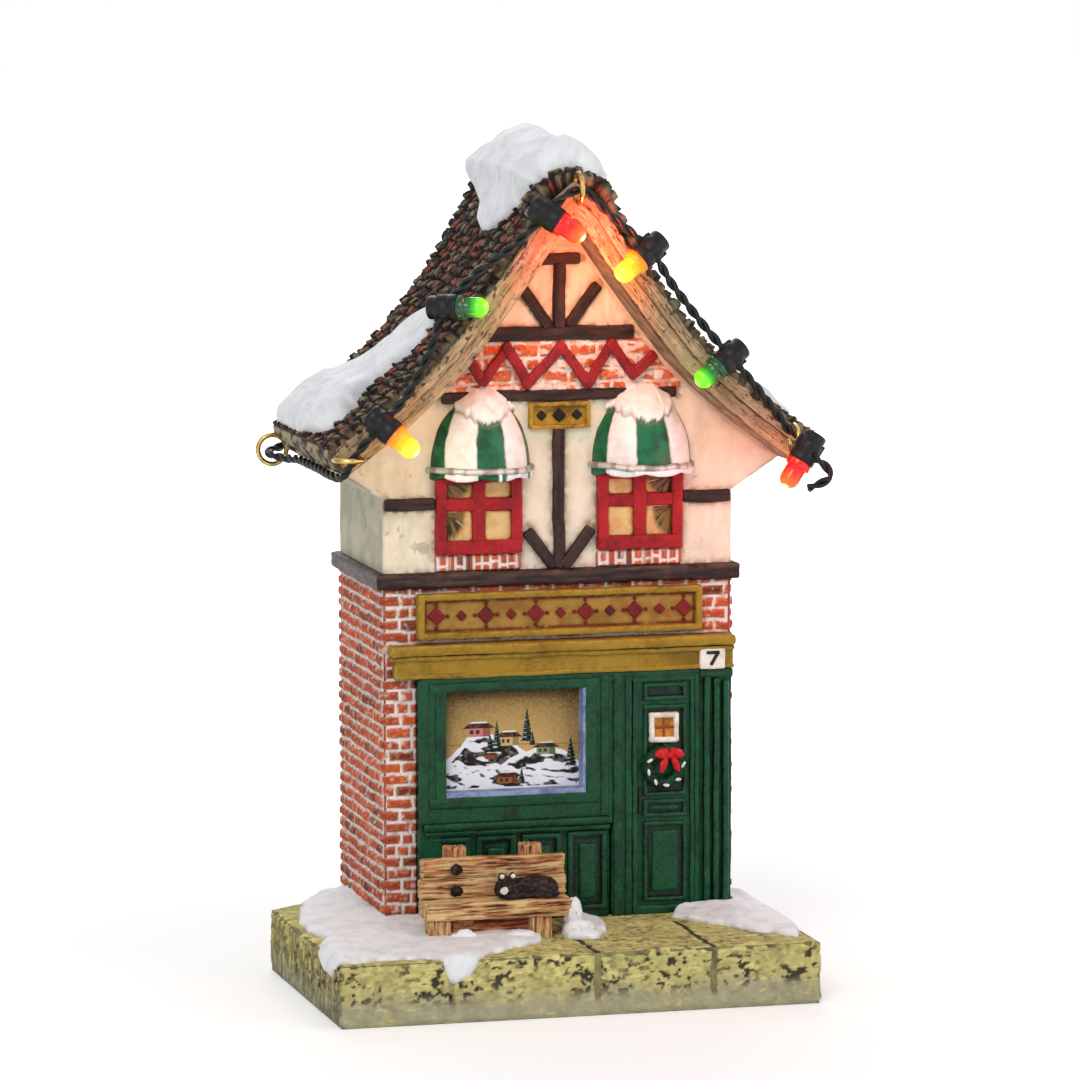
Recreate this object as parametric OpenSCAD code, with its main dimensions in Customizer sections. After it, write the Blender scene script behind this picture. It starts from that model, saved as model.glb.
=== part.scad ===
/* [Base] */
// Width of the base slab
base_w = 72; // [70:1:90]
// Depth of the base slab
base_d = 58; // [56:1:72]
// Height of the base slab
base_h = 9.1; // [9.1:0.1:14]
// Depth of the left side up to the cut corner
base_left_d = 46.2; // [45:0.2:54]
// Width of the corner cut off at the back left
base_cut_w = 16; // [6:1:18]
// Thickness of the snow on the base
base_snow_t = 1.7; // [1:0.1:3]

/* [Walls] */
// Width of the house
house_w = 53.5; // [52.5:0.5:60]
// Depth of the house
house_d = 27.8; // [26:0.2:28.2]
// Shift of the house to the right of the middle of the base
house_off = 4.1; // [0:0.1:5]
// Depth of the yard before the house
yard_d = 28.7; // [24:0.1:29]
// Thickness of the walls
wall_t = 2.4; // [1.6:0.1:2.4]
// Height of the brick wall above the shopfront
brick_h = 13.4; // [13.4:0.1:18]
// Height of the string course
course_h = 2.3; // [1.6:0.1:3]
// Projection of the string course
course_out = 1.3; // [0.8:0.1:1.8]
// Height of the straight plaster wall above the string course
plaster_h = 11; // [9:0.5:14]
// Height of the flare under the eaves
flare_h = 4.8; // [3:0.2:6]
// Reach of the flare beyond the wall
flare_out = 7.45; // [5:0.05:9]

/* [Roof] */
// Rise of the roof's underside from the eaves to the ridge
roof_rise = 37.2; // [36:0.2:46]
// Thickness of a roof slope, square to it
roof_t = 4.6; // [3.6:0.1:5.4]
// Length of each row of shingles down the slope
shingle_pitch = 1.95; // [1.6:0.05:2.6]
// Thickness of a shingle at its lower edge
shingle_t = 0.6; // [0.3:0.05:0.9]
// Overhang of the slopes before the front wall
roof_over = 7.6; // [6:0.2:10]
// Overhang of the slopes behind the back wall
roof_back_over = 0.5; // [0.2:0.1:2]
// Thickness of a barge board
barge_t = 1.6; // [1:0.1:2.4]
// Depth of the step along the barge board's top
barge_step = 0.7; // [0.4:0.1:1]
// Margin that a barge board keeps below the slope's top
barge_margin = 0.5; // [0.2:0.1:1]
// Thickness of the snow on the roof
roof_snow_t = 3.4; // [2:0.1:4.5]

/* [Shopfront] */
// Width of the brick pier left of the shopfront
pier_w = 4.85; // [3:0.05:7]
// Height of the shopfront
shop_h = 37.2; // [37.2:0.1:40]
// Thickness of the shopfront frame
shop_t = 1.6; // [1.2:0.1:2]
// Width of the frame's left post
post_w = 3.6; // [2.5:0.1:5]
// Width of the shop window opening
glass_w = 22.4; // [18:0.1:22.4]
// Height of the shop window opening
glass_h = 16.4; // [12:0.1:16.4]
// Height of the header above the shop window
header_h = 1.6; // [1.2:0.1:3]
// Height of the stall riser under the sill
riser_h = 14.9; // [12:0.1:15]
// Thickness of the stall riser
riser_t = 1; // [0.6:0.1:1.1]
// Number of raised panels on the stall riser
riser_panels = 4; // [2:1:6]
// Thickness of the window sill
sill_t = 1.1; // [0.8:0.1:2]
// Projection of the sill before the frame
sill_out = 0.9; // [0.4:0.1:1.6]
// Thickness of the window liner
liner_t = 0.6; // [0.4:0.1:1]
// Thickness of the printed card
card_t = 0.5; // [0.3:0.1:0.8]
// Width of the door leaf
door_w = 9.8; // [8:0.1:9.8]
// Height of the door leaf
door_h = 36.2; // [34:0.1:36.2]
// Thickness of the door leaf
door_t = 1; // [0.6:0.1:1.1]
// Width of the ribbed pilaster
ribs_w = 5.2; // [4:0.1:7]
// Thickness of the ribbed pilaster with its ribs
ribs_t = 2.2; // [1.8:0.1:2.6]
// Number of ribs
rib_count = 3; // [2:1:5]
// Side of the small door window
pane_w = 4.2; // [3:0.1:4.6]
// Radius of the wreath's middle line
wreath_r = 2.5; // [1.8:0.1:2.6]
// Radius of the wreath's section
wreath_tube = 0.7; // [0.5:0.05:0.8]

/* [Fascia and sign] */
// Height of the fascia board
fascia_h = 3.6; // [3:0.1:4.2]
// Thickness of the fascia board
fascia_t = 2; // [1.7:0.1:2.4]
// Height of the ledge on the fascia
ledge_h = 1.5; // [1:0.1:2]
// Projection of the ledge before the wall
ledge_out = 3.1; // [2.6:0.1:4]
// Length of the sign board
sign_w = 43.8; // [36:0.2:50]
// Height of the sign board
sign_h = 6.8; // [5:0.1:7.4]
// Thickness of the sign board
sign_t = 2; // [1.4:0.1:2.6]
// Width of the sign's frame
sign_rim = 0.9; // [0.6:0.1:1.4]
// Number of ornaments on the sign
ornament_count = 11; // [5:2:15]
// Width of the number plate
number_w = 3.9; // [3:0.1:4.5]

/* [Upper windows and awnings] */
// Distance of each window from the house's middle
window_off = 12.4; // [11:0.1:13]
// Width of a window
window_w = 13.2; // [10:0.1:14]
// Height of a window
window_h = 11.5; // [9:0.1:11.5]
// Height of the brick apron under a window
apron_h = 2.6; // [2:0.1:3.4]
// Width of the window frame's bars
window_bar = 1.5; // [1:0.1:1.8]
// Thickness of a window frame
window_t = 1.2; // [0.9:0.1:1.6]
// Radius of an awning's round plan
awning_r = 8; // [7:0.1:8.6]
// Depth that the awning's centre lies inside the wall
awning_in = 2.4; // [1.5:0.1:4]
// Shift of the awnings to the right of their windows
awning_shift = 0.4; // [0:0.1:0.6]
// Height of the awning's dome
awning_h = 12.4; // [10:0.1:13]
// Height of the awning's upright hem
awning_hem = 1.4; // [1:0.1:2]
// Height of the awning rail
rail_h = 0.8; // [0.5:0.1:1]
// Thickness of the rail and of the snow on the awning
awning_skin = 0.5; // [0.4:0.05:0.7]

/* [Timbers and plaque] */
// Thickness of the timbers on the plaster
timber_t = 0.8; // [0.5:0.1:1.2]
// Width of a thin timber
timber_w = 1.6; // [1.2:0.1:2]
// Width of a heavy beam
beam_w = 2.2; // [1.6:0.1:2.6]
// Height of the frieze band
frieze_h = 7.3; // [6:0.1:7.6]
// Thickness of the frieze bricks
frieze_t = 0.5; // [0.3:0.1:0.7]
// Width of the zigzag's strokes
zigzag_w = 1.3; // [0.8:0.1:1.5]
// Number of the zigzag's strokes
zigzag_count = 9; // [5:2:11]
// Width of the plaque
plaque_w = 9.4; // [8:0.1:10]
// Height of the plaque
plaque_h = 4; // [3:0.1:4.2]
// Thickness of the plaque
plaque_t = 1.2; // [0.9:0.1:1.6]

/* [Bench] */
// Length of the bench
bench_w = 22.2; // [18:0.2:24]
// Distance from the wall to the bench's front edge
bench_front = 16.2; // [14:0.2:18]
// Shift of the bench's middle from the middle of the house to the left
bench_shift = 13.3; // [12:0.1:15]
// Height of the seat's top above the base
seat_top = 5.9; // [5:0.1:7]
// Thickness of the seat
seat_t = 2.4; // [1.6:0.1:3]
// Depth of the seat
seat_d = 6; // [5:0.1:7]
// Height of the backrest above the seat
back_h = 5.9; // [4:0.1:8]
// Thickness of the backrest
back_t = 1.6; // [1:0.1:2]
// Width of a leg
leg_w = 3.2; // [2:0.1:4]
// Depth of a post
post_d = 2.2; // [1.6:0.1:3]
// Length of the animal on the seat
cat_l = 9.8; // [7:0.1:11]

/* [Light string] */
// Diameter of the twisted lead
lead_d = 1.4; // [1:0.1:1.6]
// Diameter of a bulb holder
holder_d = 4; // [3.6:0.1:4.4]
// Length of a bulb holder
holder_l = 4.5; // [3.6:0.1:5]
// Diameter of a lamp's body
lamp_d = 3; // [2.6:0.1:3.2]
// Diameter of a lamp's rim
rim_d = 3.8; // [3.4:0.1:4]
// Height of a lamp's rim
rim_h = 1; // [0.6:0.1:1.4]
// Length of a lamp before the holder
lamp_l = 4.4; // [4:0.1:5]
// Radius of a screw eye's ring
eye_r = 2.2; // [2:0.1:2.4]
// Diameter of a screw eye's wire
eye_wire = 0.75; // [0.6:0.05:0.8]
// Length of a screw eye's shank
eye_shank = 2.4; // [1.6:0.1:3]
// Radius of the grommet's flange
grommet_r = 2.2; // [1.8:0.1:3]

/* [Battery box] */
// Diameter of a button cell
cell_d = 11.6; // [11:0.1:11.6]
// Height of a button cell
cell_h = 5.4; // [4.8:0.1:5.4]
// Number of cells
cell_count = 3; // [1:1:3]
// Clearance round a cell
cell_gap = 0.3; // [0.2:0.05:0.3]
// Rib between two cells
cell_rib = 0.8; // [0.6:0.1:0.8]
// Wall of the battery box
box_wall = 1; // [0.8:0.1:1]
// Thickness of the lid and of the box's mouth plate
lid_t = 1.2; // [1:0.1:1.4]
// Depth of the box's face above the surface the house stands on
box_recess = 0.9; // [0.9:0.1:1.4]
// Thickness of a contact leaf
contact_t = 0.4; // [0.3:0.1:0.5]
// Thickness of the box's ceiling
ceiling_t = 0.8; // [0.6:0.1:1]
// Width of the switch bay
switch_bay = 7.4; // [7:0.1:7.4]
// Width of the screw tabs
tab_w = 3.2; // [3:0.1:4]
// Clearance round the lid
lid_gap = 0.3; // [0.2:0.05:0.4]
// Radius of the lid's hinge pins
pin_r = 0.45; // [0.35:0.05:0.45]
// Running clearance of the hinge pins
pin_gap = 0.05; // [0.03:0.01:0.08]
// Travel of the switch knob
knob_travel = 3; // [1.5:0.1:3]
// Width and length of the switch knob
knob_w = 2; // [1.4:0.1:2]

/* [Hidden] */
$fn = 48;

// Overrun of every cut
over = 1;
// Gap that loose snow keeps from the walls
snow_gap = 0.4;
// Gap between snow and what it lies on
seat_gap = 0.03;
// Facets of rounded hulls
soft_fn = 24;

// Levels and planes of the house
front = yard_d - base_d / 2;
back = front + house_d;
left = house_off - house_w / 2;
right = house_off + house_w / 2;
shop_top = base_h + shop_h;
brick_top = shop_top + brick_h;
course_top = brick_top + course_h;
flare_z = course_top + plaster_h;
eave_z = flare_z + flare_h;
eave_x = house_w / 2 + flare_out;
shop_left = left + pier_w;
shop_right = right - ribs_w;
sill_z = base_h + riser_h;

function reversed(p) = [for (i = [len(p) - 1 : -1 : 0]) p[i]];
function mirrored(p) = [for (q = p) [-q[0], q[1]]];
function lerp(a, b, s) = a + (b - a) * s;
function unit(v) = v / norm(v);

// Half of the roof's underside, from the ridge to the eave, as shares of its width and rise
roof_shares = [[0, 0.99], [0.02, 0.979], [0.05, 0.945], [0.12, 0.845], [0.19, 0.75], [0.28, 0.637],
  [0.38, 0.515], [0.48, 0.4], [0.59, 0.3], [0.7, 0.21], [0.8, 0.135], [0.9, 0.068], [1, 0]];
underside = [for (s = roof_shares) [eave_x * s[0], eave_z + roof_rise * s[1]]];
// How much thicker the slope is toward the ridge, one share for each of the first places
thick_shares = [1.12, 1.45, 1.21, 1.15, 1.08];
function thick_share(t, i) = t && i < len(thick_shares) ? thick_shares[i] : 1;
roof_front = front - roof_over;
roof_back = back + roof_back_over;
roof_length = roof_back - roof_front;
barge_front = roof_front - barge_t - barge_step;

// Outward normal of one stretch of the roof's line
function out_normal(a, b) = unit([a[1] - b[1], b[0] - a[0]]);
// The roof's line moved outward by t, square to itself, and more toward the ridge if asked
function raised(p, t, thick) = [for (i = [0 : len(p) - 1]) let (k = t * thick_share(thick, i))
  i == 0 ? [0, p[0][1] + k / out_normal(p[0], p[2])[1]]
  : i == len(p) - 1 ? p[i] + out_normal(p[i - 1], p[i]) * k
  : let (a = out_normal(p[i - 1], p[i]), m = unit(a + out_normal(p[i], p[i + 1])))
    p[i] + m * k / (m * a)];
roof_line = raised(underside, roof_t, true);
last = len(roof_line) - 1;
ridge_z = roof_line[0][1];

// Point and normal on the roof's top at station s, counted in stretches of its line from the ridge
// and negative on the left slope
function station_point(s) = let (a = abs(s), i = min(floor(a), last - 1))
  lerp(roof_line[i], roof_line[i + 1], a - i);
function stretch_normal(i) = out_normal(roof_line[i], roof_line[i + 1]);
function station_normal(s) = let (a = abs(s), i = min(floor(a), last - 1))
  a == 0 ? [0, 1]
  : let (m = stretch_normal(a == i ? i - 1 : i), n = unit(m + stretch_normal(i)))
    [s < 0 ? -n[0] : n[0], n[1]];
function on_roof(s, y, lift) = let (p = station_point(s), n = station_normal(s))
  [house_off + (s < 0 ? -p[0] : p[0]) + n[0] * lift, y, p[1] + n[1] * lift];

// Distance down the roof's line from the ridge to each of its places
roof_runs = [for (i = 0, run = 0; i <= last;
  i = i + 1, run = run + (i <= last ? norm(roof_line[i] - roof_line[i - 1]) : 0)) run];
function station_at(run) = lookup(run, [for (i = [0 : last]) [roof_runs[i], i]]);
// Point under the roof's top at a distance down from the ridge
function slope_point(run, depth) = let (s = station_at(run)) station_point(s) - station_normal(s) * depth;
shingle_rows = round(roof_runs[last] / shingle_pitch);
shingle_run = roof_runs[last] / shingle_rows;
// Top of the shingles: each row starts under the one above it, and its lower edge is the roof's top
shingle_line = [for (k = [0 : shingle_rows - 1]) each [
  slope_point(k * shingle_run, k == 0 ? 0 : shingle_t), slope_point((k + 1) * shingle_run, 0)]];

// A closed blanket between a grid of bottom points and a grid of top points
function grid_index(i, j, m) = i * m + j;
function blanket_faces(n, m) = let (h = n * m) concat(
  [for (i = [0 : n - 2]) for (j = [0 : m - 2]) let (a = i * m + j, b = a + 1, c = a + m, d = c + 1)
    each [[h + a, h + b, h + d], [h + a, h + d, h + c], [a, d, b], [a, c, d]]],
  [for (i = [0 : n - 2]) let (a = i * m, c = a + m)
    each [[a, h + a, h + c], [a, h + c, c]]],
  [for (i = [0 : n - 2]) let (a = i * m + m - 1, c = a + m)
    each [[a, h + c, h + a], [a, c, h + c]]],
  [for (j = [0 : m - 2]) let (a = j, b = j + 1)
    each [[b, h + b, h + a], [b, h + a, a]]],
  [for (j = [0 : m - 2]) let (a = (n - 1) * m + j, b = a + 1)
    each [[b, h + a, h + b], [b, a, h + a]]]);
module blanket(bottom, top) {
  n = len(bottom);
  m = len(bottom[0]);
  polyhedron(points = concat([for (r = bottom) each r], [for (r = top) each r]),
    faces = blanket_faces(n, m));
}

// Swell of snow across its width, from a thin rim to its full depth
rim_share = 0.25;
function swell(v) = rim_share + (1 - rim_share) * sqrt(1 - pow(abs(2 * v - 1), 3));
snow_steps = 8;

// Snow on the roof: each row is a station, its front and back as shares, and its depth share
module roof_blanket(rows) {
  blanket(
    [for (r = rows) [for (j = [0 : snow_steps])
      on_roof(r[0], roof_front + roof_length * lerp(r[1], r[2], j / snow_steps), seat_gap)]],
    [for (r = rows) [for (j = [0 : snow_steps])
      on_roof(r[0], roof_front + roof_length * lerp(r[1], r[2], j / snow_steps),
        seat_gap + roof_snow_t * r[3] * swell(j / snow_steps))]]);
}

// Outline in the front view, extruded from y0 back to y1
module upright(points, y0, y1) {
  translate([0, y1, 0])
    rotate([90, 0, 0])
      linear_extrude(height = y1 - y0)
        polygon(points);
}

// Box from its low corner to its high corner
module span_box(low, high) {
  translate(low)
    cube(high - low);
}

// Flat bar on the front wall from a to b in the front view
module wall_bar(a, b, width, y, depth) {
  d = b - a;
  translate([a[0], y, a[1]])
    rotate([0, -atan2(d[1], d[0]), 0])
      translate([0, -depth, -width / 2])
        cube([norm(d), depth, width]);
}

// Band of one roof slope between two lines above its underside
module slope_band(low, high, y0, y1, side) {
  p = concat(low, reversed(high));
  translate([house_off, 0, 0])
    upright(side < 0 ? mirrored(p) : p, y0, y1);
}

// Battery box, worked out from the cells
pocket_d = cell_d + 2 * cell_gap;
bay_w = cell_count * pocket_d + (cell_count - 1) * cell_rib;
box_l = bay_w + switch_bay + 3 * box_wall;
box_d = pocket_d + 2 * box_wall;
box_x = house_off - box_l / 2;
box_y = front + house_d / 2 - box_d / 2;
mouth_z = box_recess + lid_t;
cell_z = mouth_z + cell_gap;
pocket_top = cell_z + cell_h + contact_t;
box_top = pocket_top + ceiling_t;
bay_x = box_x + box_wall;
bay_y = box_y + box_wall;
switch_x = bay_x + bay_w + box_wall;
mid_y = box_y + box_d / 2;
function cell_x(i) = bay_x + pocket_d / 2 + i * (pocket_d + cell_rib);
hinge_x = bay_x + lid_gap + lid_t / 2;
hinge_z = box_recess + lid_t / 2;
screw_r = 0.8;
screw_gap = 0.1;
screw_head_r = 1.4;
screw_head_h = 0.7;
screw_l = 5;
tab_gap = 0.2;

module screw_places() {
  for (x = [box_x - tab_w / 2, box_x + box_l + tab_w / 2])
    translate([x, mid_y, 0])
      children();
}

// Snow ribbon on the base: outer places as shares of the base, inner places along the walls
snow_line = front - ribs_t - snow_gap;
function beside_house(a) = a < 1
  ? [left - snow_gap, lerp(back, snow_line, a)]
  : [lerp(left - snow_gap, right, a - 1), snow_line];
function around_right(a) = a < 1
  ? [lerp(left, right + snow_gap, a), snow_line]
  : [right + snow_gap, lerp(snow_line, back, a - 1)];
snow_left_shares = [[-0.75, 0.76, 0.2], [-0.88, 0.48, 0.45], [-0.94, 0.17, 0.75], [-0.965, -0.2, 0.93],
  [-0.975, -0.6, 1], [-0.96, -0.92, 1.05], [-0.78, -0.965, 1.1], [-0.57, -0.985, 1.2],
  [-0.4, -0.92, 1.28], [-0.2, -0.78, 1.38], [0.02, -0.7, 1.48], [0.2, -0.54, 1.55], [0.25, -0.38, 1.57]];
snow_right_shares = [[0.49, -0.28, 0.76], [0.58, -0.55, 0.8], [0.75, -0.78, 0.88], [0.94, -0.79, 0.96],
  [0.985, -0.55, 1], [0.985, -0.14, 1.14], [0.97, 0.2, 1.3], [0.92, 0.4, 1.44]];
function ribbon_row(r, along, lift) = [for (j = [0 : snow_steps]) let (s = j / snow_steps,
  a = [r[0] * base_w / 2, r[1] * base_d / 2], p = lerp(a, along, s))
  [p[0], p[1], base_h + seat_gap + lift * swell(s)]];
module ground_snow(outer, inner) {
  n = len(outer) - 1;
  blanket([for (i = [0 : n]) ribbon_row(outer[i], inner[i], 0)],
    [for (i = [0 : n]) ribbon_row(outer[i], inner[i], base_snow_t * swell(i / n))]);
}

// Route of the light string, from the grommet to its cut end
cord_route = [[-14, 28.3, 80], [-14, 29.3, 80], [-14, 30.3, 80], [-16, 31.8, 80], [-21, 32, 79.8],
  [-27, 31.2, 79.2], [-32, 29, 78], [-34, 26, 77.6], [-32.6, 22, 77.2], [-31.6, 17, 77.5],
  [-31.5, 10, 77.5], [-31.5, 3, 77.5], [-31.6, -4, 77.4], [-31.2, -9.5, 77.6], [-30.4, -12.1, 79.6],
  [-29, -12.6, 82], [-25.8, -13, 85.5], [-22, -12, 89.4], [-19.8, -11.6, 92.8], [-17.6, -11.4, 97.4],
  [-15.8, -10.8, 102.2], [-11.4, -11.6, 107], [-6, -11.8, 110.8], [-1.2, -13.2, 115.7],
  [4.1, -12.2, 119], [9, -12.6, 115], [14.4, -13.5, 110.2], [18, -12.8, 105], [22.4, -12.8, 99.4],
  [26.7, -13.5, 94.2], [30.4, -12.8, 90.2], [34.4, -12.6, 85.2], [36.6, -12, 82.6],
  [38.3, -12.5, 82], [38.9, -14.6, 81.3], [37.7, -16.8, 80.6], [38.2, -18.8, 79.4], [40, -18.8, 78],
  [40.6, -18, 76.2], [37.6, -17.4, 74.8]];
// Places of the lamps along the route, and the way each one points
lamp_stops = [16, 20, 23, 26, 29, 35];
lamp_aims = [[4.7, -2.4, -4.3], [5.6, -4, 0.2], [4.7, -2, -3.3], [-6, -1, -4.8], [-5.7, -1, -4.1],
  [-3.7, -0.5, -5.5]];
// Route of the lead inside the house, from the switch bay to the grommet, its depths counted from
// the back wall's outside
inner_route = [[26, -8.5, 9], [26, -8.3, 11], [26, -6.5, 14], [26, -4.1, 18], [24.5, -3.5, 28],
  [19, -3.5, 42], [10, -3.5, 56], [0, -3.5, 67], [-9, -3.5, 75.4], [-13.6, -4.7, 79.7],
  [-14, -4.1, 80], [-14, -2.4, 80]];

// Smooth points through a route, two for each stretch
function smooth(p, i, s) = let (a = p[max(i - 1, 0)], b = p[i], c = p[i + 1], d = p[min(i + 2, len(p) - 1)])
  0.5 * (2 * b + (c - a) * s + (2 * a - 5 * b + 4 * c - d) * s * s + (3 * b - 3 * c + d - a) * s * s * s);
function refined(p) = concat([for (i = [0 : len(p) - 2]) for (s = [0, 0.5]) smooth(p, i, s)],
  [p[len(p) - 1]]);
cord_sides = 8;
function tangent(p, i) = unit(p[min(i + 1, len(p) - 1)] - p[max(i - 1, 0)]);
// Side vectors carried along a path without twist
function carried(p, i, v) = i >= len(p) ? []
  : let (t = tangent(p, i), u = unit(v - (v * t) * t)) concat([u], carried(p, i + 1, u));
module tube(p, r) {
  u = carried(p, 0, [0, 0, 1]);
  n = len(p);
  k = cord_sides;
  points = [for (i = [0 : n - 1]) let (t = tangent(p, i), w = cross(t, u[i]))
    for (j = [0 : k - 1]) p[i] + r * (cos(360 * j / k) * u[i] + sin(360 * j / k) * w)];
  sides = [for (i = [0 : n - 2]) for (j = [0 : k - 1]) let (a = i * k + j, b = i * k + (j + 1) % k)
    each [[a, a + k, b + k], [a, b + k, b]]];
  polyhedron(points = points, faces = concat([[for (j = [0 : k - 1]) j]], sides,
    [[for (j = [k - 1 : -1 : 0]) (n - 1) * k + j]]));
}

// Places a child's Z axis along v at p
module aimed(p, v) {
  translate(p)
    rotate([0, 0, atan2(v[1], v[0])])
      rotate([0, acos(v[2] / norm(v)), 0])
        children();
}
module at_lamp(i) {
  aimed(cord_route[lamp_stops[i]], lamp_aims[i])
    children();
}

module base_plinth() {
  x0 = -base_w / 2;
  y0 = -base_d / 2;
  color("darkkhaki") difference() {
    linear_extrude(height = base_h)
      polygon([[x0, y0], [-x0, y0], [-x0, -y0], [x0 + base_cut_w, -y0], [x0, y0 + base_left_d]]);
    span_box([box_x - tab_gap, box_y - tab_gap, -over],
      [box_x + box_l + tab_gap, box_y + box_d + tab_gap, base_h + over]);
    span_box([box_x - tab_w - tab_gap, box_y - tab_gap, -over],
      [box_x + box_l + tab_w + tab_gap, box_y + box_d + tab_gap, mouth_z]);
    screw_places()
      cylinder(r = screw_r, h = box_recess + screw_l);
  }
}

module snow_left() {
  color("white") difference() {
    ground_snow(snow_left_shares, [for (r = snow_left_shares) beside_house(r[2])]);
    bench_feet(snow_gap);
  }
}

module snow_right() {
  color("white")
    ground_snow(snow_right_shares, [for (r = snow_right_shares) around_right(r[2])]);
}

// Places of the shop window, measured from the frame
glass_x = shop_left + post_w;
glass_z = shop_top - header_h - glass_h;

// Space inside the walls between two levels
module room(z0, z1) {
  span_box([left + wall_t, front + wall_t, z0], [right - wall_t, back - wall_t, z1]);
}

module lower_walls() {
  color("firebrick") difference() {
    span_box([left, front, base_h], [right, back, brick_top]);
    room(base_h - over, brick_top + over);
    span_box([glass_x, front - over, glass_z],
      [glass_x + glass_w, front + wall_t + over, glass_z + glass_h]);
  }
}

// Openings of the shopfront for the riser and the door
frame_bar = 1.4;
riser_x = shop_left + frame_bar;
riser_w = glass_x + glass_w + post_w - riser_x;
door_x = shop_right - door_w - frame_bar / 2;
foot_h = 0.3;

module shopfront_frame() {
  color("darkgreen") difference() {
    span_box([shop_left, front - shop_t, base_h], [shop_right, front, shop_top]);
    span_box([glass_x, front - shop_t - over, glass_z],
      [glass_x + glass_w, front + over, glass_z + glass_h]);
    span_box([riser_x, front - shop_t - over, base_h - over],
      [riser_x + riser_w, front + over, sill_z]);
    span_box([door_x, front - shop_t - over, base_h - over],
      [door_x + door_w, front + over, base_h + door_h]);
  }
}

// Raised panel with a sunk middle, on a plate whose face is at y
panel_rim = 0.6;
panel_out = 0.4;
module raised_panel(x, z, w, h, y) {
  difference() {
    span_box([x, y - panel_out, z], [x + w, y, z + h]);
    span_box([x + panel_rim, y - panel_out - over, z + panel_rim],
      [x + w - panel_rim, y - panel_out / 2, z + h - panel_rim]);
  }
}

module stall_riser() {
  pitch = riser_w / riser_panels;
  gap = panel_rim;
  foot = 2 * panel_rim;
  color("darkgreen") union() {
    span_box([riser_x, front - riser_t, base_h], [riser_x + riser_w, front, sill_z]);
    for (i = [0 : riser_panels - 1])
      raised_panel(riser_x + gap + i * pitch, base_h + foot, pitch - 2 * gap, riser_h - 2 * foot,
        front - riser_t);
  }
}

module window_sill() {
  y = front - shop_t;
  color("seagreen")
    span_box([shop_left + frame_bar / 2, y - sill_out, sill_z - sill_t / 2],
      [riser_x + riser_w, y, sill_z + sill_t / 2]);
}

module window_liner() {
  color("lightsteelblue") difference() {
    span_box([glass_x, front - shop_t, glass_z], [glass_x + glass_w, front + wall_t, glass_z + glass_h]);
    span_box([glass_x + liner_t, front - shop_t - over, glass_z + liner_t],
      [glass_x + glass_w - liner_t, front + wall_t + over, glass_z + glass_h - liner_t]);
  }
}

module window_card() {
  color("tan")
    span_box([glass_x + liner_t, front + wall_t / 2, glass_z + liner_t],
      [glass_x + glass_w - liner_t, front + wall_t / 2 + card_t, glass_z + glass_h - liner_t]);
}

// Panels of the door from the top down, as shares of the door's height
door_panel_shares = [[0.9, 0.07], [0.5, 0.38], [0.415, 0.07], [0.06, 0.33]];
door_front = front - door_t;
panel_x = door_x + door_w / 5;
panel_w = door_w * 2 / 3;

module door_leaf() {
  color("darkgreen") union() {
    span_box([door_x, door_front, base_h], [door_x + door_w, front, base_h + door_h]);
    for (s = door_panel_shares)
      raised_panel(panel_x, base_h + door_h * s[0], panel_w, door_h * s[1], door_front);
  }
}

// Middle of the door and the bottom of its middle panel
door_mid = door_x + door_w / 2;
middle_panel_z = base_h + door_h * door_panel_shares[1][0];
sunk_front = door_front - panel_out / 2;
wreath_z = middle_panel_z + 2 * panel_rim + wreath_r + wreath_tube;
pane_z = wreath_z + wreath_r + 2 * wreath_tube;
pane_t = 0.6;
pane_bar = 0.5;

module door_window() {
  y = sunk_front;
  x0 = door_mid - pane_w / 2;
  hole = (pane_w - 3 * pane_bar) / 2;
  pitch = hole + pane_bar;
  color("ivory") difference() {
    span_box([x0, y - pane_t, pane_z], [x0 + pane_w, y, pane_z + pane_w]);
    for (i = [0, 1])
      for (j = [0, 1])
        translate([x0 + pane_bar + i * pitch, y - pane_t - over, pane_z + pane_bar + j * pitch])
          cube([hole, over + pane_t / 2, hole]);
  }
}

module wreath() {
  y = door_front - panel_out;
  color("forestgreen") difference() {
    translate([door_mid, y - wreath_tube / 2, wreath_z])
      rotate([90, 0, 0])
        rotate_extrude()
          translate([wreath_r, 0])
            circle(r = wreath_tube);
    span_box([door_mid - 2 * wreath_r, y, wreath_z - 2 * wreath_r],
      [door_mid + 2 * wreath_r, y + 2 * wreath_r, wreath_z + 2 * wreath_r]);
  }
}

module wreath_bow() {
  y = door_front - panel_out - 3 * wreath_tube / 2;
  r = wreath_tube;
  z = wreath_z + wreath_r;
  color("crimson") translate([door_mid, y, z]) rotate([90, 0, 0]) linear_extrude(height = r) union() {
    circle(r = r);
    for (s = [-1, 1]) {
      polygon([[0, r / 2], [s * 2 * r, r], [s * 2 * r, -r], [0, -r / 2]]);
      polygon([[0, 0], [s * r, -3 * r], [s * 2 * r, -3 * r], [s * r / 2, 0]]);
    }
  }
}

module ribbed_pilaster() {
  slot = ribs_w / (2 * rib_count + 1);
  flat_t = ribs_t / 2;
  color("darkgreen") union() {
    span_box([shop_right, front - flat_t, base_h], [right, front, shop_top]);
    for (i = [0 : rib_count - 1])
      span_box([shop_right + slot * (2 * i + 1), front - ribs_t, base_h],
        [shop_right + slot * (2 * i + 2), front - flat_t, shop_top]);
  }
}

// Fascia and sign
fascia_left = left + pier_w / 4;
ledge_z = shop_top + fascia_h;
ledge_top = ledge_z + ledge_h;

module fascia() {
  color("darkgoldenrod") union() {
    span_box([fascia_left, front - fascia_t, shop_top], [right, front, ledge_z]);
    span_box([fascia_left - ledge_h / 2, front - ledge_out, ledge_z], [right, front, ledge_top]);
  }
}

sign_x = house_off - sign_w / 2;
sign_z = brick_top - sign_h - (brick_top - ledge_top - sign_h) / 2;
sign_face = front - sign_t + sign_t / 3;

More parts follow.
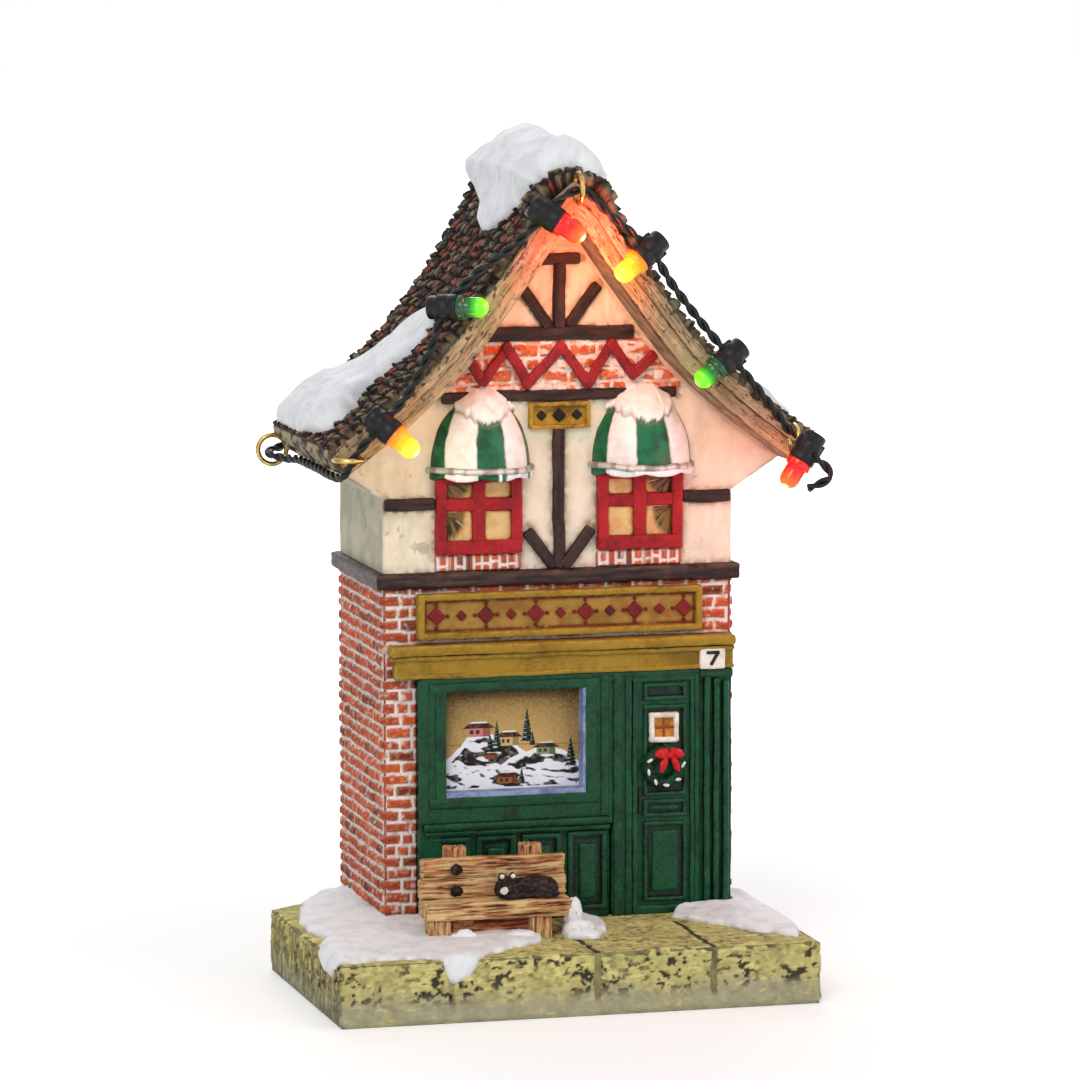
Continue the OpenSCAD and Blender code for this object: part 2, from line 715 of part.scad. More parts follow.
module sign_board() {
  color("peru") difference() {
    span_box([sign_x, front - sign_t, sign_z], [sign_x + sign_w, front, sign_z + sign_h]);
    span_box([sign_x + sign_rim, front - sign_t - over, sign_z + sign_rim],
      [sign_x + sign_w - sign_rim, sign_face, sign_z + sign_h - sign_rim]);
  }
}

module sign_ornaments() {
  pitch = (sign_w - 2 * sign_rim) / ornament_count;
  big = pitch / 3;
  small = pitch / 6;
  color("maroon")
    for (i = [0 : ornament_count - 1])
      translate([sign_x + sign_rim + pitch * (i + 1 / 2), sign_face, sign_z + sign_h / 2])
        rotate([90, 0, 0])
          linear_extrude(height = sign_t / 5)
            polygon(i % 2 == 0 ? [[-big, 0], [0, big], [big, 0], [0, -big]]
              : [[-small, 0], [0, small], [small, 0], [0, -small]]);
}

module number_plate() {
  h = fascia_h - number_w / 8;
  x = right - number_w * 3 / 8 - number_w;
  color("white")
    span_box([x, front - fascia_t - pane_t, shop_top], [x + number_w, front - fascia_t, shop_top + h]);
}

// Bench
bench_mid = house_off - bench_shift;
bench_x = bench_mid - bench_w / 2;
bench_y = front - bench_front;
seat_z = base_h + seat_top;
back_y = bench_y + seat_d - back_t;
leg_y = bench_y + leg_w / 6;
// Left edges of the posts, of the front legs and of the panel between them, along the bench
post_shares = [0.2, 0.72];
leg_shares = [0.03, 0.72];

module bench_back() {
  plank = back_h / 3;
  groove = back_t / 6;
  color("burlywood") difference() {
    span_box([bench_x + groove, back_y, seat_z],
      [bench_x + bench_w + groove, back_y + back_t, seat_z + back_h]);
    for (i = [1, 2])
      span_box([bench_x - over, back_y - over, seat_z + i * plank - groove / 2],
        [bench_x + bench_w + over, back_y + groove, seat_z + i * plank + groove / 2]);
  }
}

module bench_seat() {
  color("burlywood")
    span_box([bench_x, bench_y, seat_z - seat_t], [bench_x + bench_w, bench_y + seat_d, seat_z]);
}

// What stands on the base under the bench, grown by a gap for the snow round it
module bench_feet(gap) {
  z0 = base_h - gap;
  z1 = seat_z - seat_t;
  y1 = bench_y + seat_d;
  for (a = leg_shares) {
    x = bench_x + bench_w * a;
    span_box([x - gap, leg_y - gap, z0], [x + leg_w + gap, leg_y + leg_w + gap, z1]);
  }
  for (a = post_shares) {
    x = bench_x + bench_w * a;
    span_box([x - gap, y1 - gap, z0], [x + leg_w + gap, y1 + post_d + gap, z1]);
  }
  span_box([bench_x + bench_w * post_shares[0] - gap, leg_y + leg_w / 2 - gap, z0],
    [bench_x + bench_w * post_shares[1] + leg_w + gap, leg_y + leg_w + gap, z1]);
}

module bench_frame() {
  brace_h = (seat_top - seat_t) / 3;
  post_z = seat_z + back_h + back_t * 3 / 4;
  z1 = seat_z - seat_t;
  y1 = bench_y + seat_d;
  color("saddlebrown") union() {
    bench_feet(0);
    for (a = post_shares) {
      x = bench_x + bench_w * a;
      span_box([x, leg_y + leg_w / 2, z1 - brace_h], [x + leg_w, y1 + post_d, z1]);
      span_box([x, y1, base_h], [x + leg_w, y1 + post_d, post_z]);
    }
    span_box([bench_x + bench_w * leg_shares[0], leg_y + leg_w / 2, z1 - brace_h],
      [bench_x + bench_w * post_shares[0] + leg_w, leg_y + leg_w, z1]);
  }
}

// Sleeping animal, as shares of its length
cat_head_share = 0.17;
cat_body_share = 0.19;
module sleeping_cat() {
  r = cat_l * cat_body_share;
  h = cat_l * cat_head_share;
  x = bench_mid + bench_w / 5;
  y = bench_y + r + back_t / 4;
  reach = cat_l / 2 - r;
  color("black") intersection() {
    union() {
      hull() {
        translate([x - reach, y, seat_z + r / 2])
          sphere(r = r, $fn = soft_fn);
        translate([x + reach, y, seat_z + r / 2])
          sphere(r = r, $fn = soft_fn);
      }
      translate([x - reach, y - h / 4, seat_z + h])
        sphere(r = h, $fn = soft_fn);
      for (s = [-1, 1])
        translate([x - reach + s * h / 2, y - h / 4, seat_z + h])
          cylinder(r1 = h / 2, r2 = h / 8, h = 3 * h / 2, $fn = soft_fn);
    }
    span_box([x - cat_l, bench_y, seat_z + seat_gap], [x + cat_l, back_y - seat_gap, seat_z + cat_l]);
  }
}

module string_course() {
  color("black") difference() {
    span_box([left - course_out, front - course_out, brick_top],
      [right + course_out, back + course_out, course_top]);
    room(brick_top - over, course_top + over);
  }
}

// Grommet in the back wall, at the start of the light string
grommet_hole = grommet_r * 2 / 3;
grommet_gap = 0.05;
grommet_flange = 0.8;
module at_grommet() {
  translate([cord_route[0][0], back, cord_route[0][2]])
    rotate([90, 0, 0])
      children();
}

module upper_walls() {
  half = concat([[house_w / 2, course_top], [house_w / 2, flare_z]], reversed(underside));
  outline = concat(half, mirrored(reversed(half)));
  color("antiquewhite") difference() {
    translate([house_off, 0, 0])
      upright(outline, front, back);
    room(course_top - over, ridge_z + over);
    at_grommet()
      cylinder(r = grommet_hole + grommet_gap, h = 2 * (wall_t + over), center = true);
  }
}

// Levels of the gable
frieze_share = 0.294;
collar_share = 0.795;
frieze_z = eave_z + roof_rise * frieze_share;
frieze_top = frieze_z + frieze_h;
collar_z = eave_z + roof_rise * collar_share;
// Half width of the room under the roof at level z, less a margin
function room_at(z, margin) = max([for (i = [0 : len(underside) - 2])
  let (a = underside[i], b = underside[i + 1])
    z <= a[1] && z >= b[1] ? lerp(a[0], b[0], (a[1] - z) / (a[1] - b[1])) - margin : 0]);
gable_gap = 0.6;

// Awning outline turned about its upright axis
awning_steps = 10;
awning_bottom = course_top + apron_h + window_h + frieze_t / 2;
function awning_curve(r, h, z0) = [for (i = [0 : awning_steps]) let (a = 90 * i / awning_steps)
  [r * cos(a), z0 + h * sin(a)]];
module awning_form(grow, z_low, z_high) {
  r = awning_r + grow;
  h = awning_h - awning_hem + grow;
  z0 = awning_bottom + awning_hem;
  difference() {
    translate([awning_shift, front + awning_in, 0])
      rotate_extrude()
        intersection() {
          polygon(concat([[0, awning_bottom], [r, awning_bottom]], awning_curve(r, h, z0)));
          translate([0, z_low])
            square([2 * r, z_high - z_low]);
        }
    span_box([-3 * r, front, 0], [3 * r, front + 3 * r, 2 * ridge_z]);
  }
}
module at_windows() {
  for (s = [-1, 1])
    translate([house_off + s * window_off, 0, 0])
      children();
}
module awning(side) {
  color("seagreen") translate([house_off + side * window_off, 0, 0])
    awning_form(0, awning_bottom, ridge_z);
}
module awning_left() {
  awning(-1);
}
module awning_right() {
  awning(1);
}

module awning_shell(z_low, z_high) {
  difference() {
    awning_form(awning_skin, z_low, z_high);
    awning_form(seat_gap, awning_bottom - over, ridge_z);
  }
}
snow_line_share = 0.62;
module awning_rails() {
  color("silver") at_windows()
    awning_shell(awning_bottom + awning_hem - rail_h, awning_bottom + awning_hem);
}
module awning_snow() {
  color("white") at_windows()
    awning_shell(awning_bottom + awning_h * snow_line_share, ridge_z);
}
module awning_cutters() {
  at_windows()
    awning_form(awning_skin + seat_gap, awning_bottom - over, ridge_z);
}

module gable_timbers() {
  c = house_off;
  w = timber_w;
  brace = collar_z - frieze_top - beam_w;
  wide = room_at(frieze_z, 4 * gable_gap);
  color("maroon") difference() {
    union() {
      span_box([c - wide, front - timber_t, frieze_z - w], [c + wide, front, frieze_z]);
      span_box([c - room_at(frieze_top + beam_w, gable_gap), front - timber_t, frieze_top],
        [c + room_at(frieze_top + beam_w, gable_gap), front, frieze_top + beam_w]);
      span_box([c - w / 2, front - timber_t, frieze_top + beam_w], [c + w / 2, front, collar_z]);
      span_box([c - 2 * w, front - timber_t, collar_z], [c + 2 * w, front, collar_z + w]);
      for (s = [-1, 1])
        wall_bar([c + s * brace * 2 / 3, frieze_top + beam_w + brace * 2 / 3],
          [c + s * w, frieze_top + beam_w], w, front, timber_t);
    }
    awning_cutters();
  }
}

module frieze_bricks() {
  low = room_at(frieze_z, 0) - 2 * gable_gap;
  high = room_at(frieze_top, 0) - 2 * gable_gap;
  color("indianred") difference() {
    translate([house_off, 0, 0])
      upright([[-low, frieze_z], [low, frieze_z], [high, frieze_top], [-high, frieze_top]],
        front - frieze_t, front);
    awning_cutters();
  }
}

module frieze_zigzag() {
  y = front - frieze_t;
  half = room_at(frieze_top, 2 * gable_gap);
  step = 2 * half / zigzag_count;
  low = frieze_z + zigzag_w;
  high = frieze_top - zigzag_w;
  x0 = house_off - half;
  color("crimson") intersection() {
    union() {
      for (i = [0 : zigzag_count - 1])
        wall_bar([x0 + i * step, i % 2 == 0 ? high : low], [x0 + (i + 1) * step, i % 2 == 0 ? low : high],
          zigzag_w, y, timber_t / 2);
    }
    translate([house_off, 0, 0])
      upright([[-2 * half, frieze_z], [2 * half, frieze_z], [half, frieze_top], [-half, frieze_top]],
        y - timber_t, y);
  }
}

// Plaque over the middle post
plaque_z = frieze_z - timber_w - plaque_h - panel_out / 2;
module wall_timbers() {
  c = house_off;
  w = timber_w;
  foot = course_top;
  stub_z = flare_z - w;
  reach = window_off + window_w / 2;
  color("black") union() {
    span_box([c - w / 2, front - timber_t, foot], [c + w / 2, front, plaque_z]);
    for (s = [-1, 1]) {
      intersection() {
        wall_bar([c + s * 3 * w, foot + apron_h + 2 * w], [c + s * w / 2, foot], w, front, timber_t);
        span_box([left, front - timber_t, foot], [right, front, flare_z]);
      }
      span_box([s < 0 ? left : c + reach, front - timber_t, stub_z],
        [s < 0 ? c - reach : right, front, stub_z + w]);
    }
  }
}

module plaque() {
  rim = panel_rim;
  x = house_off - plaque_w / 2;
  color("goldenrod") difference() {
    span_box([x, front - plaque_t, plaque_z], [x + plaque_w, front, plaque_z + plaque_h]);
    span_box([x + rim, front - plaque_t - over, plaque_z + rim],
      [x + plaque_w - rim, front - plaque_t * 3 / 4, plaque_z + plaque_h - rim]);
  }
}

// Upper windows
window_z = course_top + apron_h;
inner_bar = window_bar * 4 / 5;
module window_frame(side) {
  c = house_off + side * window_off;
  b = window_bar;
  color("crimson") union() {
    difference() {
      span_box([c - window_w / 2, front - window_t, window_z],
        [c + window_w / 2, front, window_z + window_h]);
      span_box([c - window_w / 2 + b, front - window_t - over, window_z + b],
        [c + window_w / 2 - b, front + over, window_z + window_h - b / 2]);
    }
    span_box([c - inner_bar / 2, front - window_t, window_z + b / 2],
      [c + inner_bar / 2, front - window_t / 2, window_z + window_h - b / 4]);
    span_box([c - window_w / 2 + b / 2, front - window_t, window_z + window_h * 3 / 5],
      [c + window_w / 2 - b / 2, front - window_t / 2, window_z + window_h * 3 / 5 + inner_bar]);
  }
}
module window_frame_left() {
  window_frame(-1);
}
module window_frame_right() {
  window_frame(1);
}
module window_panes() {
  b = window_bar;
  color("orange") at_windows()
    span_box([b - window_w / 2, front - window_t / 2, window_z + b],
      [window_w / 2 - b, front, window_z + window_h - b / 2]);
}
module brick_aprons() {
  color("indianred") at_windows()
    span_box([-window_w / 2, front - frieze_t, course_top], [window_w / 2, front, window_z]);
}

// Roof
module roof_slope(side) {
  color("dimgray")
    slope_band(underside, shingle_line, roof_front, roof_back, side);
}
module roof_left() {
  roof_slope(-1);
}
module roof_right() {
  roof_slope(1);
}
module barge(side) {
  low = raised(underside, roof_t / 2, false);
  high = raised(underside, roof_t - barge_margin, false);
  color("tan") union() {
    slope_band(underside, high, roof_front - barge_t, roof_front, side);
    slope_band(low, high, barge_front, roof_front - barge_t, side);
  }
}
module barge_left() {
  barge(-1);
}
module barge_right() {
  barge(1);
}

// Rows of the snow on the roof: station, front share, back share, depth share
ridge_snow_shares = [[-3.15, 0.34, 0.46, 0.15], [-2.8, 0.26, 0.56, 0.26], [-2.2, 0.14, 0.66, 0.34],
  [-1.6, 0.08, 0.9, 0.45], [-1, 0.05, 1, 0.85], [-0.5, 0.03, 1, 1.15], [0, 0, 1, 1.25], [0.5, 0, 1, 1],
  [1, 0.06, 1, 0.5], [1.5, 0.2, 1, 0.3], [2, 0.34, 0.9, 0.2]];
left_snow_shares = [[-11.9, 0.44, 0.94, 0.3], [-11.5, 0.23, 0.99, 0.6], [-10.9, 0.22, 0.99, 0.85],
  [-10.2, 0.25, 1, 0.95], [-9.5, 0.37, 1, 0.85], [-8.7, 0.45, 0.99, 0.6], [-7.7, 0.34, 0.91, 0.5],
  [-7, 0.3, 0.82, 0.45], [-6.4, 0.33, 0.7, 0.35], [-5.9, 0.48, 0.6, 0.2]];
right_snow_shares = [[8.4, 0.5, 0.7, 0.25], [9, 0.36, 0.84, 0.45], [9.8, 0.3, 0.9, 0.6],
  [10.6, 0.26, 0.95, 0.7], [11.2, 0.24, 0.97, 0.65], [11.6, 0.24, 0.97, 0.5], [11.9, 0.28, 0.95, 0.3]];
module ridge_snow() {
  color("white")
    roof_blanket(ridge_snow_shares);
}
module roof_snow_left() {
  color("white")
    roof_blanket(left_snow_shares);
}
module roof_snow_right() {
  color("white")
    roof_blanket(right_snow_shares);
}

// Screw eyes: the ring lies in the XZ plane with its shank along +X from the ring's rim
module screw_eye() {
  rotate([90, 0, 0])
    rotate_extrude()
      translate([eye_r, 0])
        circle(d = eye_wire, $fn = soft_fn);
  translate([eye_r, 0, 0])
    rotate([0, 90, 0])
      cylinder(d = eye_wire, h = eye_shank);
}
// Middle of a barge board's width at a station, one ring's radius before the board
function barge_place(s) = let (p = station_point(s), n = station_normal(s) * roof_t / 2)
  [house_off + (s < 0 ? -p[0] : p[0]) - n[0], roof_front - barge_t - eye_r, p[1] - n[1]];
// Stations of the two lower eyes on the barge boards
eye_station_shares = [-11.7, 11.3];
eave_mid = (roof_line[last] + underside[last]) / 2;
eave_normal = unit(roof_line[last] - underside[last]);
// Place at a reach out from the middle of the left eave's end face, near its back
function eave_place(reach) = [house_off - eave_mid[0] - eave_normal[1] * reach, roof_back - eye_r,
  eave_mid[1] - eave_normal[0] * reach];
module screw_eyes() {
  peak = [house_off, roof_front - barge_t - eye_r, underside[0][1] + roof_t];
  reach = eye_r + eye_wire / 2;
  color("goldenrod") {
    translate(peak)
      rotate([0, 0, 90])
        screw_eye();
    translate(barge_place(eye_station_shares[1]))
      rotate([0, 0, 90])
        screw_eye();
    translate(barge_place(eye_station_shares[0]))
      rotate([0, 0, 90])
        rotate([90, 0, 0])
          screw_eye();
    translate(eave_place(reach))
      rotate([0, -atan2(eave_normal[0], eave_normal[1]), 0])
        screw_eye();
  }
}

module light_cord() {
  color("black")
    tube(refined(cord_route), lead_d / 2);
}

module bulb_holders() {
  color("black")
    for (i = [0 : len(lamp_stops) - 1])
      at_lamp(i)
        cylinder(d = holder_d, h = holder_l, center = true);
}

module lamp_body() {
  dome = lamp_d / 2;
  translate([0, 0, holder_l / 2])
    rotate_extrude()
      union() {
        square([rim_d / 2, rim_h]);
        square([dome, lamp_l - dome]);
        translate([0, lamp_l - dome])
          intersection() {
            circle(r = dome);
            square([dome, dome]);
          }
      }
}
module lamps_amber() {
  color("orange")
    for (i = [0, 3])
      at_lamp(i)
        lamp_body();
}
module lamps_green() {
  color("lime")
    for (i = [1, 4])
      at_lamp(i)
        lamp_body();
}
module lamps_red() {
  color("red")
    for (i = [2, 5])
      at_lamp(i)
        lamp_body();
}

module cord_grommet() {
  color("black") at_grommet() union() {
    cylinder(r = grommet_hole, h = wall_t);
    translate([0, 0, -grommet_flange])
      cylinder(r = grommet_r, h = grommet_flange);
  }
}

module inner_lead() {
  color("black") translate([0, back, 0])
    tube(refined(inner_route), lead_d / 2);
}

// Room for the switch above the mouth plate
slot_l = knob_w + knob_travel + 2 * cell_gap;
slot_w = knob_w + 2 * cell_gap;
slot_x = switch_x + (switch_bay - slot_l) / 2;
head_w = knob_w + 4 * cell_gap;
head_h = lid_t * 2 / 3;
head_z = mouth_z + cell_gap;
cavity_w = head_w + 2 * cell_gap;
cavity_top = head_z + head_h + cell_gap;
knob_x = slot_x + cell_gap;

module battery_box() {
  color("dimgray") difference() {
    union() {
      span_box([box_x, box_y, box_recess], [box_x + box_l, box_y + box_d, box_top]);
      span_box([box_x - tab_w, box_y, box_recess], [box_x + box_l + tab_w, box_y + box_d, mouth_z]);
    }
    for (i = [0 : cell_count - 1])
      translate([cell_x(i), mid_y, mouth_z - over])
        cylinder(d = pocket_d, h = pocket_top - mouth_z + over);
    span_box([bay_x, bay_y, box_recess - over], [bay_x + bay_w, bay_y + pocket_d, mouth_z]);
    translate([hinge_x, box_y - over, hinge_z])
      rotate([-90, 0, 0])
        cylinder(r = pin_r + pin_gap, h = box_d + 2 * over);
    span_box([switch_x, bay_y, mouth_z], [switch_x + switch_bay, bay_y + pocket_d, pocket_top]);
    span_box([slot_x, mid_y - slot_w / 2, box_recess - over],
      [slot_x + slot_l, mid_y + slot_w / 2, mouth_z + over]);
    screw_places()
      cylinder(r = screw_r + screw_gap, h = box_top);
  }
}

module battery_lid() {
  w = pocket_d - 2 * lid_gap;
  y = mid_y - w / 2;
  pin_l = lid_gap + box_wall * 4 / 5;
  notch = lid_t;
  color("gray") difference() {
    union() {
      span_box([hinge_x, y, box_recess], [bay_x + bay_w - lid_gap, y + w, mouth_z]);
      translate([hinge_x, y, hinge_z])
        rotate([-90, 0, 0])
          cylinder(d = lid_t, h = w);
      translate([hinge_x, y - pin_l, hinge_z])
        rotate([-90, 0, 0])
          cylinder(r = pin_r, h = w + 2 * pin_l);
    }
    translate([bay_x + bay_w - lid_gap, mid_y, box_recess - over])
      cylinder(r = notch, h = lid_t + 2 * over);
  }
}

module button_cells() {
  step = cell_h / 4;
  color("silver")
    for (i = [0 : cell_count - 1])
      translate([cell_x(i), mid_y, cell_z])
        rotate_extrude()
          polygon([[0, 0], [cell_d / 2 - step / 2, 0], [cell_d / 2 - step / 2, step / 2], [cell_d / 2, step],
            [cell_d / 2, cell_h], [0, cell_h]]);
}

module cell_contacts() {
  l = cell_d * 2 / 3;
  w = cell_d / 4;
  color("goldenrod")
    for (i = [0 : cell_count - 1])
      translate([cell_x(i) - l / 2, mid_y - w / 2, cell_z + cell_h])
        cube([l, w, contact_t]);
}

module box_screws() {
  z = box_recess - screw_head_h;
  color("silver") screw_places() difference() {
    union() {
      translate([0, 0, z])
        cylinder(r = screw_head_r, h = screw_head_h);
      translate([0, 0, box_recess])
        cylinder(r = screw_r, h = screw_l);
    }
    translate([-screw_head_r / 8, -screw_head_r * 3 / 4, z - over])
      cube([screw_head_r / 4, screw_head_r * 3 / 2, over + screw_head_h / 2]);
    translate([-screw_head_r * 3 / 4, -screw_head_r / 8, z - over])
      cube([screw_head_r * 3 / 2, screw_head_r / 4, over + screw_head_h / 2]);
  }
}

module switch_body() {
  w = cavity_w + 2 * box_wall;
  color("black") difference() {
    span_box([switch_x, mid_y - w / 2, mouth_z], [switch_x + switch_bay, mid_y + w / 2, pocket_top]);
    span_box([slot_x, mid_y - cavity_w / 2, mouth_z - over],
      [slot_x + slot_l, mid_y + cavity_w / 2, cavity_top]);
  }
}

module switch_knob() {
  color("black") union() {
    span_box([knob_x, mid_y - knob_w / 2, cell_gap], [knob_x + knob_w, mid_y + knob_w / 2, head_z]);
    span_box([knob_x, mid_y - head_w / 2, head_z], [knob_x + knob_w, mid_y + head_w / 2, head_z + head_h]);
  }
}

base_plinth();
snow_left();
snow_right();
lower_walls();
shopfront_frame();
stall_riser();
window_sill();
window_liner();
window_card();
door_leaf();
door_window();
wreath();
wreath_bow();
ribbed_pilaster();
fascia();
sign_board();
sign_ornaments();
number_plate();
bench_back();
bench_seat();
bench_frame();
sleeping_cat();
string_course();
upper_walls();
gable_timbers();
frieze_bricks();
frieze_zigzag();
wall_timbers();
plaque();
window_frame_left();
window_frame_right();
window_panes();
brick_aprons();
awning_left();
awning_right();
awning_rails();
awning_snow();
roof_left();
roof_right();
barge_left();
barge_right();
ridge_snow();
roof_snow_left();
roof_snow_right();
screw_eyes();
light_cord();
bulb_holders();
lamps_amber();
lamps_green();
lamps_red();
cord_grommet();
inner_lead();
battery_box();
battery_lid();
button_cells();
cell_contacts();
box_screws();
switch_body();
switch_knob();
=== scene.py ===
import math

import bpy
import numpy as np
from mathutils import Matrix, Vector


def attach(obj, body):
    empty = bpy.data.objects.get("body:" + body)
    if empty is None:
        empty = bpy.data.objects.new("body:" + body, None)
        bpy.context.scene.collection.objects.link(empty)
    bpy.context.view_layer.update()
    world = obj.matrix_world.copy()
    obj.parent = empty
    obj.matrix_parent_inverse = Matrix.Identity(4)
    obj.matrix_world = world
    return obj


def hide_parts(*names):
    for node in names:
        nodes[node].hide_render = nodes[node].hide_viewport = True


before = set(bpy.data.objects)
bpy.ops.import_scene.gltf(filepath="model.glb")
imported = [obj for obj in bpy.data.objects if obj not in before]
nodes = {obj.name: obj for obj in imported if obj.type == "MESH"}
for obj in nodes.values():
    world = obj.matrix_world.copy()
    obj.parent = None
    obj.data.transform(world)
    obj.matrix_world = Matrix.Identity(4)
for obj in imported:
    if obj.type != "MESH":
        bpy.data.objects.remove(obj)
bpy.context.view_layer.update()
scene = bpy.context.scene
MM = 0.001


# Numbers, noise, colour
def lin(c):
    """sRGB 0..255 to linear"""
    c = np.asarray(c, float) / 255
    return np.where(c <= 0.04045, c / 12.92, ((c + 0.055) / 1.055) ** 2.4)


def rnd(i, j, k=0, seed=0):
    """repeatable random numbers 0..1 for whole numbers"""
    n = (np.asarray(i, np.int64) * 73856093) ^ (np.asarray(j, np.int64) * 19349663)
    n = n ^ (np.asarray(k, np.int64) * 83492791) ^ np.int64(seed * 3779441 + 5)
    n = n & 0xFFFFFFFF
    n = ((n ^ (n >> 15)) * 739123753) & 0xFFFFFFFF
    n = ((n ^ (n >> 13)) * 461845907) & 0xFFFFFFFF
    return ((n ^ (n >> 16)) & 0xFFFFF) / 1048575.0


def vnoise(p, seed=0):
    """random values at whole-number points, smooth between them"""
    p = np.asarray(p, float)
    i = np.floor(p).astype(np.int64)
    f = p - i
    f = f * f * (3 - 2 * f)
    out = 0.0
    for a in (0, 1):
        wa = f[..., 0] if a else 1 - f[..., 0]
        for b in (0, 1):
            wb = wa * (f[..., 1] if b else 1 - f[..., 1])
            for c in (0, 1):
                wc = wb * (f[..., 2] if c else 1 - f[..., 2])
                out = out + wc * rnd(i[..., 0] + a, i[..., 1] + b, i[..., 2] + c, seed)
    return out


def fbm(p, octaves=3, seed=0):
    """cloudy noise, about 0..1 round 0.5"""
    p = np.asarray(p, float)
    out, total = 0.0, 0.0
    for k in range(octaves):
        out = out + vnoise(p * 2.0**k + 11.7 * k, seed + k) * 0.5**k
        total += 0.5**k
    return out / total


def noise3(x, y, z, scale, octaves=3, seed=0):
    """fbm from three arrays in mm, with scale a size in mm or three of them"""
    s = np.broadcast_to(np.asarray(scale, float), (3,))
    x, y, z = np.broadcast_arrays(x, y, z)
    return fbm(np.stack([x / s[0], y / s[1], z / s[2]], -1), octaves, seed)


def step(a, b, x):
    """0 up to a, 1 from b on, and smooth between"""
    t = np.clip((np.asarray(x, float) - a) / (b - a), 0, 1)
    return t * t * (3 - 2 * t)


def mix(a, b, t):
    """colours a and b (linear) mixed by an array t"""
    t = np.asarray(t, float)[..., None]
    return np.asarray(a) * (1 - t) + np.asarray(b) * t


def unit(v):
    """vectors made 1 long"""
    v = np.asarray(v, float)
    return v / np.maximum(np.linalg.norm(v, axis=-1, keepdims=True), 1e-12)


def distance(p):
    """how far each point of a line is from its start, along the line"""
    return np.concatenate([[0], np.cumsum(np.linalg.norm(np.diff(p, axis=0), axis=1))])


def points(x, y, z):
    """a row of points from arrays or single numbers"""
    return np.stack(np.broadcast_arrays(x, y, z), 1)


def four_sides(x0, x1, z0, z1, w):
    """the rectangles of a frame w wide: bottom, top, left and right"""
    return (x0, x1, z0, z0 + w), (x0, x1, z1 - w, z1), (x0, x0 + w, z0, z1), (x1 - w, x1, z0, z1)


# Meshes
class Parts:
    """Collects points, faces and tints of one object."""

    def __init__(self):
        self.co, self.faces, self.tint, self.glow, self.n = [], [], [], [], 0

    def add(self, co, faces, tint, glow=0.0):
        co = np.asarray(co, float).reshape(-1, 3)
        self.co.append(co)
        for f in faces:
            f = np.asarray(f, np.int64)
            self.faces.append((f if f.ndim == 2 else f[None]) + self.n)
        self.tint.append(np.broadcast_to(np.asarray(tint, float).reshape(-1, 3), co.shape))
        self.glow.append(np.broadcast_to(np.asarray(glow, float).reshape(-1), len(co)))
        self.n += len(co)

    def obj(self, name, mat, replaces=(), slot=None, body="house", smooth=True, glow=False):
        me = bpy.data.meshes.new(name)
        co = (np.concatenate(self.co) * MM).astype(np.float32)
        me.vertices.add(len(co))
        me.vertices.foreach_set("co", co.ravel())
        loops = np.concatenate([f.ravel() for f in self.faces]).astype(np.int32)
        sizes = np.concatenate([np.full(len(f), f.shape[1]) for f in self.faces])
        me.loops.add(len(loops))
        me.loops.foreach_set("vertex_index", loops)
        me.polygons.add(len(sizes))
        starts = np.concatenate([[0], np.cumsum(sizes)[:-1]]).astype(np.int32)
        me.polygons.foreach_set("loop_start", starts)
        me.polygons.foreach_set("use_smooth", np.full(len(sizes), bool(smooth)))
        me.update(calc_edges=True)
        me.validate()
        tint = np.concatenate(self.tint)
        rgba = np.concatenate([np.clip(tint, 0, 1), np.ones((len(tint), 1))], 1)
        me.color_attributes.new("tint", "FLOAT_COLOR", "POINT")
        me.color_attributes["tint"].data.foreach_set("color", rgba.astype(np.float32).ravel())
        if glow:
            g = me.attributes.new("glow", "FLOAT", "POINT")
            g.data.foreach_set("value", np.concatenate(self.glow).astype(np.float32))
        me.materials.append(mat)
        o = bpy.data.objects.new(name, me)
        scene.collection.objects.link(o)
        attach(o, body)
        if replaces:
            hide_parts(*replaces)
        return o


def grid(n, m, close_n=False, close_m=False, flip=False):
    """quads of an n by m grid of points"""
    i = np.arange(n if close_n else n - 1)
    j = np.arange(m if close_m else m - 1)
    i, j = [a.ravel() for a in np.meshgrid(i, j, indexing="ij")]
    i2, j2 = (i + 1) % n, (j + 1) % m
    q = np.stack([i * m + j, i2 * m + j, i2 * m + j2, i * m + j2], 1)
    return q[:, ::-1] if flip else q


def capped(n, m, flip=True):
    """faces of n rings of m points, closed at both ends"""
    first, last = np.arange(m), (n - 1) * m + np.arange(m)
    return [grid(n, m, close_m=True, flip=flip)] + ([first, last[::-1]] if flip else [first[::-1], last])


def skin(parts, top, back0, back1, tint, closed=False, flip=False):
    """A closed thin piece: a fine top grid (n, m, 3), backed along its two long sides.
    The back is straight across m."""
    n, m = top.shape[:2]
    co = np.concatenate([top.reshape(-1, 3), back0, back1])
    a, b = n * m, n * m + n
    i = np.arange(n if closed else n - 1)
    k = (i + 1) % n
    faces = [
        grid(n, m, close_n=closed),
        np.stack([i * m, a + i, a + k, k * m], 1),
        np.stack([k * m + m - 1, b + k, b + i, i * m + m - 1], 1),
        np.stack([a + i, b + i, b + k, a + k], 1),
    ]
    if not closed:
        faces.append(np.concatenate([np.arange(m), [b, a]]))
        faces.append(np.concatenate([(n - 1) * m + np.arange(m)[::-1], [a + n - 1, b + n - 1]]))
    if flip:
        faces = [f[..., ::-1] for f in faces]
    t = np.asarray(tint, float).reshape(-1, 3)
    parts.add(co, faces, np.concatenate([t, np.repeat(t[:1], 2 * n, 0)]))


def cuts(length, r, size):
    """where a side of a rounded box is cut: finer in its rounded ends"""
    k = max(1, int(round((length - 2 * r) / size)))
    inner = np.linspace(r, length - r, k + 1)
    return np.concatenate([[0, 0.45 * r], inner, [length - 0.45 * r, length]])


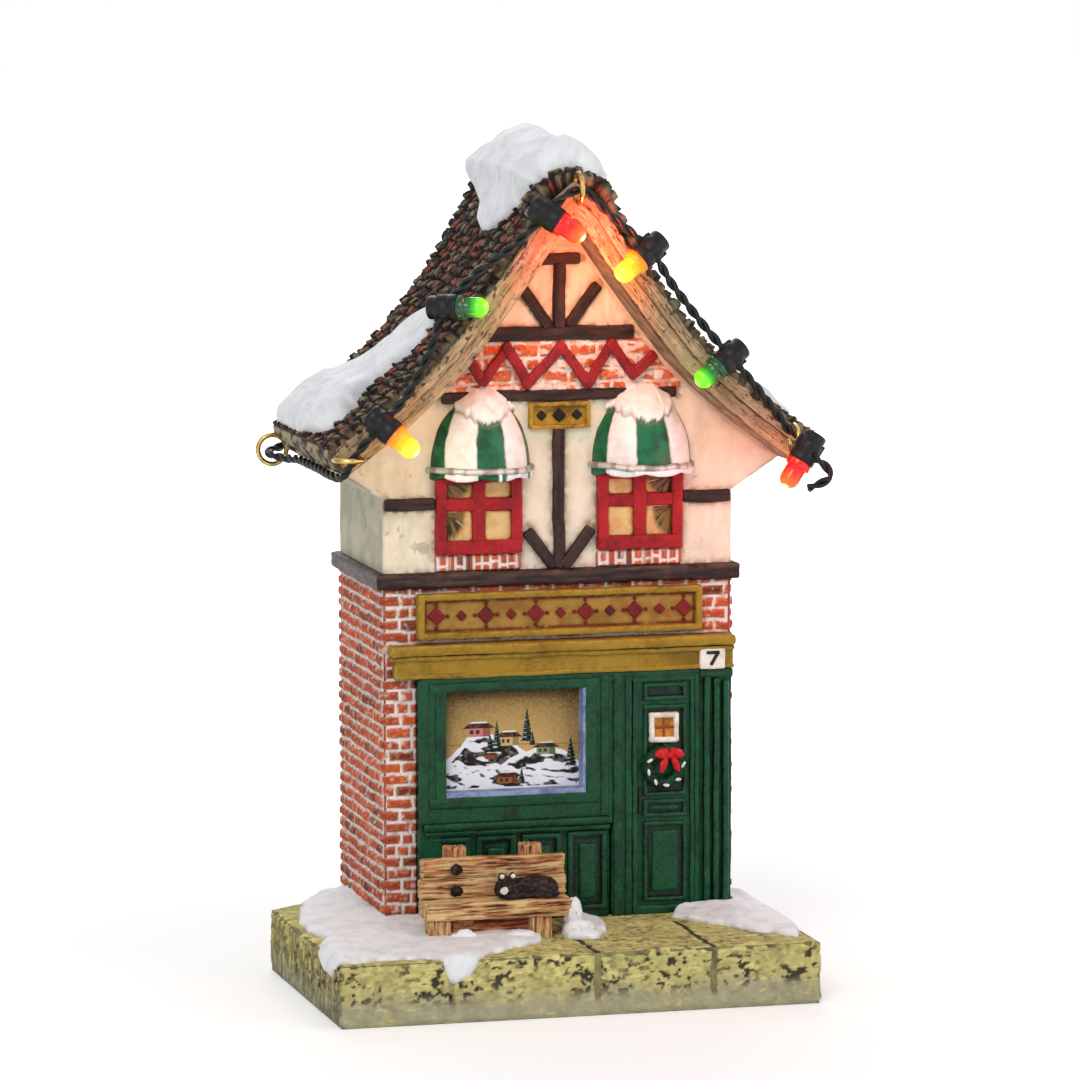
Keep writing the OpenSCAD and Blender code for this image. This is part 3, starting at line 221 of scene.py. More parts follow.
def lattice(lo, hi, r, size):
    """A rounded box: points, quads, normals, and 1 along its edges"""
    lo, hi = np.asarray(lo, float), np.asarray(hi, float)
    size = np.broadcast_to(np.asarray(size, float), (3,))
    dim = hi - lo
    r = min(r, dim.min() / 2 * 0.96)
    c = [cuts(dim[a], r, size[a]) for a in range(3)]
    n = [len(x) for x in c]
    I, J, K = np.meshgrid(*[np.arange(x) for x in n], indexing="ij")
    face = (I == 0) | (I == n[0] - 1) | (J == 0) | (J == n[1] - 1) | (K == 0) | (K == n[2] - 1)
    idx = -np.ones(n, np.int64)
    ijk = np.argwhere(face)
    idx[face] = np.arange(len(ijk))
    p = np.stack([c[a][ijk[:, a]] for a in range(3)], 1)
    q = np.clip(p, r, dim - r)
    nrm = unit(p - q)
    edge = 1 - np.abs(nrm).max(1)
    quads = []
    for axis in range(3):
        for end in (0, n[axis] - 1):
            f = np.take(idx, end, axis=axis)
            a = np.stack([f[:-1, :-1], f[1:, :-1], f[1:, 1:], f[:-1, 1:]], -1).reshape(-1, 4)
            if (end == 0) == (axis != 1):
                a = a[:, ::-1]
            quads.append(a)
    return q + nrm * r + lo, np.concatenate(quads), nrm, edge / 0.42


def place(co, m):
    """points moved by a matrix"""
    m = np.asarray(m, float)
    return co @ m[:3, :3].T + m[:3, 3]


def painted(co, color, dark, edge, seed, blotch=2.2, wear=0.35, light=None):
    """Brushed paint: blotches of the dark wash, worn lighter edges"""
    n = fbm(co / blotch, 3, seed)
    f = fbm(co / 0.35, 2, seed + 9)
    t = mix(lin(dark), lin(color), step(0.25, 0.62, 0.65 * n + 0.35 * f))
    light = lin(light) if light is not None else np.clip(lin(color) * 1.6 + 0.02, 0, 1)
    return mix(t, light, np.clip(edge, 0, 1) * wear * step(0.35, 0.6, f))


def bar(parts, lo, hi, color, dark, r=0.25, size=0.5, rough=0.05, warp=0.12, seed=0, grain=None,
        matrix=None, wear=0.35, light=None, tint=None, blotch=2.2):
    """One hand-made bar: a rounded box with uneven faces and brushed paint"""
    co, quads, nrm, edge = lattice(lo, hi, r, size)
    s = np.full(3, 1.1)
    if grain is not None:
        s = np.full(3, 0.32)
        s[grain] = 6.0
    d = fbm(co / s, 3, seed + 1) - 0.5
    w = np.stack([fbm(co / 4.5, 2, seed + 20 + k) - 0.5 for k in range(3)], 1)
    out = co + nrm * (d * 2 * rough)[:, None] + w * 2 * warp
    if tint is None:
        t = painted(co, color, dark, edge, seed, wear=wear, light=light, blotch=blotch)
        if grain is not None:
            t = mix(lin(dark), t, step(-0.16, 0.06, d))
    else:
        t = tint(co, d, edge)
    if matrix is not None:
        out = place(out, matrix)
    parts.add(out, [quads], t)


def bar_frame(a, b, back):
    """Matrix of a bar from a to b in the front view, with x along it and y into the wall"""
    d = np.array([b[0] - a[0], b[1] - a[1]])
    length = float(np.linalg.norm(d))
    ux, uz = d / length
    m = np.eye(4)
    m[:3, 0] = (ux, 0, uz)
    m[:3, 1] = (0, 1, 0)
    m[:3, 2] = (-uz, 0, ux)
    m[:3, 3] = (a[0], back, a[1])
    return m, length


def turned(x, y, z, angle):
    """matrix of a piece turned in the front view"""
    m = np.eye(4)
    c, s = math.cos(angle), math.sin(angle)
    m[:3, :3] = [[c, 0, -s], [0, 1, 0], [s, 0, c]]
    m[:3, 3] = (x, y, z)
    return m


def blob(parts, at, half, seed, color, tilt=0.0, rough=0.1, detail=14):
    """a rounded lump: half sizes in x, y, z, turned by tilt in the front view, with painted shade on its back
    and in its dents and a painted highlight where it bulges
    """
    th = np.linspace(0.02, np.pi - 0.02, detail)
    ph = np.linspace(0, 2 * np.pi, detail * 2 + 1)[:-1]
    T, F = np.meshgrid(th, ph, indexing="ij")
    n = np.stack([np.sin(T) * np.cos(F), np.cos(T), np.sin(T) * np.sin(F)], -1)
    p = n * np.asarray(half, float)
    d = 1 + rough * (fbm(p / 0.5 + seed, 3, seed) - 0.5) * 2
    p = place((p * d[..., None]).reshape(-1, 3), turned(*at, tilt)).reshape(p.shape)
    # painted shade: darker toward the wall and in the dents
    c = mix(lin(color["dark"]), lin(color["color"]), step(-0.1, 0.5, d - 1 + 0.3 - 0.3 * n[..., 1]))
    # painted highlight where the lump bulges
    c = mix(c, lin(color["light"]), 0.5 * step(0.02, 0.1, d - 1))
    parts.add(p, capped(*T.shape, flip=False), c)


# Materials
def settings(node, values):
    """sets a node's inputs by name"""
    for key, value in values.items():
        node.inputs[key].default_value = value
    return node


def shader(name, rough, rough_var, bump, grain, tone, spec=0.5, coat=0.0, metallic=0.0,
           color=None, dark=None, blotch=2.5):
    """A painted or moulded surface: colour from the piece's tint, or from two mixed colours,
    varied by noise, with its own roughness spread and fine relief."""
    m = bpy.data.materials.new(name)
    m.use_nodes = True
    nt = m.node_tree
    add, link = nt.nodes.new, nt.links.new
    b = settings(nt.nodes["Principled BSDF"],
                 {"Metallic": metallic, "Coat Weight": coat, "Coat Roughness": 0.25,
                                               "Specular IOR Level": spec})
    where = add("ShaderNodeTexCoord").outputs["Object"]

    def noise(size, detail=4.0, roughness=0.6):
        n = settings(add("ShaderNodeTexNoise"),
                     {"Scale": 1000.0 / size, "Detail": detail, "Roughness": roughness})
        link(where, n.inputs["Vector"])
        return n.outputs["Fac"]

    def spread(src, lo, hi, a=0.3, c=0.7):
        r = settings(add("ShaderNodeMapRange"), {"From Min": a, "From Max": c, "To Min": lo, "To Max": hi})
        link(src, r.inputs["Value"])
        return r.outputs["Result"]

    if color is None:
        at = add("ShaderNodeAttribute")
        at.attribute_name = "tint"
        base = at.outputs["Color"]
    else:
        # a colour mix: input 0 is its share, 6 and 7 are its colours, and output 2 is the result
        mx = add("ShaderNodeMix")
        mx.data_type = "RGBA"
        mx.inputs[6].default_value = (*lin(dark), 1)
        mx.inputs[7].default_value = (*lin(color), 1)
        link(spread(noise(blotch), 0, 1, 0.35, 0.62), mx.inputs[0])
        base = mx.outputs[2]
    hs = add("ShaderNodeHueSaturation")
    link(spread(noise(grain * 3), 1 - tone, 1 + tone), hs.inputs["Value"])
    link(base, hs.inputs["Color"])
    link(hs.outputs["Color"], b.inputs["Base Color"])
    link(spread(noise(grain * 2.2), rough - rough_var, rough + rough_var), b.inputs["Roughness"])
    bp = settings(add("ShaderNodeBump"), {"Strength": 0.8, "Distance": bump * MM})
    link(noise(grain, 5.0, 0.65), bp.inputs["Height"])
    link(bp.outputs["Normal"], b.inputs["Normal"])
    return m


# roughness, its spread, bump and grain in mm, spread of tone, then specular, coat and metallic shares
SURFACES = {
    "stone": (0.8, 0.1, 0.35, 0.55, 0.16, 0.12),
    "snow": (0.62, 0.1, 0.22, 0.8, 0.03, 0.25),
    "brick": (0.74, 0.1, 0.22, 0.4, 0.12, 0.12),
    "plaster": (0.68, 0.1, 0.18, 0.7, 0.04, 0.15),
    "timber": (0.46, 0.12, 0.22, 0.45, 0.18, 0.2),
    "green": (0.36, 0.1, 0.2, 0.55, 0.14, 0.22, 0.06),
    "ochre": (0.5, 0.12, 0.2, 0.5, 0.1, 0.15),
    "red": (0.42, 0.1, 0.18, 0.5, 0.1, 0.2, 0.04),
    "wood": (0.68, 0.1, 0.25, 0.35, 0.12, 0.12),
    "shingle": (0.62, 0.14, 0.35, 0.4, 0.18, 0.15),
    "awning": (0.38, 0.1, 0.1, 0.7, 0.05, 0.3, 0.08),
    "silver": (0.42, 0.1, 0.2, 0.4, 0.15, 0.5, 0.0, 0.55),
    "pane": (0.34, 0.1, 0.1, 0.8, 0.08, 0.25),
    "card": (0.55, 0.06, 0.04, 0.3, 0.04, 0.12),
    "white": (0.5, 0.1, 0.15, 0.5, 0.05, 0.25),
    "fur": (0.5, 0.12, 0.3, 0.3, 0.25, 0.2),
    "leaf": (0.5, 0.12, 0.2, 0.3, 0.2, 0.2),
    "cable": (0.4, 0.08, 0.05, 0.5, 0.2, 0.25),
}
MAT = {name: shader(name, *row) for name, row in SURFACES.items()}
# for the CAD nodes that stay visible: the same numbers, two colours and the size of their blotches in mm
CAD_SURFACES = {
    "holder": ((0.38, 0.08, 0.08, 0.4, 0.2, 0.3), (20, 20, 21), (9, 9, 10), 2.5),
    "box_plastic": ((0.42, 0.1, 0.12, 0.35, 0.15), (30, 30, 32), (18, 18, 20), 2.5),
    "steel_cells": ((0.28, 0.08, 0.05, 0.5, 0.08, 0.5, 0.0, 1.0), (205, 206, 208), (160, 162, 166), 5),
    "leaf_steel": ((0.32, 0.08, 0.05, 0.4, 0.08, 0.5, 0.0, 1.0), (198, 186, 150), (160, 148, 112), 4),
    "brass_wire": ((0.26, 0.07, 0.05, 0.4, 0.12, 0.5, 0.0, 1.0), (214, 186, 112), (150, 120, 62), 1.4),
    "inner_stone": ((0.8, 0.1, 0.3, 0.6, 0.14, 0.25), (150, 142, 98), (96, 92, 70), 3),
    "inner_brick": ((0.75, 0.1, 0.2, 0.6, 0.12, 0.25), (176, 92, 66), (120, 58, 44), 3),
    "inner_plaster": ((0.7, 0.1, 0.2, 0.8, 0.05, 0.3), (222, 212, 188), (196, 184, 158), 4),
    "inner_roof": ((0.75, 0.1, 0.3, 0.5, 0.16, 0.3), (176, 150, 122), (126, 102, 82), 3),
}
CAD = {name: shader(name, *row, color=color, dark=dark, blotch=blotch)
       for name, (row, color, dark, blotch) in CAD_SURFACES.items()}


def dress(node, material):
    """gives a CAD node one of the CAD materials"""
    o = nodes[node]
    o.data.materials.clear()
    o.data.materials.append(CAD[material])


# Camera
def aimed(name, data, at, way):
    """a camera or light at a place, looking along way"""
    o = bpy.data.objects.new(name, data)
    o.location = at
    o.rotation_mode = "QUATERNION"
    o.rotation_quaternion = way.to_track_quat("-Z", "Y")
    scene.collection.objects.link(o)
    return o


def place_camera():
    """the photograph's own view"""
    turn, tilt = math.radians(-15.46), math.radians(7.37)
    back_way = Vector((math.sin(turn) * math.cos(tilt), -math.cos(turn) * math.cos(tilt), math.sin(tilt)))
    cam = aimed("camera", bpy.data.cameras.new("camera"), (-0.22854, -0.85170, 0.17541), -back_way)
    cam.data.lens = 199.26
    cam.data.sensor_width = 36
    cam.data.shift_x, cam.data.shift_y = -0.0339, 0.0306
    cam.data.clip_start, cam.data.clip_end = 0.05, 20
    scene.camera = cam
    scene.view_settings.view_transform = "Standard"


place_camera()

# Light string: the lead's route, which of its points carry a lamp, where each lamp looks, and its colour
ROUTE = [[-14, 28.3, 80], [-14, 29.3, 80], [-14, 30.3, 80], [-16, 31.8, 80], [-21, 32, 79.8],
         [-27, 31.2, 79.2], [-32, 29, 78], [-34, 26, 77.6], [-32.6, 22, 77.2], [-31.6, 17, 77.5],
         [-31.5, 10, 77.5], [-31.5, 3, 77.5], [-31.6, -4, 77.4], [-31.2, -9.5, 77.6],
         [-30.4, -12.1, 79.6], [-29, -12.6, 82], [-25.8, -13, 85.5], [-22, -12, 89.4],
         [-19.8, -11.6, 92.8], [-17.6, -11.4, 97.4], [-15.8, -10.8, 102.2], [-11.4, -11.6, 107],
         [-6, -11.8, 110.8], [-1.2, -13.2, 115.7], [4.1, -12.2, 119], [9, -12.6, 115],
         [14.4, -13.5, 110.2], [18, -12.8, 105], [22.4, -12.8, 99.4], [26.7, -13.5, 94.2],
         [30.4, -12.8, 90.2], [34.4, -12.6, 85.2], [36.6, -12, 82.6], [38.3, -12.5, 82],
         [38.9, -14.6, 81.3], [37.7, -16.8, 80.6], [38.2, -18.8, 79.4], [40, -18.8, 78],
         [40.6, -18, 76.2], [37.6, -17.4, 74.8]]
STOPS = [16, 20, 23, 26, 29, 35]
AIMS = [[4.7, -2.4, -4.3], [5.6, -4, 0.2], [4.7, -2, -3.3], [-6, -1, -4.8], [-5.7, -1, -4.1],
        [-3.7, -0.5, -5.5]]
KINDS = ["amber", "green", "red", "amber", "green", "red"]
LEAD_D, TWIST, LEAD_STEP = 1.4, 5.2, 0.42
# radius and height along the lamp's own axis; the lamp's rim sits at the height CAP_TOP
CAP = [(0.9, -2.5), (1.55, -2.5), (1.72, -2.35), (1.76, -1.9), (1.78, -1.1), (1.98, -0.95), (2.0, -0.7),
       (2.0, 0.5), (1.94, 0.62), (1.94, 0.78), (2.0, 0.9), (2.02, 1.9), (1.97, 2.12), (1.85, 2.25),
       (1.6, 2.25)]
CAP_TOP = 2.25
LAMP_RIM = [(1.2, 0.0), (1.88, 0.0), (1.9, 0.1), (1.9, 0.85), (1.84, 0.97), (1.6, 1.0), (1.5, 1.1),
            (1.5, 2.0)]
# each kind of lamp: colours from rim to tip, heights between which it brightens, strength, then the colour
# and the watts of the light it throws
LAMPS = {
    "amber": (((250, 110, 0), (255, 184, 0), (255, 232, 60)), (-0.8, 3.6), 0.85, (1.0, 0.62, 0.12), 0.003),
    "green": (((6, 74, 34), (34, 176, 16), (120, 246, 30)), (1.4, 3.4), 0.7, (0.2, 1.0, 0.25), 0.0005),
    "red": (((214, 8, 6), (250, 24, 12), (255, 96, 24)), (-0.8, 3.6), 0.75, (1.0, 0.1, 0.05), 0.0068),
}


def smooth_route(p, steps):
    """a smooth line through the points, with so many steps between each two"""
    p = np.asarray(p, float)
    out = []
    for i in range(len(p) - 1):
        a, b, c, d = p[max(i - 1, 0)], p[i], p[i + 1], p[min(i + 2, len(p) - 1)]
        for s in np.arange(steps) / steps:
            out.append(0.5 * (2 * b + (c - a) * s + (2 * a - 5 * b + 4 * c - d) * s * s
                              + (3 * b - 3 * c + d - a) * s**3))
    out.append(p[-1])
    return np.array(out)


def carried(p):
    """tangents and side vectors carried along a path without twist"""
    t = unit(np.gradient(p, axis=0))
    u = np.zeros_like(p)
    v = np.array([0.0, 0.0, 1.0])
    for i in range(len(p)):
        v = v - (v @ t[i]) * t[i]
        v = v / np.linalg.norm(v)
        u[i] = v
    return t, u, np.cross(t, u)


def round_about(sides, u, w):
    """a ring of directions between two side vectors"""
    a = 2 * np.pi * np.arange(sides) / sides
    return np.cos(a)[None, :, None] * u + np.sin(a)[None, :, None] * w


def tube(parts, p, r, sides, tint):
    """a round tube of radius r along the path p"""
    p = np.asarray(p, float)
    t, u, w = carried(p)
    r = np.broadcast_to(np.asarray(r, float).reshape(-1, 1, 1), (len(p), 1, 1))
    parts.add(p[:, None] + r * round_about(sides, u[:, None], w[:, None]), capped(len(p), sides), tint)


def lathe(parts, prof, origin, axis, sides, tint, glow=0.0):
    """a turned piece: profile of (radius, height) along an axis from origin"""
    z = unit(axis)
    x = unit(np.cross(z, [0.31, 0.95, 0.05]))
    prof = np.asarray(prof, float)
    around = round_about(sides, x, np.cross(z, x))
    co = np.asarray(origin) + prof[:, None, 1:2] * z + prof[:, None, 0:1] * around
    parts.add(co, capped(len(prof), sides), tint, glow)


def lead_line():
    """the lead's middle line in even steps, and the distance along it"""
    line = smooth_route(ROUTE, 12)
    run = distance(line)
    even = np.linspace(0, run[-1], int(run[-1] / LEAD_STEP))
    return np.stack([np.interp(even, run, line[:, a]) for a in range(3)], 1), even


def light_lead(line, even):
    """two insulated strands twisted round the line"""
    p = Parts()
    t, u, w = carried(line)
    strand_r = LEAD_D * 0.262
    off = (LEAD_D / 2 - strand_r) * np.minimum(1, (even + 0.6) / 2.0)
    for k in (0, 1):
        ang = 2 * np.pi * even / TWIST + np.pi * k
        path = line + off[:, None] * (np.cos(ang)[:, None] * u + np.sin(ang)[:, None] * w)
        shade = mix(lin((9, 13, 11)), lin((22, 28, 25)), fbm(path / 1.5, 2, 5 + k))
        tube(p, path, strand_r, 9, np.repeat(shade, 9, 0))
    return p.obj("light_lead", MAT["cable"], replaces=["light_cord"], slot="cord_green")


def bulb_cap(parts, k, at, way):
    """a cap with a stepped rim, and a flat saddle on either side of it"""
    sides = 28
    cloudy = fbm(np.repeat(np.array(CAP), sides, 0)[:, [0, 1, 1]] * 2 + k, 2, k)
    lathe(parts, CAP, at, way, sides, mix(lin((8, 8, 9)), lin((20, 20, 21)), cloudy))
    side = unit(np.cross(way, [0, -1, 0.2]))
    for s in (-1, 1):
        m = np.eye(4)
        m[:3, 0], m[:3, 2] = way, side * s
        m[:3, 1] = np.cross(m[:3, 2], m[:3, 0])
        m[:3, 3] = at
        bar(parts, (-1.5, -0.55, 1.55), (0.4, 0.55, 2.12), (20, 20, 21), (9, 9, 10), r=0.14, size=0.4,
            rough=0.01, warp=0.0, seed=k, matrix=m)


def lamp(parts, kind, at, way):
    """a round-topped lamp on a rim, brighter toward its tip"""
    colors, (dim_to, bright_from) = LAMPS[kind][:2]
    low, middle, high = [lin(c) for c in colors]
    sides = 24
    prof = LAMP_RIM + [(1.5 * math.cos(a), 2.9 + 1.5 * math.sin(a))
                       for a in np.radians(np.linspace(0, 86, 9))]
    bright = step(dim_to, bright_from, np.array([height for radius, height in prof]))
    tint = mix(mix(low, middle, step(0, 0.6, bright)), high, step(0.75, 1.1, bright))
    lathe(parts, prof, at + way * CAP_TOP, way, sides, np.repeat(tint, sides, 0),
          np.repeat(0.25 + 0.75 * bright, sides))


def lamp_shader(name, strength):
    """dyed clear resin with a lit chip inside"""
    m = shader(name, 0.16, 0.05, 0.03, 0.8, 0.04, spec=0.35, coat=0.3)
    nt = m.node_tree
    b = nt.nodes["Principled BSDF"]
    tint, glow = [nt.nodes.new("ShaderNodeAttribute") for _ in range(2)]
    tint.attribute_name, glow.attribute_name = "tint", "glow"
    power = nt.nodes.new("ShaderNodeMath")
    power.operation = "MULTIPLY"
    power.inputs[1].default_value = strength
    nt.links.new(glow.outputs["Fac"], power.inputs[0])
    nt.links.new(tint.outputs["Color"], b.inputs["Emission Color"])
    nt.links.new(power.outputs[0], b.inputs["Emission Strength"])
    return m


def lamp_glow(k, at, way, kind):
    """the light that a lamp throws on what is near it; the one at the peak has more snow to light"""
    color, watts = LAMPS[kind][3:]
    light = bpy.data.lights.new(f"glow_{k}", "POINT")
    light.color, light.energy, light.shadow_soft_size = color, watts * (2.6 if k == 2 else 1.0), 0.0012
    o = bpy.data.objects.new(f"glow_{k}", light)
    o.location = (at + way * (CAP_TOP + 3.2 + 1.9)) * MM
    scene.collection.objects.link(o)


def light_string():
    """the twisted lead with its six capped lamps"""
    line, even = lead_line()
    cable = light_lead(line, even)
    caps = Parts()
    lamps = {kind: Parts() for kind in LAMPS}
    for k, (stop, aim, kind) in enumerate(zip(STOPS, AIMS, KINDS)):
        at, way = np.array(ROUTE[stop], float), unit(aim)
        bulb_cap(caps, k, at, way)
        lamp(lamps[kind], kind, at, way)
        lamp_glow(k, at, way, kind)
    holders = caps.obj("bulb_caps", MAT["cable"], replaces=["bulb_holders"], slot="holder_black")
    lamp_objs = [lamps[kind].obj(f"bulbs_{kind}", lamp_shader(f"lamp_{kind}", LAMPS[kind][2]),
                                 [f"lamps_{kind}"], f"lamp_{kind}", glow=True) for kind in LAMPS]


light_string()


# World, lights and floor
def seen_directly(nt):
    """1 for what the camera, a reflection or a clear piece sees, and 0 for what lights the house"""
    rays = nt.nodes.new("ShaderNodeLightPath")
    out = rays.outputs["Is Camera Ray"]
    for kind in ("Is Glossy Ray", "Is Transmission Ray"):
        either = nt.nodes.new("ShaderNodeMath")
        either.operation = "MAXIMUM"
        nt.links.new(out, either.inputs[0])
        nt.links.new(rays.outputs[kind], either.inputs[1])
        out = either.outputs[0]
    return out


def white_world():
    """white to look at, and half as strong as a light"""
    world = bpy.data.worlds.new("studio")
    scene.world = world
    world.use_nodes = True
    nt = world.node_tree
    back = settings(nt.nodes["Background"], {"Color": (1, 1, 1, 1)})
    strength = settings(nt.nodes.new("ShaderNodeMapRange"), {"To Min": 0.5, "To Max": 1.0})
    nt.links.new(seen_directly(nt), strength.inputs["Value"])
    nt.links.new(strength.outputs["Result"], back.inputs["Strength"])


def area(name, at, size, watts):
    """a round soft light that looks at the middle of the house"""
    light = bpy.data.lights.new(name, "AREA")
    light.shape, light.size, light.energy = "DISK", size, watts
    aimed(name, light, at, Vector((0.004, 0, 0.06)) - Vector(at))


def white_floor():
    """a matt floor that turns into the white world away from the house"""
    me = bpy.data.meshes.new("floor")
    half = 3.0
    me.from_pydata([(-half, -half, 0), (half, -half, 0), (half, half, 0), (-half, half, 0)], [],
                   [(0, 1, 2, 3)])
    floor = bpy.data.objects.new("floor", me)
    floor.location = (0, 0, -0.00002)
    scene.collection.objects.link(floor)
    m = bpy.data.materials.new("floor")
    m.use_nodes = True
    nt = m.node_tree
    b = settings(nt.nodes["Principled BSDF"], {"Base Color": (0.86, 0.86, 0.86, 1), "Roughness": 0.9,
                                               "Specular IOR Level": 0.1, "Emission Color": (1, 1, 1, 1)})
    away = nt.nodes.new("ShaderNodeVectorMath")
    away.operation = "LENGTH"
    nt.links.new(nt.nodes.new("ShaderNodeTexCoord").outputs["Object"], away.inputs[0])
    lift = settings(nt.nodes.new("ShaderNodeMapRange"), {"From Min": 0.06, "From Max": 0.3, "To Min": 0.3,
                                                         "To Max": 1.0})
    lift.interpolation_type = "SMOOTHSTEP"
    nt.links.new(away.outputs["Value"], lift.inputs["Value"])
    strength = nt.nodes.new("ShaderNodeMath")
    strength.operation = "MULTIPLY"
    nt.links.new(seen_directly(nt), strength.inputs[0])
    nt.links.new(lift.outputs["Result"], strength.inputs[1])
    nt.links.new(strength.outputs[0], b.inputs["Emission Strength"])
    me.materials.append(m)


white_world()
area("key", (-0.45, -0.75, 0.62), 0.45, 3.4)
area("fill", (0.62, -0.6, 0.3), 0.5, 1.5)
area("rear", (0.1, 0.75, 0.55), 0.5, 2.0)
white_floor()


# Sizes from the CAD, mm
FRONT, BACK, LEFT, RIGHT, XC = -0.3, 27.5, -22.65, 30.85, 4.1
BASE_H, LEDGE_TOP, BRICK_TOP, COURSE_TOP, WINDOW_FOOT = 9.1, 51.45, 59.7, 62.0, 64.6
FLARE_Z, EAVE_Z, EAVE_X, PLASTER_TOP = 73.0, 77.8, 34.2, 110.0
FRIEZE_Z, FRIEZE_TOP, BEAM_TOP, COLLAR_Z, PLAQUE_Z = 88.737, 96.037, 98.237, 107.374, 82.937
ROOF_F, ROOF_B, ROOF_RISE, ROOF_T, BOARD_H = -7.9, 28.0, 37.2, 4.6, 4.1
WINDOWS, AWNINGS = (-8.3, 16.5), (-7.9, 16.9)
WINDOW_HALF, WINDOW_MID, SIDE_TIMBER_Z = 6.6, 69.0, 72.2
FLOOR_Z, POST_L, POST_R, COLUMN_L = 9.12, -17.8, 15.15, 25.65
BASE = [(-36, -29), (36, -29), (36, 29), (-20, 29), (-36, 17.2)]


def rounded_path(points, r, size, closed=True):
    """even points round a polygon with rounded corners: places, outward normals, distance"""
    pts = [np.array(p, float) for p in points]
    n = len(pts)
    fine = []
    for i in range(n):
        if not closed and i in (0, n - 1):
            fine.append(pts[i])
            continue
        a, b, c = pts[i - 1], pts[i], pts[(i + 1) % n]
        u, v = unit(a - b), unit(c - b)
        k = min(r, np.linalg.norm(a - b) / 2, np.linalg.norm(c - b) / 2)
        for s in np.linspace(0, 1, 7):
            p, q = b + u * k * (1 - s), b + v * k * s
            fine.append(p * (1 - s) + q * s)
    if closed:
        fine.append(fine[0])
    fine = np.array(fine)
    run = distance(fine)
    m = max(8, int(round(run[-1] / size)))
    s = np.linspace(0, run[-1], m + (0 if closed else 1), endpoint=not closed)
    xy = np.stack([np.interp(s, run, fine[:, k]) for k in (0, 1)], 1)
    h = size * 0.6
    wrap = (lambda q: q % run[-1]) if closed else (lambda q: np.clip(q, 0, run[-1]))
    f = np.stack([np.interp(wrap(s + h), run, fine[:, k]) for k in (0, 1)], 1)
    g = np.stack([np.interp(wrap(s - h), run, fine[:, k]) for k in (0, 1)], 1)
    t = unit(f - g)
    return xy, np.stack([t[:, 1], -t[:, 0]], 1), s


# Brickwork
MORTAR, BRICK_A, BRICK_B = lin((240, 234, 228)), lin((212, 90, 48)), lin((166, 72, 46))
BRICK_HI, BRICK_DIRT = lin((236, 146, 104)), lin((84, 42, 36))


def brickwork(s, z, x, y, pitch=1.78, length=4.1, seed=1, joint=0.34, dark=0.0, depth=0.42):
    """height and colour of hand-cut brickwork at distance s along a wall and height z"""
    ws = s + 0.7 * (noise3(x, y, z, 2.6, 2, seed + 40) - 0.5)
    wz = z + 0.6 * (noise3(x, y, z, 3.1, 2, seed + 50) - 0.5)
    wz = wz + 0.2 * (noise3(x, y, z, 0.8, 2, seed + 55) - 0.5)
    row = np.floor(wz / pitch)
    fz = wz - row * pitch
    t = ws + (row % 2) * length / 2 + (rnd(row, 3, 0, seed) - 0.5) * 1.0
    col = np.floor(t / length)
    fs = t - col * length
    halved = rnd(row, col, 2, seed) < 0.3
    span = np.where(halved, length / 2, length)
    part = np.where(halved & (fs > length / 2), 1, 0)
    fs = fs - part * length / 2
    tone = rnd(row, col * 2 + part, 5, seed)
    d = np.minimum(np.minimum(fs, span - fs), np.minimum(fz, pitch - fz)) - joint / 2
    d = d + 0.16 * (noise3(x, y, z, 0.45, 2, seed + 60) - 0.5)
    body = step(0, 0.3, d)
    fine = noise3(x, y, z, 0.42, 3, seed + 70)
    h = body * (depth * (0.72 + 0.4 * tone) + 0.2 * (fine - 0.5)) + (1 - body) * 0.14 * (fine - 0.5)
    patch = noise3(x, y, z, (7, 7, 5), 3, seed + 80)
    k = np.clip(0.25 + 0.75 * tone - 1.6 * step(0.5 - dark, 0.66 - dark, patch), 0, 1)
    c = mix(BRICK_B, BRICK_A, k)
    c = mix(c, BRICK_DIRT, 0.8 * (rnd(row, col * 2 + part, 8, seed) < 0.1 + dark))
    c = mix(c, BRICK_DIRT, 0.6 * step(0.64, 0.8, noise3(x, y, z, 1.3, 3, seed + 90)) * (1 - k * 0.6))
    c = mix(c, BRICK_HI, 0.55 * step(0.56, 0.72, fine) * body)
    edge = step(0.0, 0.3, d) * (1 - step(0.3, 0.55, d))
    c = mix(c, BRICK_HI, 0.18 * edge)
    c = mix(c, lin((236, 222, 212)), 0.6 * step(0.62, 0.74, noise3(x, y, z, 0.8, 3, seed + 92)))
    m = mix(MORTAR, lin((190, 140, 116)), 0.6 * step(0.54, 0.74, noise3(x, y, z, 1.1, 3, seed + 95)))
    return h, mix(m, c, step(0.0, 0.14, d))


def wall_skin(parts, xy, nrm, s, z0, z1, size, relief, closed, inset=0.35):
    """relief(s, z, x, y) -> height and colour, raised over the wall's path from z0 to z1"""
    z = np.linspace(z0, z1, max(2, int(round((z1 - z0) / size))) + 1)
    S, Z = np.meshgrid(s, z, indexing="ij")
    X = np.broadcast_to(xy[:, :1], S.shape)
    Y = np.broadcast_to(xy[:, 1:], S.shape)
    h, tint = relief(S, Z, X, Y)
    rim = np.minimum(step(z0, z0 + 0.3, Z), step(-z1, -z1 + 0.3, -Z))
    h = h * rim
    if not closed:
        h = h * np.minimum(step(s[0], s[0] + 0.25, S), step(-s[-1], -s[-1] + 0.25, -S))
    top = np.stack([X + nrm[:, :1] * (h + 0.03), Y + nrm[:, 1:] * (h + 0.03), Z], -1)
    b = xy - nrm * inset
    b0 = np.concatenate([b, np.full((len(b), 1), z0)], 1)
    b1 = np.concatenate([b, np.full((len(b), 1), z1)], 1)
    skin(parts, top, b0, b1, tint, closed=closed)


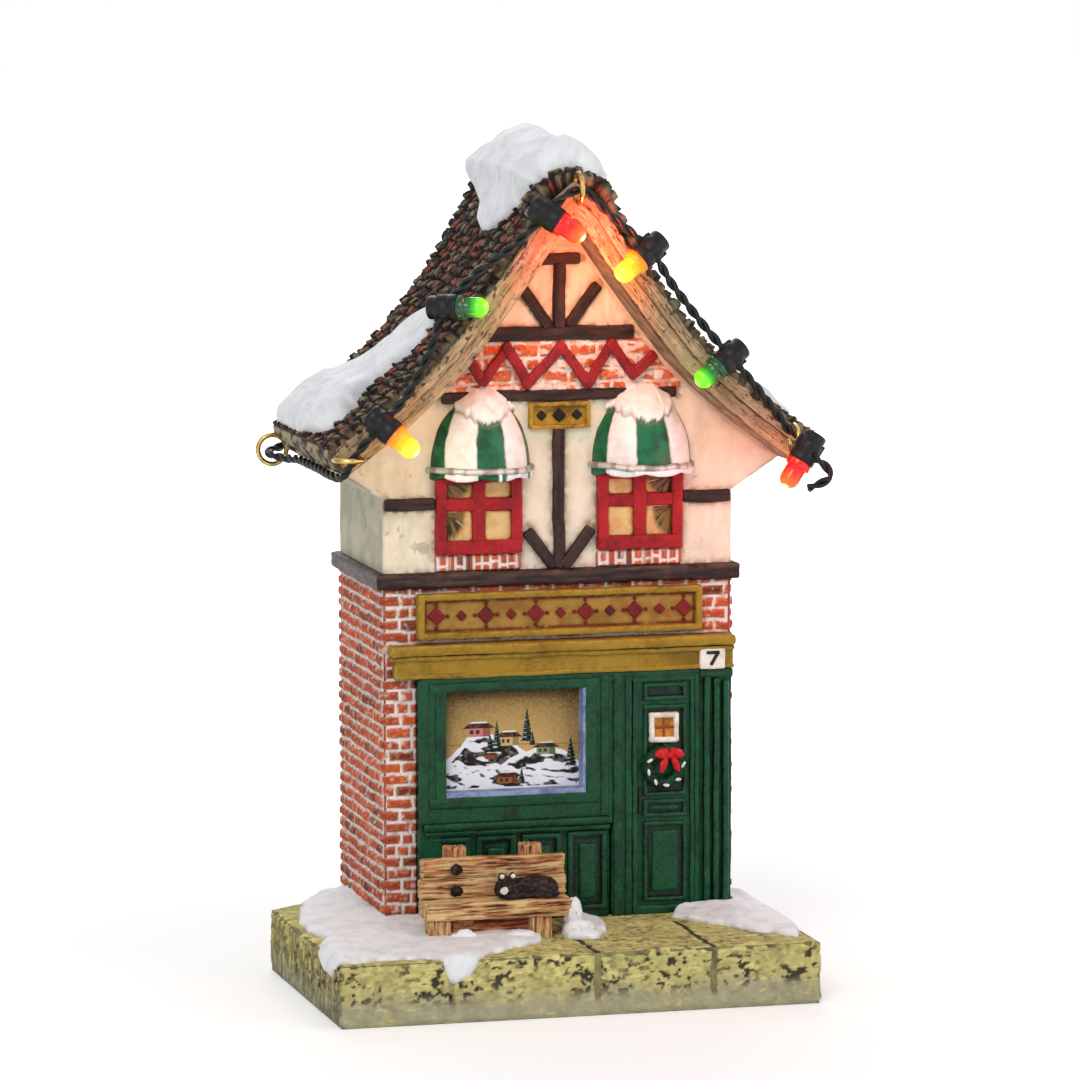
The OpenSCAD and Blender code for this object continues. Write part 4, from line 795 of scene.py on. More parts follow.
def brick_storey():
    """the walls from the right front corner round the back to the left pier, and the wall behind the sign"""
    p = Parts()
    round_house = [(RIGHT - 0.05, FRONT), (RIGHT, FRONT), (RIGHT, BACK), (LEFT, BACK), (LEFT, FRONT),
                   (POST_L, FRONT)]
    xy, nrm, s = rounded_path(round_house, 0.5, 0.2, closed=False)
    wall_skin(p, xy, nrm, s, BASE_H - 0.05, BRICK_TOP, 0.2,
              lambda S, Z, X, Y: brickwork(S, Z, X, Y, dark=0.04, seed=3), closed=False)
    xy, nrm, s = rounded_path([(POST_L - 0.1, FRONT), (RIGHT - 0.4, FRONT)], 0.3, 0.22, closed=False)
    wall_skin(p, xy, nrm, s, LEDGE_TOP, BRICK_TOP, 0.2,
              lambda S, Z, X, Y: brickwork(S + 1, Z, X, Y, seed=9), closed=False)
    p.obj("brick_storey", MAT["brick"], slot="brick")


def upright_bricks(S, Z, X, Y):
    """brickwork turned on end, a little proud of the wall"""
    h, t = brickwork(Z - COURSE_TOP + 40.0, S + 0.9, X, Y, pitch=1.34, length=3.3, joint=0.3,
                     depth=0.36, seed=14)
    return h + 0.45, t


def apron_bricks():
    """the bricks on end under each window"""
    p = Parts()
    for c in WINDOWS:
        xy, nrm, s = rounded_path([(c - WINDOW_HALF, FRONT), (c + WINDOW_HALF, FRONT)], 0.3, 0.14,
                                  closed=False)
        wall_skin(p, xy, nrm, s, COURSE_TOP + 0.02, WINDOW_FOOT, 0.14, upright_bricks, closed=False)
    p.obj("apron_bricks", MAT["brick"], replaces=["brick_aprons"], slot="brick")


brick_storey()
apron_bricks()
dress("lower_walls", "inner_brick")


# Base slab
EDGE_R, TOP_IN = 0.55, 0.3
SLAB_MIDDLE = np.array([4.0, 13.5])


def slab_surface():
    """places and outward directions over the slab's sides and top, and how far each row faces up"""
    xy, nrm, s = rounded_path(BASE, 0.7, 0.22)
    inner = xy - nrm * EDGE_R
    z_side = np.linspace(0.02, BASE_H - EDGE_R, 42)
    arc = np.radians(np.linspace(8, 90, 7))
    shrink = np.concatenate([np.linspace(1, 0.9, 22)[1:], np.linspace(0.9, TOP_IN, 80)[1:]])
    rows = [np.concatenate([xy, np.full((len(xy), 1), v)], 1) for v in z_side]
    for v in arc:
        z = np.full((len(xy), 1), BASE_H - EDGE_R + EDGE_R * math.sin(v))
        rows.append(np.concatenate([xy - nrm * EDGE_R * (1 - math.cos(v)), z], 1))
    for t in shrink:
        ring = SLAB_MIDDLE + (inner - SLAB_MIDDLE) * t
        rows.append(np.concatenate([ring, np.full((len(xy), 1), BASE_H)], 1))
    up = np.concatenate([np.zeros(len(z_side)), np.sin(arc), np.ones(len(shrink))])
    N = np.concatenate([nrm[:, None] * np.sqrt(1 - up[None, :, None] ** 2),
                        np.broadcast_to(up[None, :, None], (len(xy), len(up), 1))], 2)
    return np.stack(rows, 1), N, up[None], inner, xy - nrm * 0.8


def slab_seams(X, Y, Z, up):
    """joints between the slab's stones: down the front face and back over its top"""
    seam = np.zeros_like(X)
    for x0, reach in ((-19.6, 0.4), (2.2, 1.0), (19.9, 1.0)):
        d = np.abs(X - x0 - 0.9 * (noise3(X * 0, Y, Z, 1.8, 3, 31) - 0.5))
        low_end = step(1.4, 3.6, Z)
        seam = np.maximum(seam, (1 - step(0.3, 0.55, d)) * (Y < -8) * (np.abs(X) < 35.5) * low_end * reach)
    d = np.abs(Y + 20.5 - 1.6 * (noise3(X, Y * 0, Z, 3, 2, 33) - 0.5))
    return np.maximum(seam, (1 - step(0.1, 0.32, d)) * (X > 11) * (X < 29.6) * (up > 0.9) * 0.8)


def slab_tint(X, Y, Z, NX, up, seam, pit, mid, fine):
    """sponged yellows and olive over grey, with black in the pits and joints, painted shade on the left and
    right faces and a painted highlight along the top edge
    """
    yellow, khaki, olive = lin((226, 214, 140)), lin((200, 190, 124)), lin((158, 148, 92))
    grey, char = lin((168, 164, 140)), lin((50, 46, 48))
    streak = noise3(X, Y, Z, (1.6, 1.6, 0.35), 3, 12)
    c = mix(khaki, yellow, step(0.46, 0.62, 0.5 * mid + 0.5 * streak))
    c = mix(c, olive, 0.55 * step(0.52, 0.66, noise3(X, Y, Z, (1.1, 1.1, 0.6), 3, 14)))
    c = mix(c, char, 0.4 * step(0.64, 0.74, noise3(X, Y, Z, (0.7, 0.7, 0.3), 3, 19)))
    lower = (1 - step(1.6, 6.4, Z + 3.4 * (noise3(X, Y, Z, 5, 3, 16) - 0.5))) * (up < 0.9)
    c = mix(c, grey, 0.85 * lower * step(0.28, 0.5, noise3(X, Y, Z, (1.6, 1.6, 0.6), 3, 13) + 0.12 * lower))
    # the left and right faces get painted shade: darker olive and more black speckle
    shaded_sides = step(0.5, 0.9, np.abs(NX)) * (up < 0.9)
    c = mix(c, lin((96, 92, 66)), 0.55 * shaded_sides * step(0.4, 0.6, noise3(X, Y, Z, (1, 0.8, 1.6), 3, 17)))
    black = pit * 0.95 + seam * 0.95 + 0.5 * shaded_sides * step(0.58, 0.68, noise3(X, Y, Z, (1, 0.5, 1.2), 3, 18))
    # painted highlight along the rounded top edge, and half as strong over the top
    rim = (up > 0.02) * (up < 0.999) + 0.5 * (up >= 0.999)
    c = mix(c, lin((236, 226, 156)), 0.55 * rim * step(0.52, 0.66, fine) * (1 - pit))
    return mix(c, char, np.clip(black, 0, 1))


def stone_slab():
    """the slab's sides and top in one skin, closed under its top and behind its sides"""
    p = Parts()
    P, N, up, inner, back = slab_surface()
    X, Y, Z = P[..., 0], P[..., 1], P[..., 2]
    low, mid, fine = noise3(X, Y, Z, 7.0, 3, 1), noise3(X, Y, Z, 2.0, 3, 2), noise3(X, Y, Z, 0.5, 3, 3)
    porous = 0.25 + 0.75 * step(0.4, 0.55, noise3(X, Y, Z, 4.5, 2, 6))
    where = porous * np.where(up > 0.5, 0.6, step(2.0, 4.6, Z))
    pit = step(0.575, 0.61, noise3(X, Y, Z, (0.8, 0.8, 0.6), 2, 4) + 0.1 * (fine - 0.5)) * where
    seam = slab_seams(X, Y, Z, up)
    chip = (up > 0.05) * (up < 0.999) * step(0.5, 0.66, noise3(X, Y, Z, 1.8, 3, 8))
    h = 0.6 * (low - 0.5) + 0.45 * (mid - 0.5) + 0.4 * (fine - 0.5) - 0.35 * pit - 0.6 * seam - 0.5 * chip
    scale, lift = np.where(up > 0.99, 0.45, 0.75), np.where(up > 0.5, 0.16, 0.3)
    out = P + N * ((np.clip(h, -0.8, 0.6) * scale + lift) * step(0.0, 0.8, Z))[..., None]
    out[..., 2] = np.where(up > 0.99, np.maximum(out[..., 2], BASE_H + 0.012), out[..., 2])
    c = slab_tint(X, Y, Z, N[..., 0], up, seam, pit, mid, fine)
    n, m = X.shape
    middle = SLAB_MIDDLE + (inner - SLAB_MIDDLE) * TOP_IN
    hidden = [np.concatenate([q, np.full((n, 1), z)], 1)[:, None]
              for q, z in ((middle, BASE_H - 0.6), (back, BASE_H - 0.6), (back, 0.02))]
    full = np.concatenate([out] + hidden, 1)
    tint = np.concatenate([c, np.broadcast_to(lin((110, 104, 70)), (n, 3, 3))], 1)
    p.add(full, [grid(n, m + 3, close_n=True, close_m=True)], tint)
    p.obj("stone_slab", MAT["stone"], slot="base_stone")


stone_slab()
dress("base_plinth", "inner_stone")


# Roof: its underside as shares of the eave's half width and of the rise
SHARES = [(0, .99), (.02, .979), (.05, .945), (.12, .845), (.19, .75), (.28, .637), (.38, .515), (.48, .4),
          (.59, .3), (.7, .21), (.8, .135), (.9, .068), (1, 0)]
UNDER = np.array([(EAVE_X * a, EAVE_Z + ROOF_RISE * b) for a, b in SHARES])
# how much thicker the roof is at its first corners from the ridge
THICK = [1.12, 1.45, 1.21, 1.15, 1.08]


def out_normal(a, b):
    """the outward normal of the roof's line from a to b"""
    return unit(np.array([a[1] - b[1], b[0] - a[0]]))


def raised(p, t, thick):
    """the roof's line moved outward by t, and by more near the ridge if thick"""
    out = []
    for i in range(len(p)):
        k = t * (THICK[i] if thick and i < len(THICK) else 1)
        if i == 0:
            out.append((0, p[0][1] + k / out_normal(p[0], p[2])[1]))
        elif i == len(p) - 1:
            out.append(p[i] + out_normal(p[i - 1], p[i]) * k)
        else:
            a = out_normal(p[i - 1], p[i])
            m = unit(a + out_normal(p[i], p[i + 1]))
            out.append(p[i] + m * k / (m @ a))
    return np.array(out)


ROOF = raised(UNDER, ROOF_T, True)
LAST = len(ROOF) - 1
STATIONS = np.arange(LAST + 1)
normals = [out_normal(ROOF[i], ROOF[i + 1]) for i in range(LAST)]
STATION_N = np.array([(0.0, 1.0)] + [unit(a + b) for a, b in zip(normals, normals[1:])] + [normals[-1]])


def roof_at(s):
    """point and normal (x, z) on the roof's top at station s, negative on the left, as arrays"""
    s = np.asarray(s, float)
    a = np.clip(np.abs(s), 0, LAST)
    side = np.where(s < 0, -1.0, 1.0)
    p = np.stack([side * np.interp(a, STATIONS, ROOF[:, 0]) + XC, np.interp(a, STATIONS, ROOF[:, 1])], -1)
    nx, nz = side * np.interp(a, STATIONS, STATION_N[:, 0]), np.interp(a, STATIONS, STATION_N[:, 1])
    return p, unit(np.stack([nx, nz], -1))


ROOF_RUN = distance(ROOF)


def cobbles(u, y, a, b, seed):
    """staggered lumps a long and b wide: nearness to the gaps, own random number, place along the lump"""
    row, col = np.floor(u / a), y / b
    near = np.full(u.shape, 9.0)
    second = np.full(u.shape, 9.0)
    own = np.zeros(u.shape)
    along = np.zeros(u.shape)
    for di in (-1, 0, 1):
        r = row + di
        t = col + 0.5 * (r % 2)
        for dj in (-1, 0, 1):
            c = np.floor(t) + dj
            cu = (r + 0.5 + 0.5 * (rnd(r, c, 1, seed) - 0.5)) * a
            cy = (c + 0.5 - 0.5 * (r % 2) + 0.6 * (rnd(r, c, 2, seed) - 0.5)) * b
            d = np.hypot((u - cu) / a, (y - cy) / b)
            nearer = d < near
            second = np.where(nearer, near, np.minimum(second, d))
            own = np.where(nearer, rnd(r, c, 3, seed), own)
            along = np.where(nearer, (u - cu) / a, along)
            near = np.where(nearer, d, near)
    return second - near, own, along


RUST, BROWN, CHAR = lin((150, 74, 56)), lin((84, 52, 42)), lin((24, 19, 18))
KHAKI, DULL, PALE = lin((146, 132, 104)), lin((92, 80, 64)), lin((190, 176, 144))
OCHRE_TIP = lin((200, 134, 102))
RAGGED_F = ROOF_F - 1.75
SIDES = ((-1, "left"), (1, "right"))


def shingles(u, y, side, x, z):
    """height and colour of the hand-laid shingles at distance u down the slope"""
    seed = 21 if side < 0 else 22
    lump = noise3(x, y, z, 0.9, 3, seed + 5) - 0.5
    fine = noise3(x, y, z, 0.36, 3, seed + 3) - 0.5
    wu = u + 1.3 * (noise3(x, y, z, 2.6, 2, seed) - 0.5) + 0.5 * lump
    wy = y + 1.3 * (noise3(x, y, z, 2.4, 2, seed + 2) - 0.5)
    gap, own, along = cobbles(wu, wy, 1.7, 1.9, seed)
    body = 1 - (1 - step(0.0, 0.42, gap)) ** 1.5
    h = 0.06 + body * (0.34 + 0.4 * own + 0.42 * np.clip(along + 0.35, 0, 0.9)) + 0.55 * lump + 0.25 * fine
    h = np.clip(h, 0.05, 1.25)
    zone = noise3(x, y, z, 6, 2, seed + 6)
    front = 1 - step(ROOF_F + 2, ROOF_F + 11, y + 10 * (zone - 0.5))
    tuft = noise3(x, y, z, 1.6, 3, seed + 7)
    c = mix(RUST, BROWN, step(0.35, 0.55, own))
    c = mix(c, lin((50, 38, 34)), step(0.56, 0.66, own))
    khaki = step(0.82, 0.88, own) + 0.7 * front * step(0.38, 0.56, tuft) + 0.6 * step(0.58, 0.68, tuft)
    khaki = np.clip(khaki, 0, 1)
    c = mix(c, mix(DULL, KHAKI, step(0.4, 0.6, tuft + lump)), khaki)
    shade = np.clip(1 - step(0.12, 0.5, gap) + 1.2 * step(-0.02, 0.13, -lump - 0.5 * fine), 0, 1)
    c = mix(c, CHAR, 0.95 * shade)
    tip = step(0.1, 0.5, along) * step(0.2, 0.5, gap) * step(-0.04, 0.12, lump + 0.6 * fine)
    c = mix(c, np.where(khaki[..., None] > 0.5, PALE, OCHRE_TIP), 0.75 * tip)
    return h, np.clip(c, 0, 1)


def roof_relief(U, Y, side, X, Z):
    """the shingles, low at both ends and at the ridge: height, colour, and how ragged the front end is"""
    h, c = shingles(U, Y, side, X, Z)
    front = 1 - step(RAGGED_F, ROOF_F - 0.7, Y)
    back = step(ROOF_B - 0.5, ROOF_B, Y)
    h = h * (1 - 0.5 * back) * (1 - 0.45 * front) - 0.6 * front ** 2
    c = mix(c, KHAKI, 0.55 * front * (1 - step(0.55, 0.7, noise3(X, Y * 0, Z, 0.8, 3, 79))))
    h = np.where(Y > ROOF_F - 0.1, np.maximum(h, 0.02), h)
    ridge = step(0.0, 1.0, U)
    return h * ridge + (1 - ridge) * 0.25, c, front * 0.8 * (noise3(X, X * 0, Z, 0.9, 3, 77) - 0.4)


def slope_skin(roof, side):
    """the shingled top of one slope with its two ends; gives its eave's lower and upper corner"""
    u = np.linspace(0, ROOF_RUN[-1], 380)
    st = np.maximum(np.interp(u, ROOF_RUN, STATIONS), 1e-4)
    p, nn = roof_at(side * st)
    U, Y = np.meshgrid(u, np.linspace(RAGGED_F, ROOF_B, 210), indexing="ij")
    X = np.broadcast_to(p[:, :1], U.shape)
    Z = np.broadcast_to(p[:, 1:], U.shape)
    h, c, ragged = roof_relief(U, Y, side, X, Z)
    top = np.stack([X + nn[:, :1] * h, Y + ragged, Z + nn[:, 1:] * h], -1)
    under_x, under_z = [np.interp(st, STATIONS, UNDER[:, k]) for k in (0, 1)]
    low = np.stack([under_x * side + XC, under_z], 1)

    def between(share, depth):
        """a line of points between the underside and the top, at one depth"""
        q = p * share + low * (1 - share)
        return points(q[:, 0], depth, q[:, 1])

    top = np.concatenate([between(0.82, ROOF_F - 1.45)[:, None], top], 1)
    # the front end's row at half brightness: painted shade
    c = np.concatenate([c[:, :1] * 0.5, c], 1)
    for share in (0.97, 0.85, 0.7, 0.55, 0.4, 0.25, 0.1):
        line = between(share, ROOF_B + 0.15)
        rough = noise3(line[:, 0], line[:, 1], line[:, 2], 1.1, 3, 96)
        line[:, 1] += 0.7 * rough
        top = np.concatenate([top, line[:, None]], 1)
        # the back end darker toward the underside: painted shade
        c = np.concatenate([c, mix(DULL, KHAKI, step(0.42, 0.6, rough))[:, None] * (0.5 + 0.5 * share)], 1)
    skin(roof, top, between(0.62, ROOF_F - 1.0), between(0, ROOF_B + 0.12), c, flip=side > 0)
    return low[-1], p[-1]


def eave_skin(roof, side, a, b):
    """lumps of shingle ends over the slope's lower edge, from its corner a up to b"""
    yy = np.linspace(ROOF_F - 1.3, ROOF_B - 0.1, 200)
    Y, V = np.meshgrid(yy, np.linspace(0.0, 1.0, 26), indexing="ij")
    way = unit(b - a)
    out = np.array([way[1], -way[0]])
    out = out if out[0] * side > 0 else -out
    X = a[0] + (b[0] - a[0]) * V
    Z = a[1] + (b[1] - a[1]) * V
    lump = noise3(X, Y, Z, (1.1, 1.9, 1.1), 3, 91)
    fine = noise3(X, Y, Z, 0.5, 2, 93)
    bulge = 1 - np.abs(2 * V - 1) ** 3
    h = 0.12 + bulge * (0.5 + 1.6 * (lump - 0.42)) + 0.3 * (fine - 0.5) * bulge
    h = np.maximum(h, 0.05)
    c = mix(lin((92, 78, 62)), PALE, 0.8 * step(0.46, 0.62, lump + 0.3 * (fine - 0.5)))
    # black in the hollows between the lumps: painted shade
    c = mix(c, CHAR, 0.95 * (1 - step(0.3, 0.5, lump + 0.4 * (fine - 0.5))))
    c = mix(c, KHAKI, 0.5 * step(0.5, 0.7, noise3(X, Y, Z, 2.6, 2, 94)))
    end = np.stack([X + out[0] * h, Y, Z + out[1] * h], -1)
    skin(roof, end, points(a[0] - out[0], yy, a[1] - out[1] + 0.2), points(b[0] - out[0], yy, b[1] - out[1]),
         c, flip=side > 0)


def shingled_roof(side, name):
    """one slope with its eave, over the CAD's plain slope"""
    roof = Parts()
    low, high = slope_skin(roof, side)
    eave_skin(roof, side, low, high)
    roof.obj(f"shingles_{name}", MAT["shingle"], slot="shingle")
    dress(f"roof_{name}", "inner_roof")


for side, name in SIDES:
    shingled_roof(side, name)

# Barge boards: two long steps of grained wood
BOARD_TAN, BOARD_HI, BOARD_DEEP = lin((184, 156, 126)), lin((212, 190, 160)), lin((66, 52, 44))


def barge_tint(U, V, D, side):
    """grained tan wood, dark in the step between the board's two parts, with painted shade along its
    underside
    """
    across = V * BOARD_H
    c = mix(BOARD_TAN, lin((158, 136, 110)), step(0.4, 0.65, noise3(U, across, D, (6, 1.5, 1), 3, 62)))
    c = mix(c, BOARD_HI, 0.55 * step(0.54, 0.68, noise3(U, across, D + side * 3, (4.0, 0.35, 1), 3, 63)))
    hair = noise3(U, across, D * 0 + side * 5, (1.8, 0.1, 1.0), 2, 57)
    worn = noise3(U, across, D * 0 + side, (5.0, 1.6, 1.0), 3, 64)
    c = mix(c, BOARD_DEEP, 0.85 * step(0.62, 0.72, hair) * step(0.42, 0.56, worn))
    flecks = noise3(U, across, D * 0 + side * 7, (0.7, 0.3, 1.0), 3, 60)
    c = mix(c, lin((40, 32, 28)), 0.85 * step(0.56, 0.66, flecks - 0.12 * (1 - step(0.62, 0.95, V))))
    c = mix(c, lin((44, 34, 30)), 0.85 * np.exp(-((V - 0.545) / 0.02) ** 2))
    # painted shade along the board's underside
    c = mix(c, lin((60, 46, 38)), 0.7 * (1 - step(0.0, 0.05, V)))
    return mix(c, lin((168, 148, 96)), 0.3 * step(0.52, 0.7, noise3(U, across, D, 4, 2, 61)))


def barge_board(side, name):
    """one board along the slope's front end, with a step along its middle"""
    board = Parts()
    run = distance(UNDER)
    u = np.linspace(0, run[-1], 340)
    k = np.interp(u, run, STATIONS)
    high = raised(UNDER, BOARD_H, False)
    A = np.stack([np.interp(k, STATIONS, UNDER[:, a]) for a in (0, 1)], 1)
    B = np.stack([np.interp(k, STATIONS, high[:, a]) for a in (0, 1)], 1)
    # across the board: share from the underside, and depth before the slope's front end
    v = np.concatenate([[0.0, 0.0, 0.03], np.linspace(0.06, 0.5, 18), [0.52, 0.535, 0.555, 0.575],
                        np.linspace(0.6, 0.95, 16), [0.98, 1.0, 1.0]])
    dep = np.concatenate([[0.0, 1.3, 1.55], np.full(18, 1.6), [1.58, 1.5, 2.15, 2.3], np.full(16, 2.3),
                          [2.25, 1.9, 0.0]])
    U, V = np.meshgrid(u, v, indexing="ij")
    D = np.broadcast_to(dep, U.shape)
    across = V * BOARD_H
    grain = noise3(U, across, D * 0 + side * 9, (9.0, 0.24, 1.0), 3, 55) - 0.5
    hair = noise3(U, across, D * 0 + side * 5, (1.8, 0.1, 1.0), 2, 57) - 0.5
    pore = noise3(U, across, D * 0, 0.5, 3, 59) - 0.5
    relief = np.where(D > 0.5, 0.16 * grain - 0.2 * np.maximum(hair, 0) + 0.22 * pore, 0)
    rough_top = step(0.75, 1.0, V) * (noise3(U, V * 0, D * 0, 1.1, 3, 65) - 0.5)
    swell = 0.2 * (noise3(U, V * 0 + 2, D * 0, 6.0, 2, 58) - 0.5) + 0.7 * rough_top
    way = unit(B - A)
    PX = A[:, None, 0] * (1 - V) + B[:, None, 0] * V + way[:, :1] * swell
    PZ = A[:, None, 1] * (1 - V) + B[:, None, 1] * V + way[:, 1:] * swell
    top = np.stack([XC + side * PX, ROOF_F - D - relief, PZ], -1)
    b0 = points(XC + side * A[:, 0], ROOF_F + 0.3, A[:, 1] + 0.05)
    b1 = points(XC + side * B[:, 0], ROOF_F + 0.3, B[:, 1])
    skin(board, top, b0, b1, np.clip(barge_tint(U, V, D, side), 0, 1), flip=side < 0)
    board.obj(f"board_{name}", MAT["wood"], replaces=[f"barge_{name}"], slot="barge_wood")


for side, name in SIDES:
    barge_board(side, name)


# Snow
def snow_blanket(parts, P, N, thick, seed, lump=0.35, flip=False):
    """a blanket over the places P, raised along their normals N by thick; all are grids of n by m"""
    n, m = P.shape[:2]
    X, Y, Z = P[..., 0], P[..., 1], P[..., 2]
    t = thick * (1 + lump * (noise3(X, Y, Z, 4.2, 2, seed) - 0.5) * 2)
    t = t + np.minimum(thick, 1.2) * (0.22 * (noise3(X, Y, Z, 1.5, 3, seed + 3) - 0.5))
    top = P + N * np.maximum(t, 0)[..., None]
    bottom = P - N * 0.12
    co = np.concatenate([top.reshape(-1, 3), bottom.reshape(-1, 3)])
    k = n * m
    i, j = np.arange(n - 1) * m, np.arange(m - 1)
    right, last = i + m - 1, (n - 1) * m + j
    faces = [grid(n, m), grid(n, m, flip=True) + k,
             np.stack([i, k + i, k + i + m, i + m], 1),
             np.stack([right + m, k + right + m, k + right, right], 1),
             np.stack([j + 1, k + j + 1, k + j, j], 1),
             np.stack([last, k + last, k + last + 1, last + 1], 1)]
    if flip:
        faces = [f[:, ::-1] for f in faces]
    w = noise3(X, Y, Z, 2.6, 3, seed + 8)
    thin = 1 - step(0.05, 0.5, t)
    c = mix(lin((243, 245, 248)), lin((230, 232, 237)), step(0.45, 0.7, w))
    c = mix(c, lin((214, 213, 210)), 0.4 * step(0.58, 0.72, noise3(X, Y, Z, 0.8, 3, seed + 10)))
    c = mix(c, lin((178, 172, 160)), 0.6 * thin * step(0.35, 0.6, noise3(X, Y, Z, 1.2, 2, seed + 9)))
    parts.add(co, faces, np.concatenate([c.reshape(-1, 3)] * 2))


# each row crosses a patch: its station on the roof, its front and back ends as shares of the roof's depth,
# and how thick it lies
RIDGE_ROWS = [[-3.15, .34, .46, .15], [-2.8, .26, .56, .26], [-2.2, .14, .66, .34], [-1.6, .08, .9, .45],
              [-1, .05, 1, .85], [-.5, .03, 1, 1.15], [0, 0, 1, 1.25], [.5, 0, 1, 1], [1, .06, 1, .5],
              [1.5, .2, 1, .3], [2, .34, .9, .2]]
LEFT_ROWS = [[-11.9, .44, .94, .3], [-11.5, .23, .99, .6], [-10.9, .2, .99, .85], [-10.2, .22, 1, .9],
             [-9.5, .3, .97, .75], [-8.9, .36, .86, .5], [-8.1, .33, .76, .35], [-7.3, .29, .7, .3],
             [-6.5, .3, .63, .25], [-5.9, .4, .55, .15]]
RIGHT_ROWS = [[8.4, .5, .7, .25], [9, .36, .84, .45], [9.8, .3, .9, .6], [10.6, .26, .95, .7],
              [11.2, .24, .97, .65], [11.6, .24, .97, .5], [11.9, .28, .95, .3]]


def roof_snow(name, node, rows, seed):
    """a soft patch of snow on the roof, with lobed ends"""
    piece = Parts()
    r = smooth_route(rows, 11)
    v = np.concatenate([[0, 0.006], np.linspace(0.018, 0.982, 74), [0.994, 1]])
    n = len(r)
    lobes = noise3(r[:, 0] * 4, np.zeros(n), np.zeros(n), 1.7, 2, seed + 5) - 0.5
    lobes2 = noise3(r[:, 0] * 4, np.zeros(n), np.zeros(n) + 9, 1.7, 2, seed + 6) - 0.5
    f = r[:, 1] + 0.05 * lobes * (r[:, 1] > 0.02)
    b = r[:, 2] + 0.05 * lobes2 * (r[:, 2] < 0.985)
    Y = ROOF_F + (ROOF_B - ROOF_F) * (f[:, None] + (b - f)[:, None] * v)
    Y = np.clip(Y, ROOF_F - 1.9, ROOF_B + 0.25)
    rim = np.abs(2 * v - 1) ** 6
    shift = 0.1 * rim * (noise3(Y, np.zeros(Y.shape), np.zeros(Y.shape), 2.4, 2, seed + 7) - 0.5)
    ends = np.clip(np.minimum(np.arange(n), np.arange(n)[::-1]) / 8.0, 0, 1)
    S = r[:, :1] + shift * (1 - ends[:, None]) * 4
    p, nn = roof_at(S)
    N = np.stack([nn[..., 0], np.zeros_like(Y), nn[..., 1]], -1)
    P = np.stack([p[..., 0], Y, p[..., 1]], -1) + N * 0.1
    puff = (1 - np.abs(2 * v - 1) ** 9) ** 0.5
    lip = ends[:, None] ** 0.4
    thick = (3.2 * r[:, 3:4] * puff * (0.3 + 0.7 * lip) + 0.7 * puff * lip) * (lip > 0)
    snow_blanket(piece, P, N, thick, seed, lump=0.28)
    piece.obj(name, MAT["snow"], replaces=[node], slot="snow")


roof_snow("snow_ridge", "ridge_snow", RIDGE_ROWS, 61)
roof_snow("snow_roof_left", "roof_snow_left", LEFT_ROWS, 62)
roof_snow("snow_roof_right", "roof_snow_right", RIGHT_ROWS, 63)

# Snow on the base: each pair is a place on the patch's outer line and one where it meets the house
PATCH_LEFT = [((-23.4, 28.4), (-22.75, 27.2)), ((-27.2, 26.8), (-22.75, 24)), ((-32.6, 12.9), (-22.75, 12)),
              ((-34.9, -1.5), (-22.75, 3)), ((-33.4, -8.8), (-22.75, -0.5)), ((-36.4, -15.7), (-22.75, -1.2)),
              ((-37.2, -23.4), (-21.5, -1.4)), ((-35.2, -27.6), (-19.5, -1.6)), ((-29, -26.6), (-17, -1.8)),
              ((-23.6, -27.2), (-14.6, -2)), ((-21.2, -29.4), (-12, -2)), ((-19.2, -30.8), (-10, -2)),
              ((-17.4, -30.6), (-8, -2)), ((-15.2, -28.8), (-6, -2)), ((-12.6, -25.8), (-5, -2)),
              ((-8.4, -22.6), (-4, -2)), ((-3.6, -18.9), (-3, -2)), ((-2.9, -14), (-3, -4)),
              ((-3.2, -10), (-3.2, -8))]
PATCH_BENCH = [((0.4, -15.4), (1, -13.6)), ((1.2, -17.8), (1.8, -12.6)), ((4.8, -18.2), (3, -11)),
               ((7.7, -14.4), (4.5, -8.6)), ((8.8, -7.4), (5, -4)), ((6.1, -2.6), (4.4, -2.2))]
PATCH_RIGHT = [((20.2, -5.2), (21.5, -2.9)), ((23.2, -10.1), (24, -2.7)), ((25.5, -13.2), (26.5, -2.6)),
               ((28.4, -18.9), (29, -2.4)), ((31.5, -21.8), (30.9, -2)), ((34, -24.4), (30.95, -1)),
               ((36, -18), (30.95, 0.5)), ((36.2, -8), (30.95, 3)), ((36.2, 1), (30.95, 6.5)),
               ((36, 9), (30.95, 11)), ((33.8, 16), (30.95, 15.4))]
# where the slab's side and front edges are, and how far snow hangs out past them
SLAB_X, SLAB_Y, HANG = 35.7, -28.7, 0.55


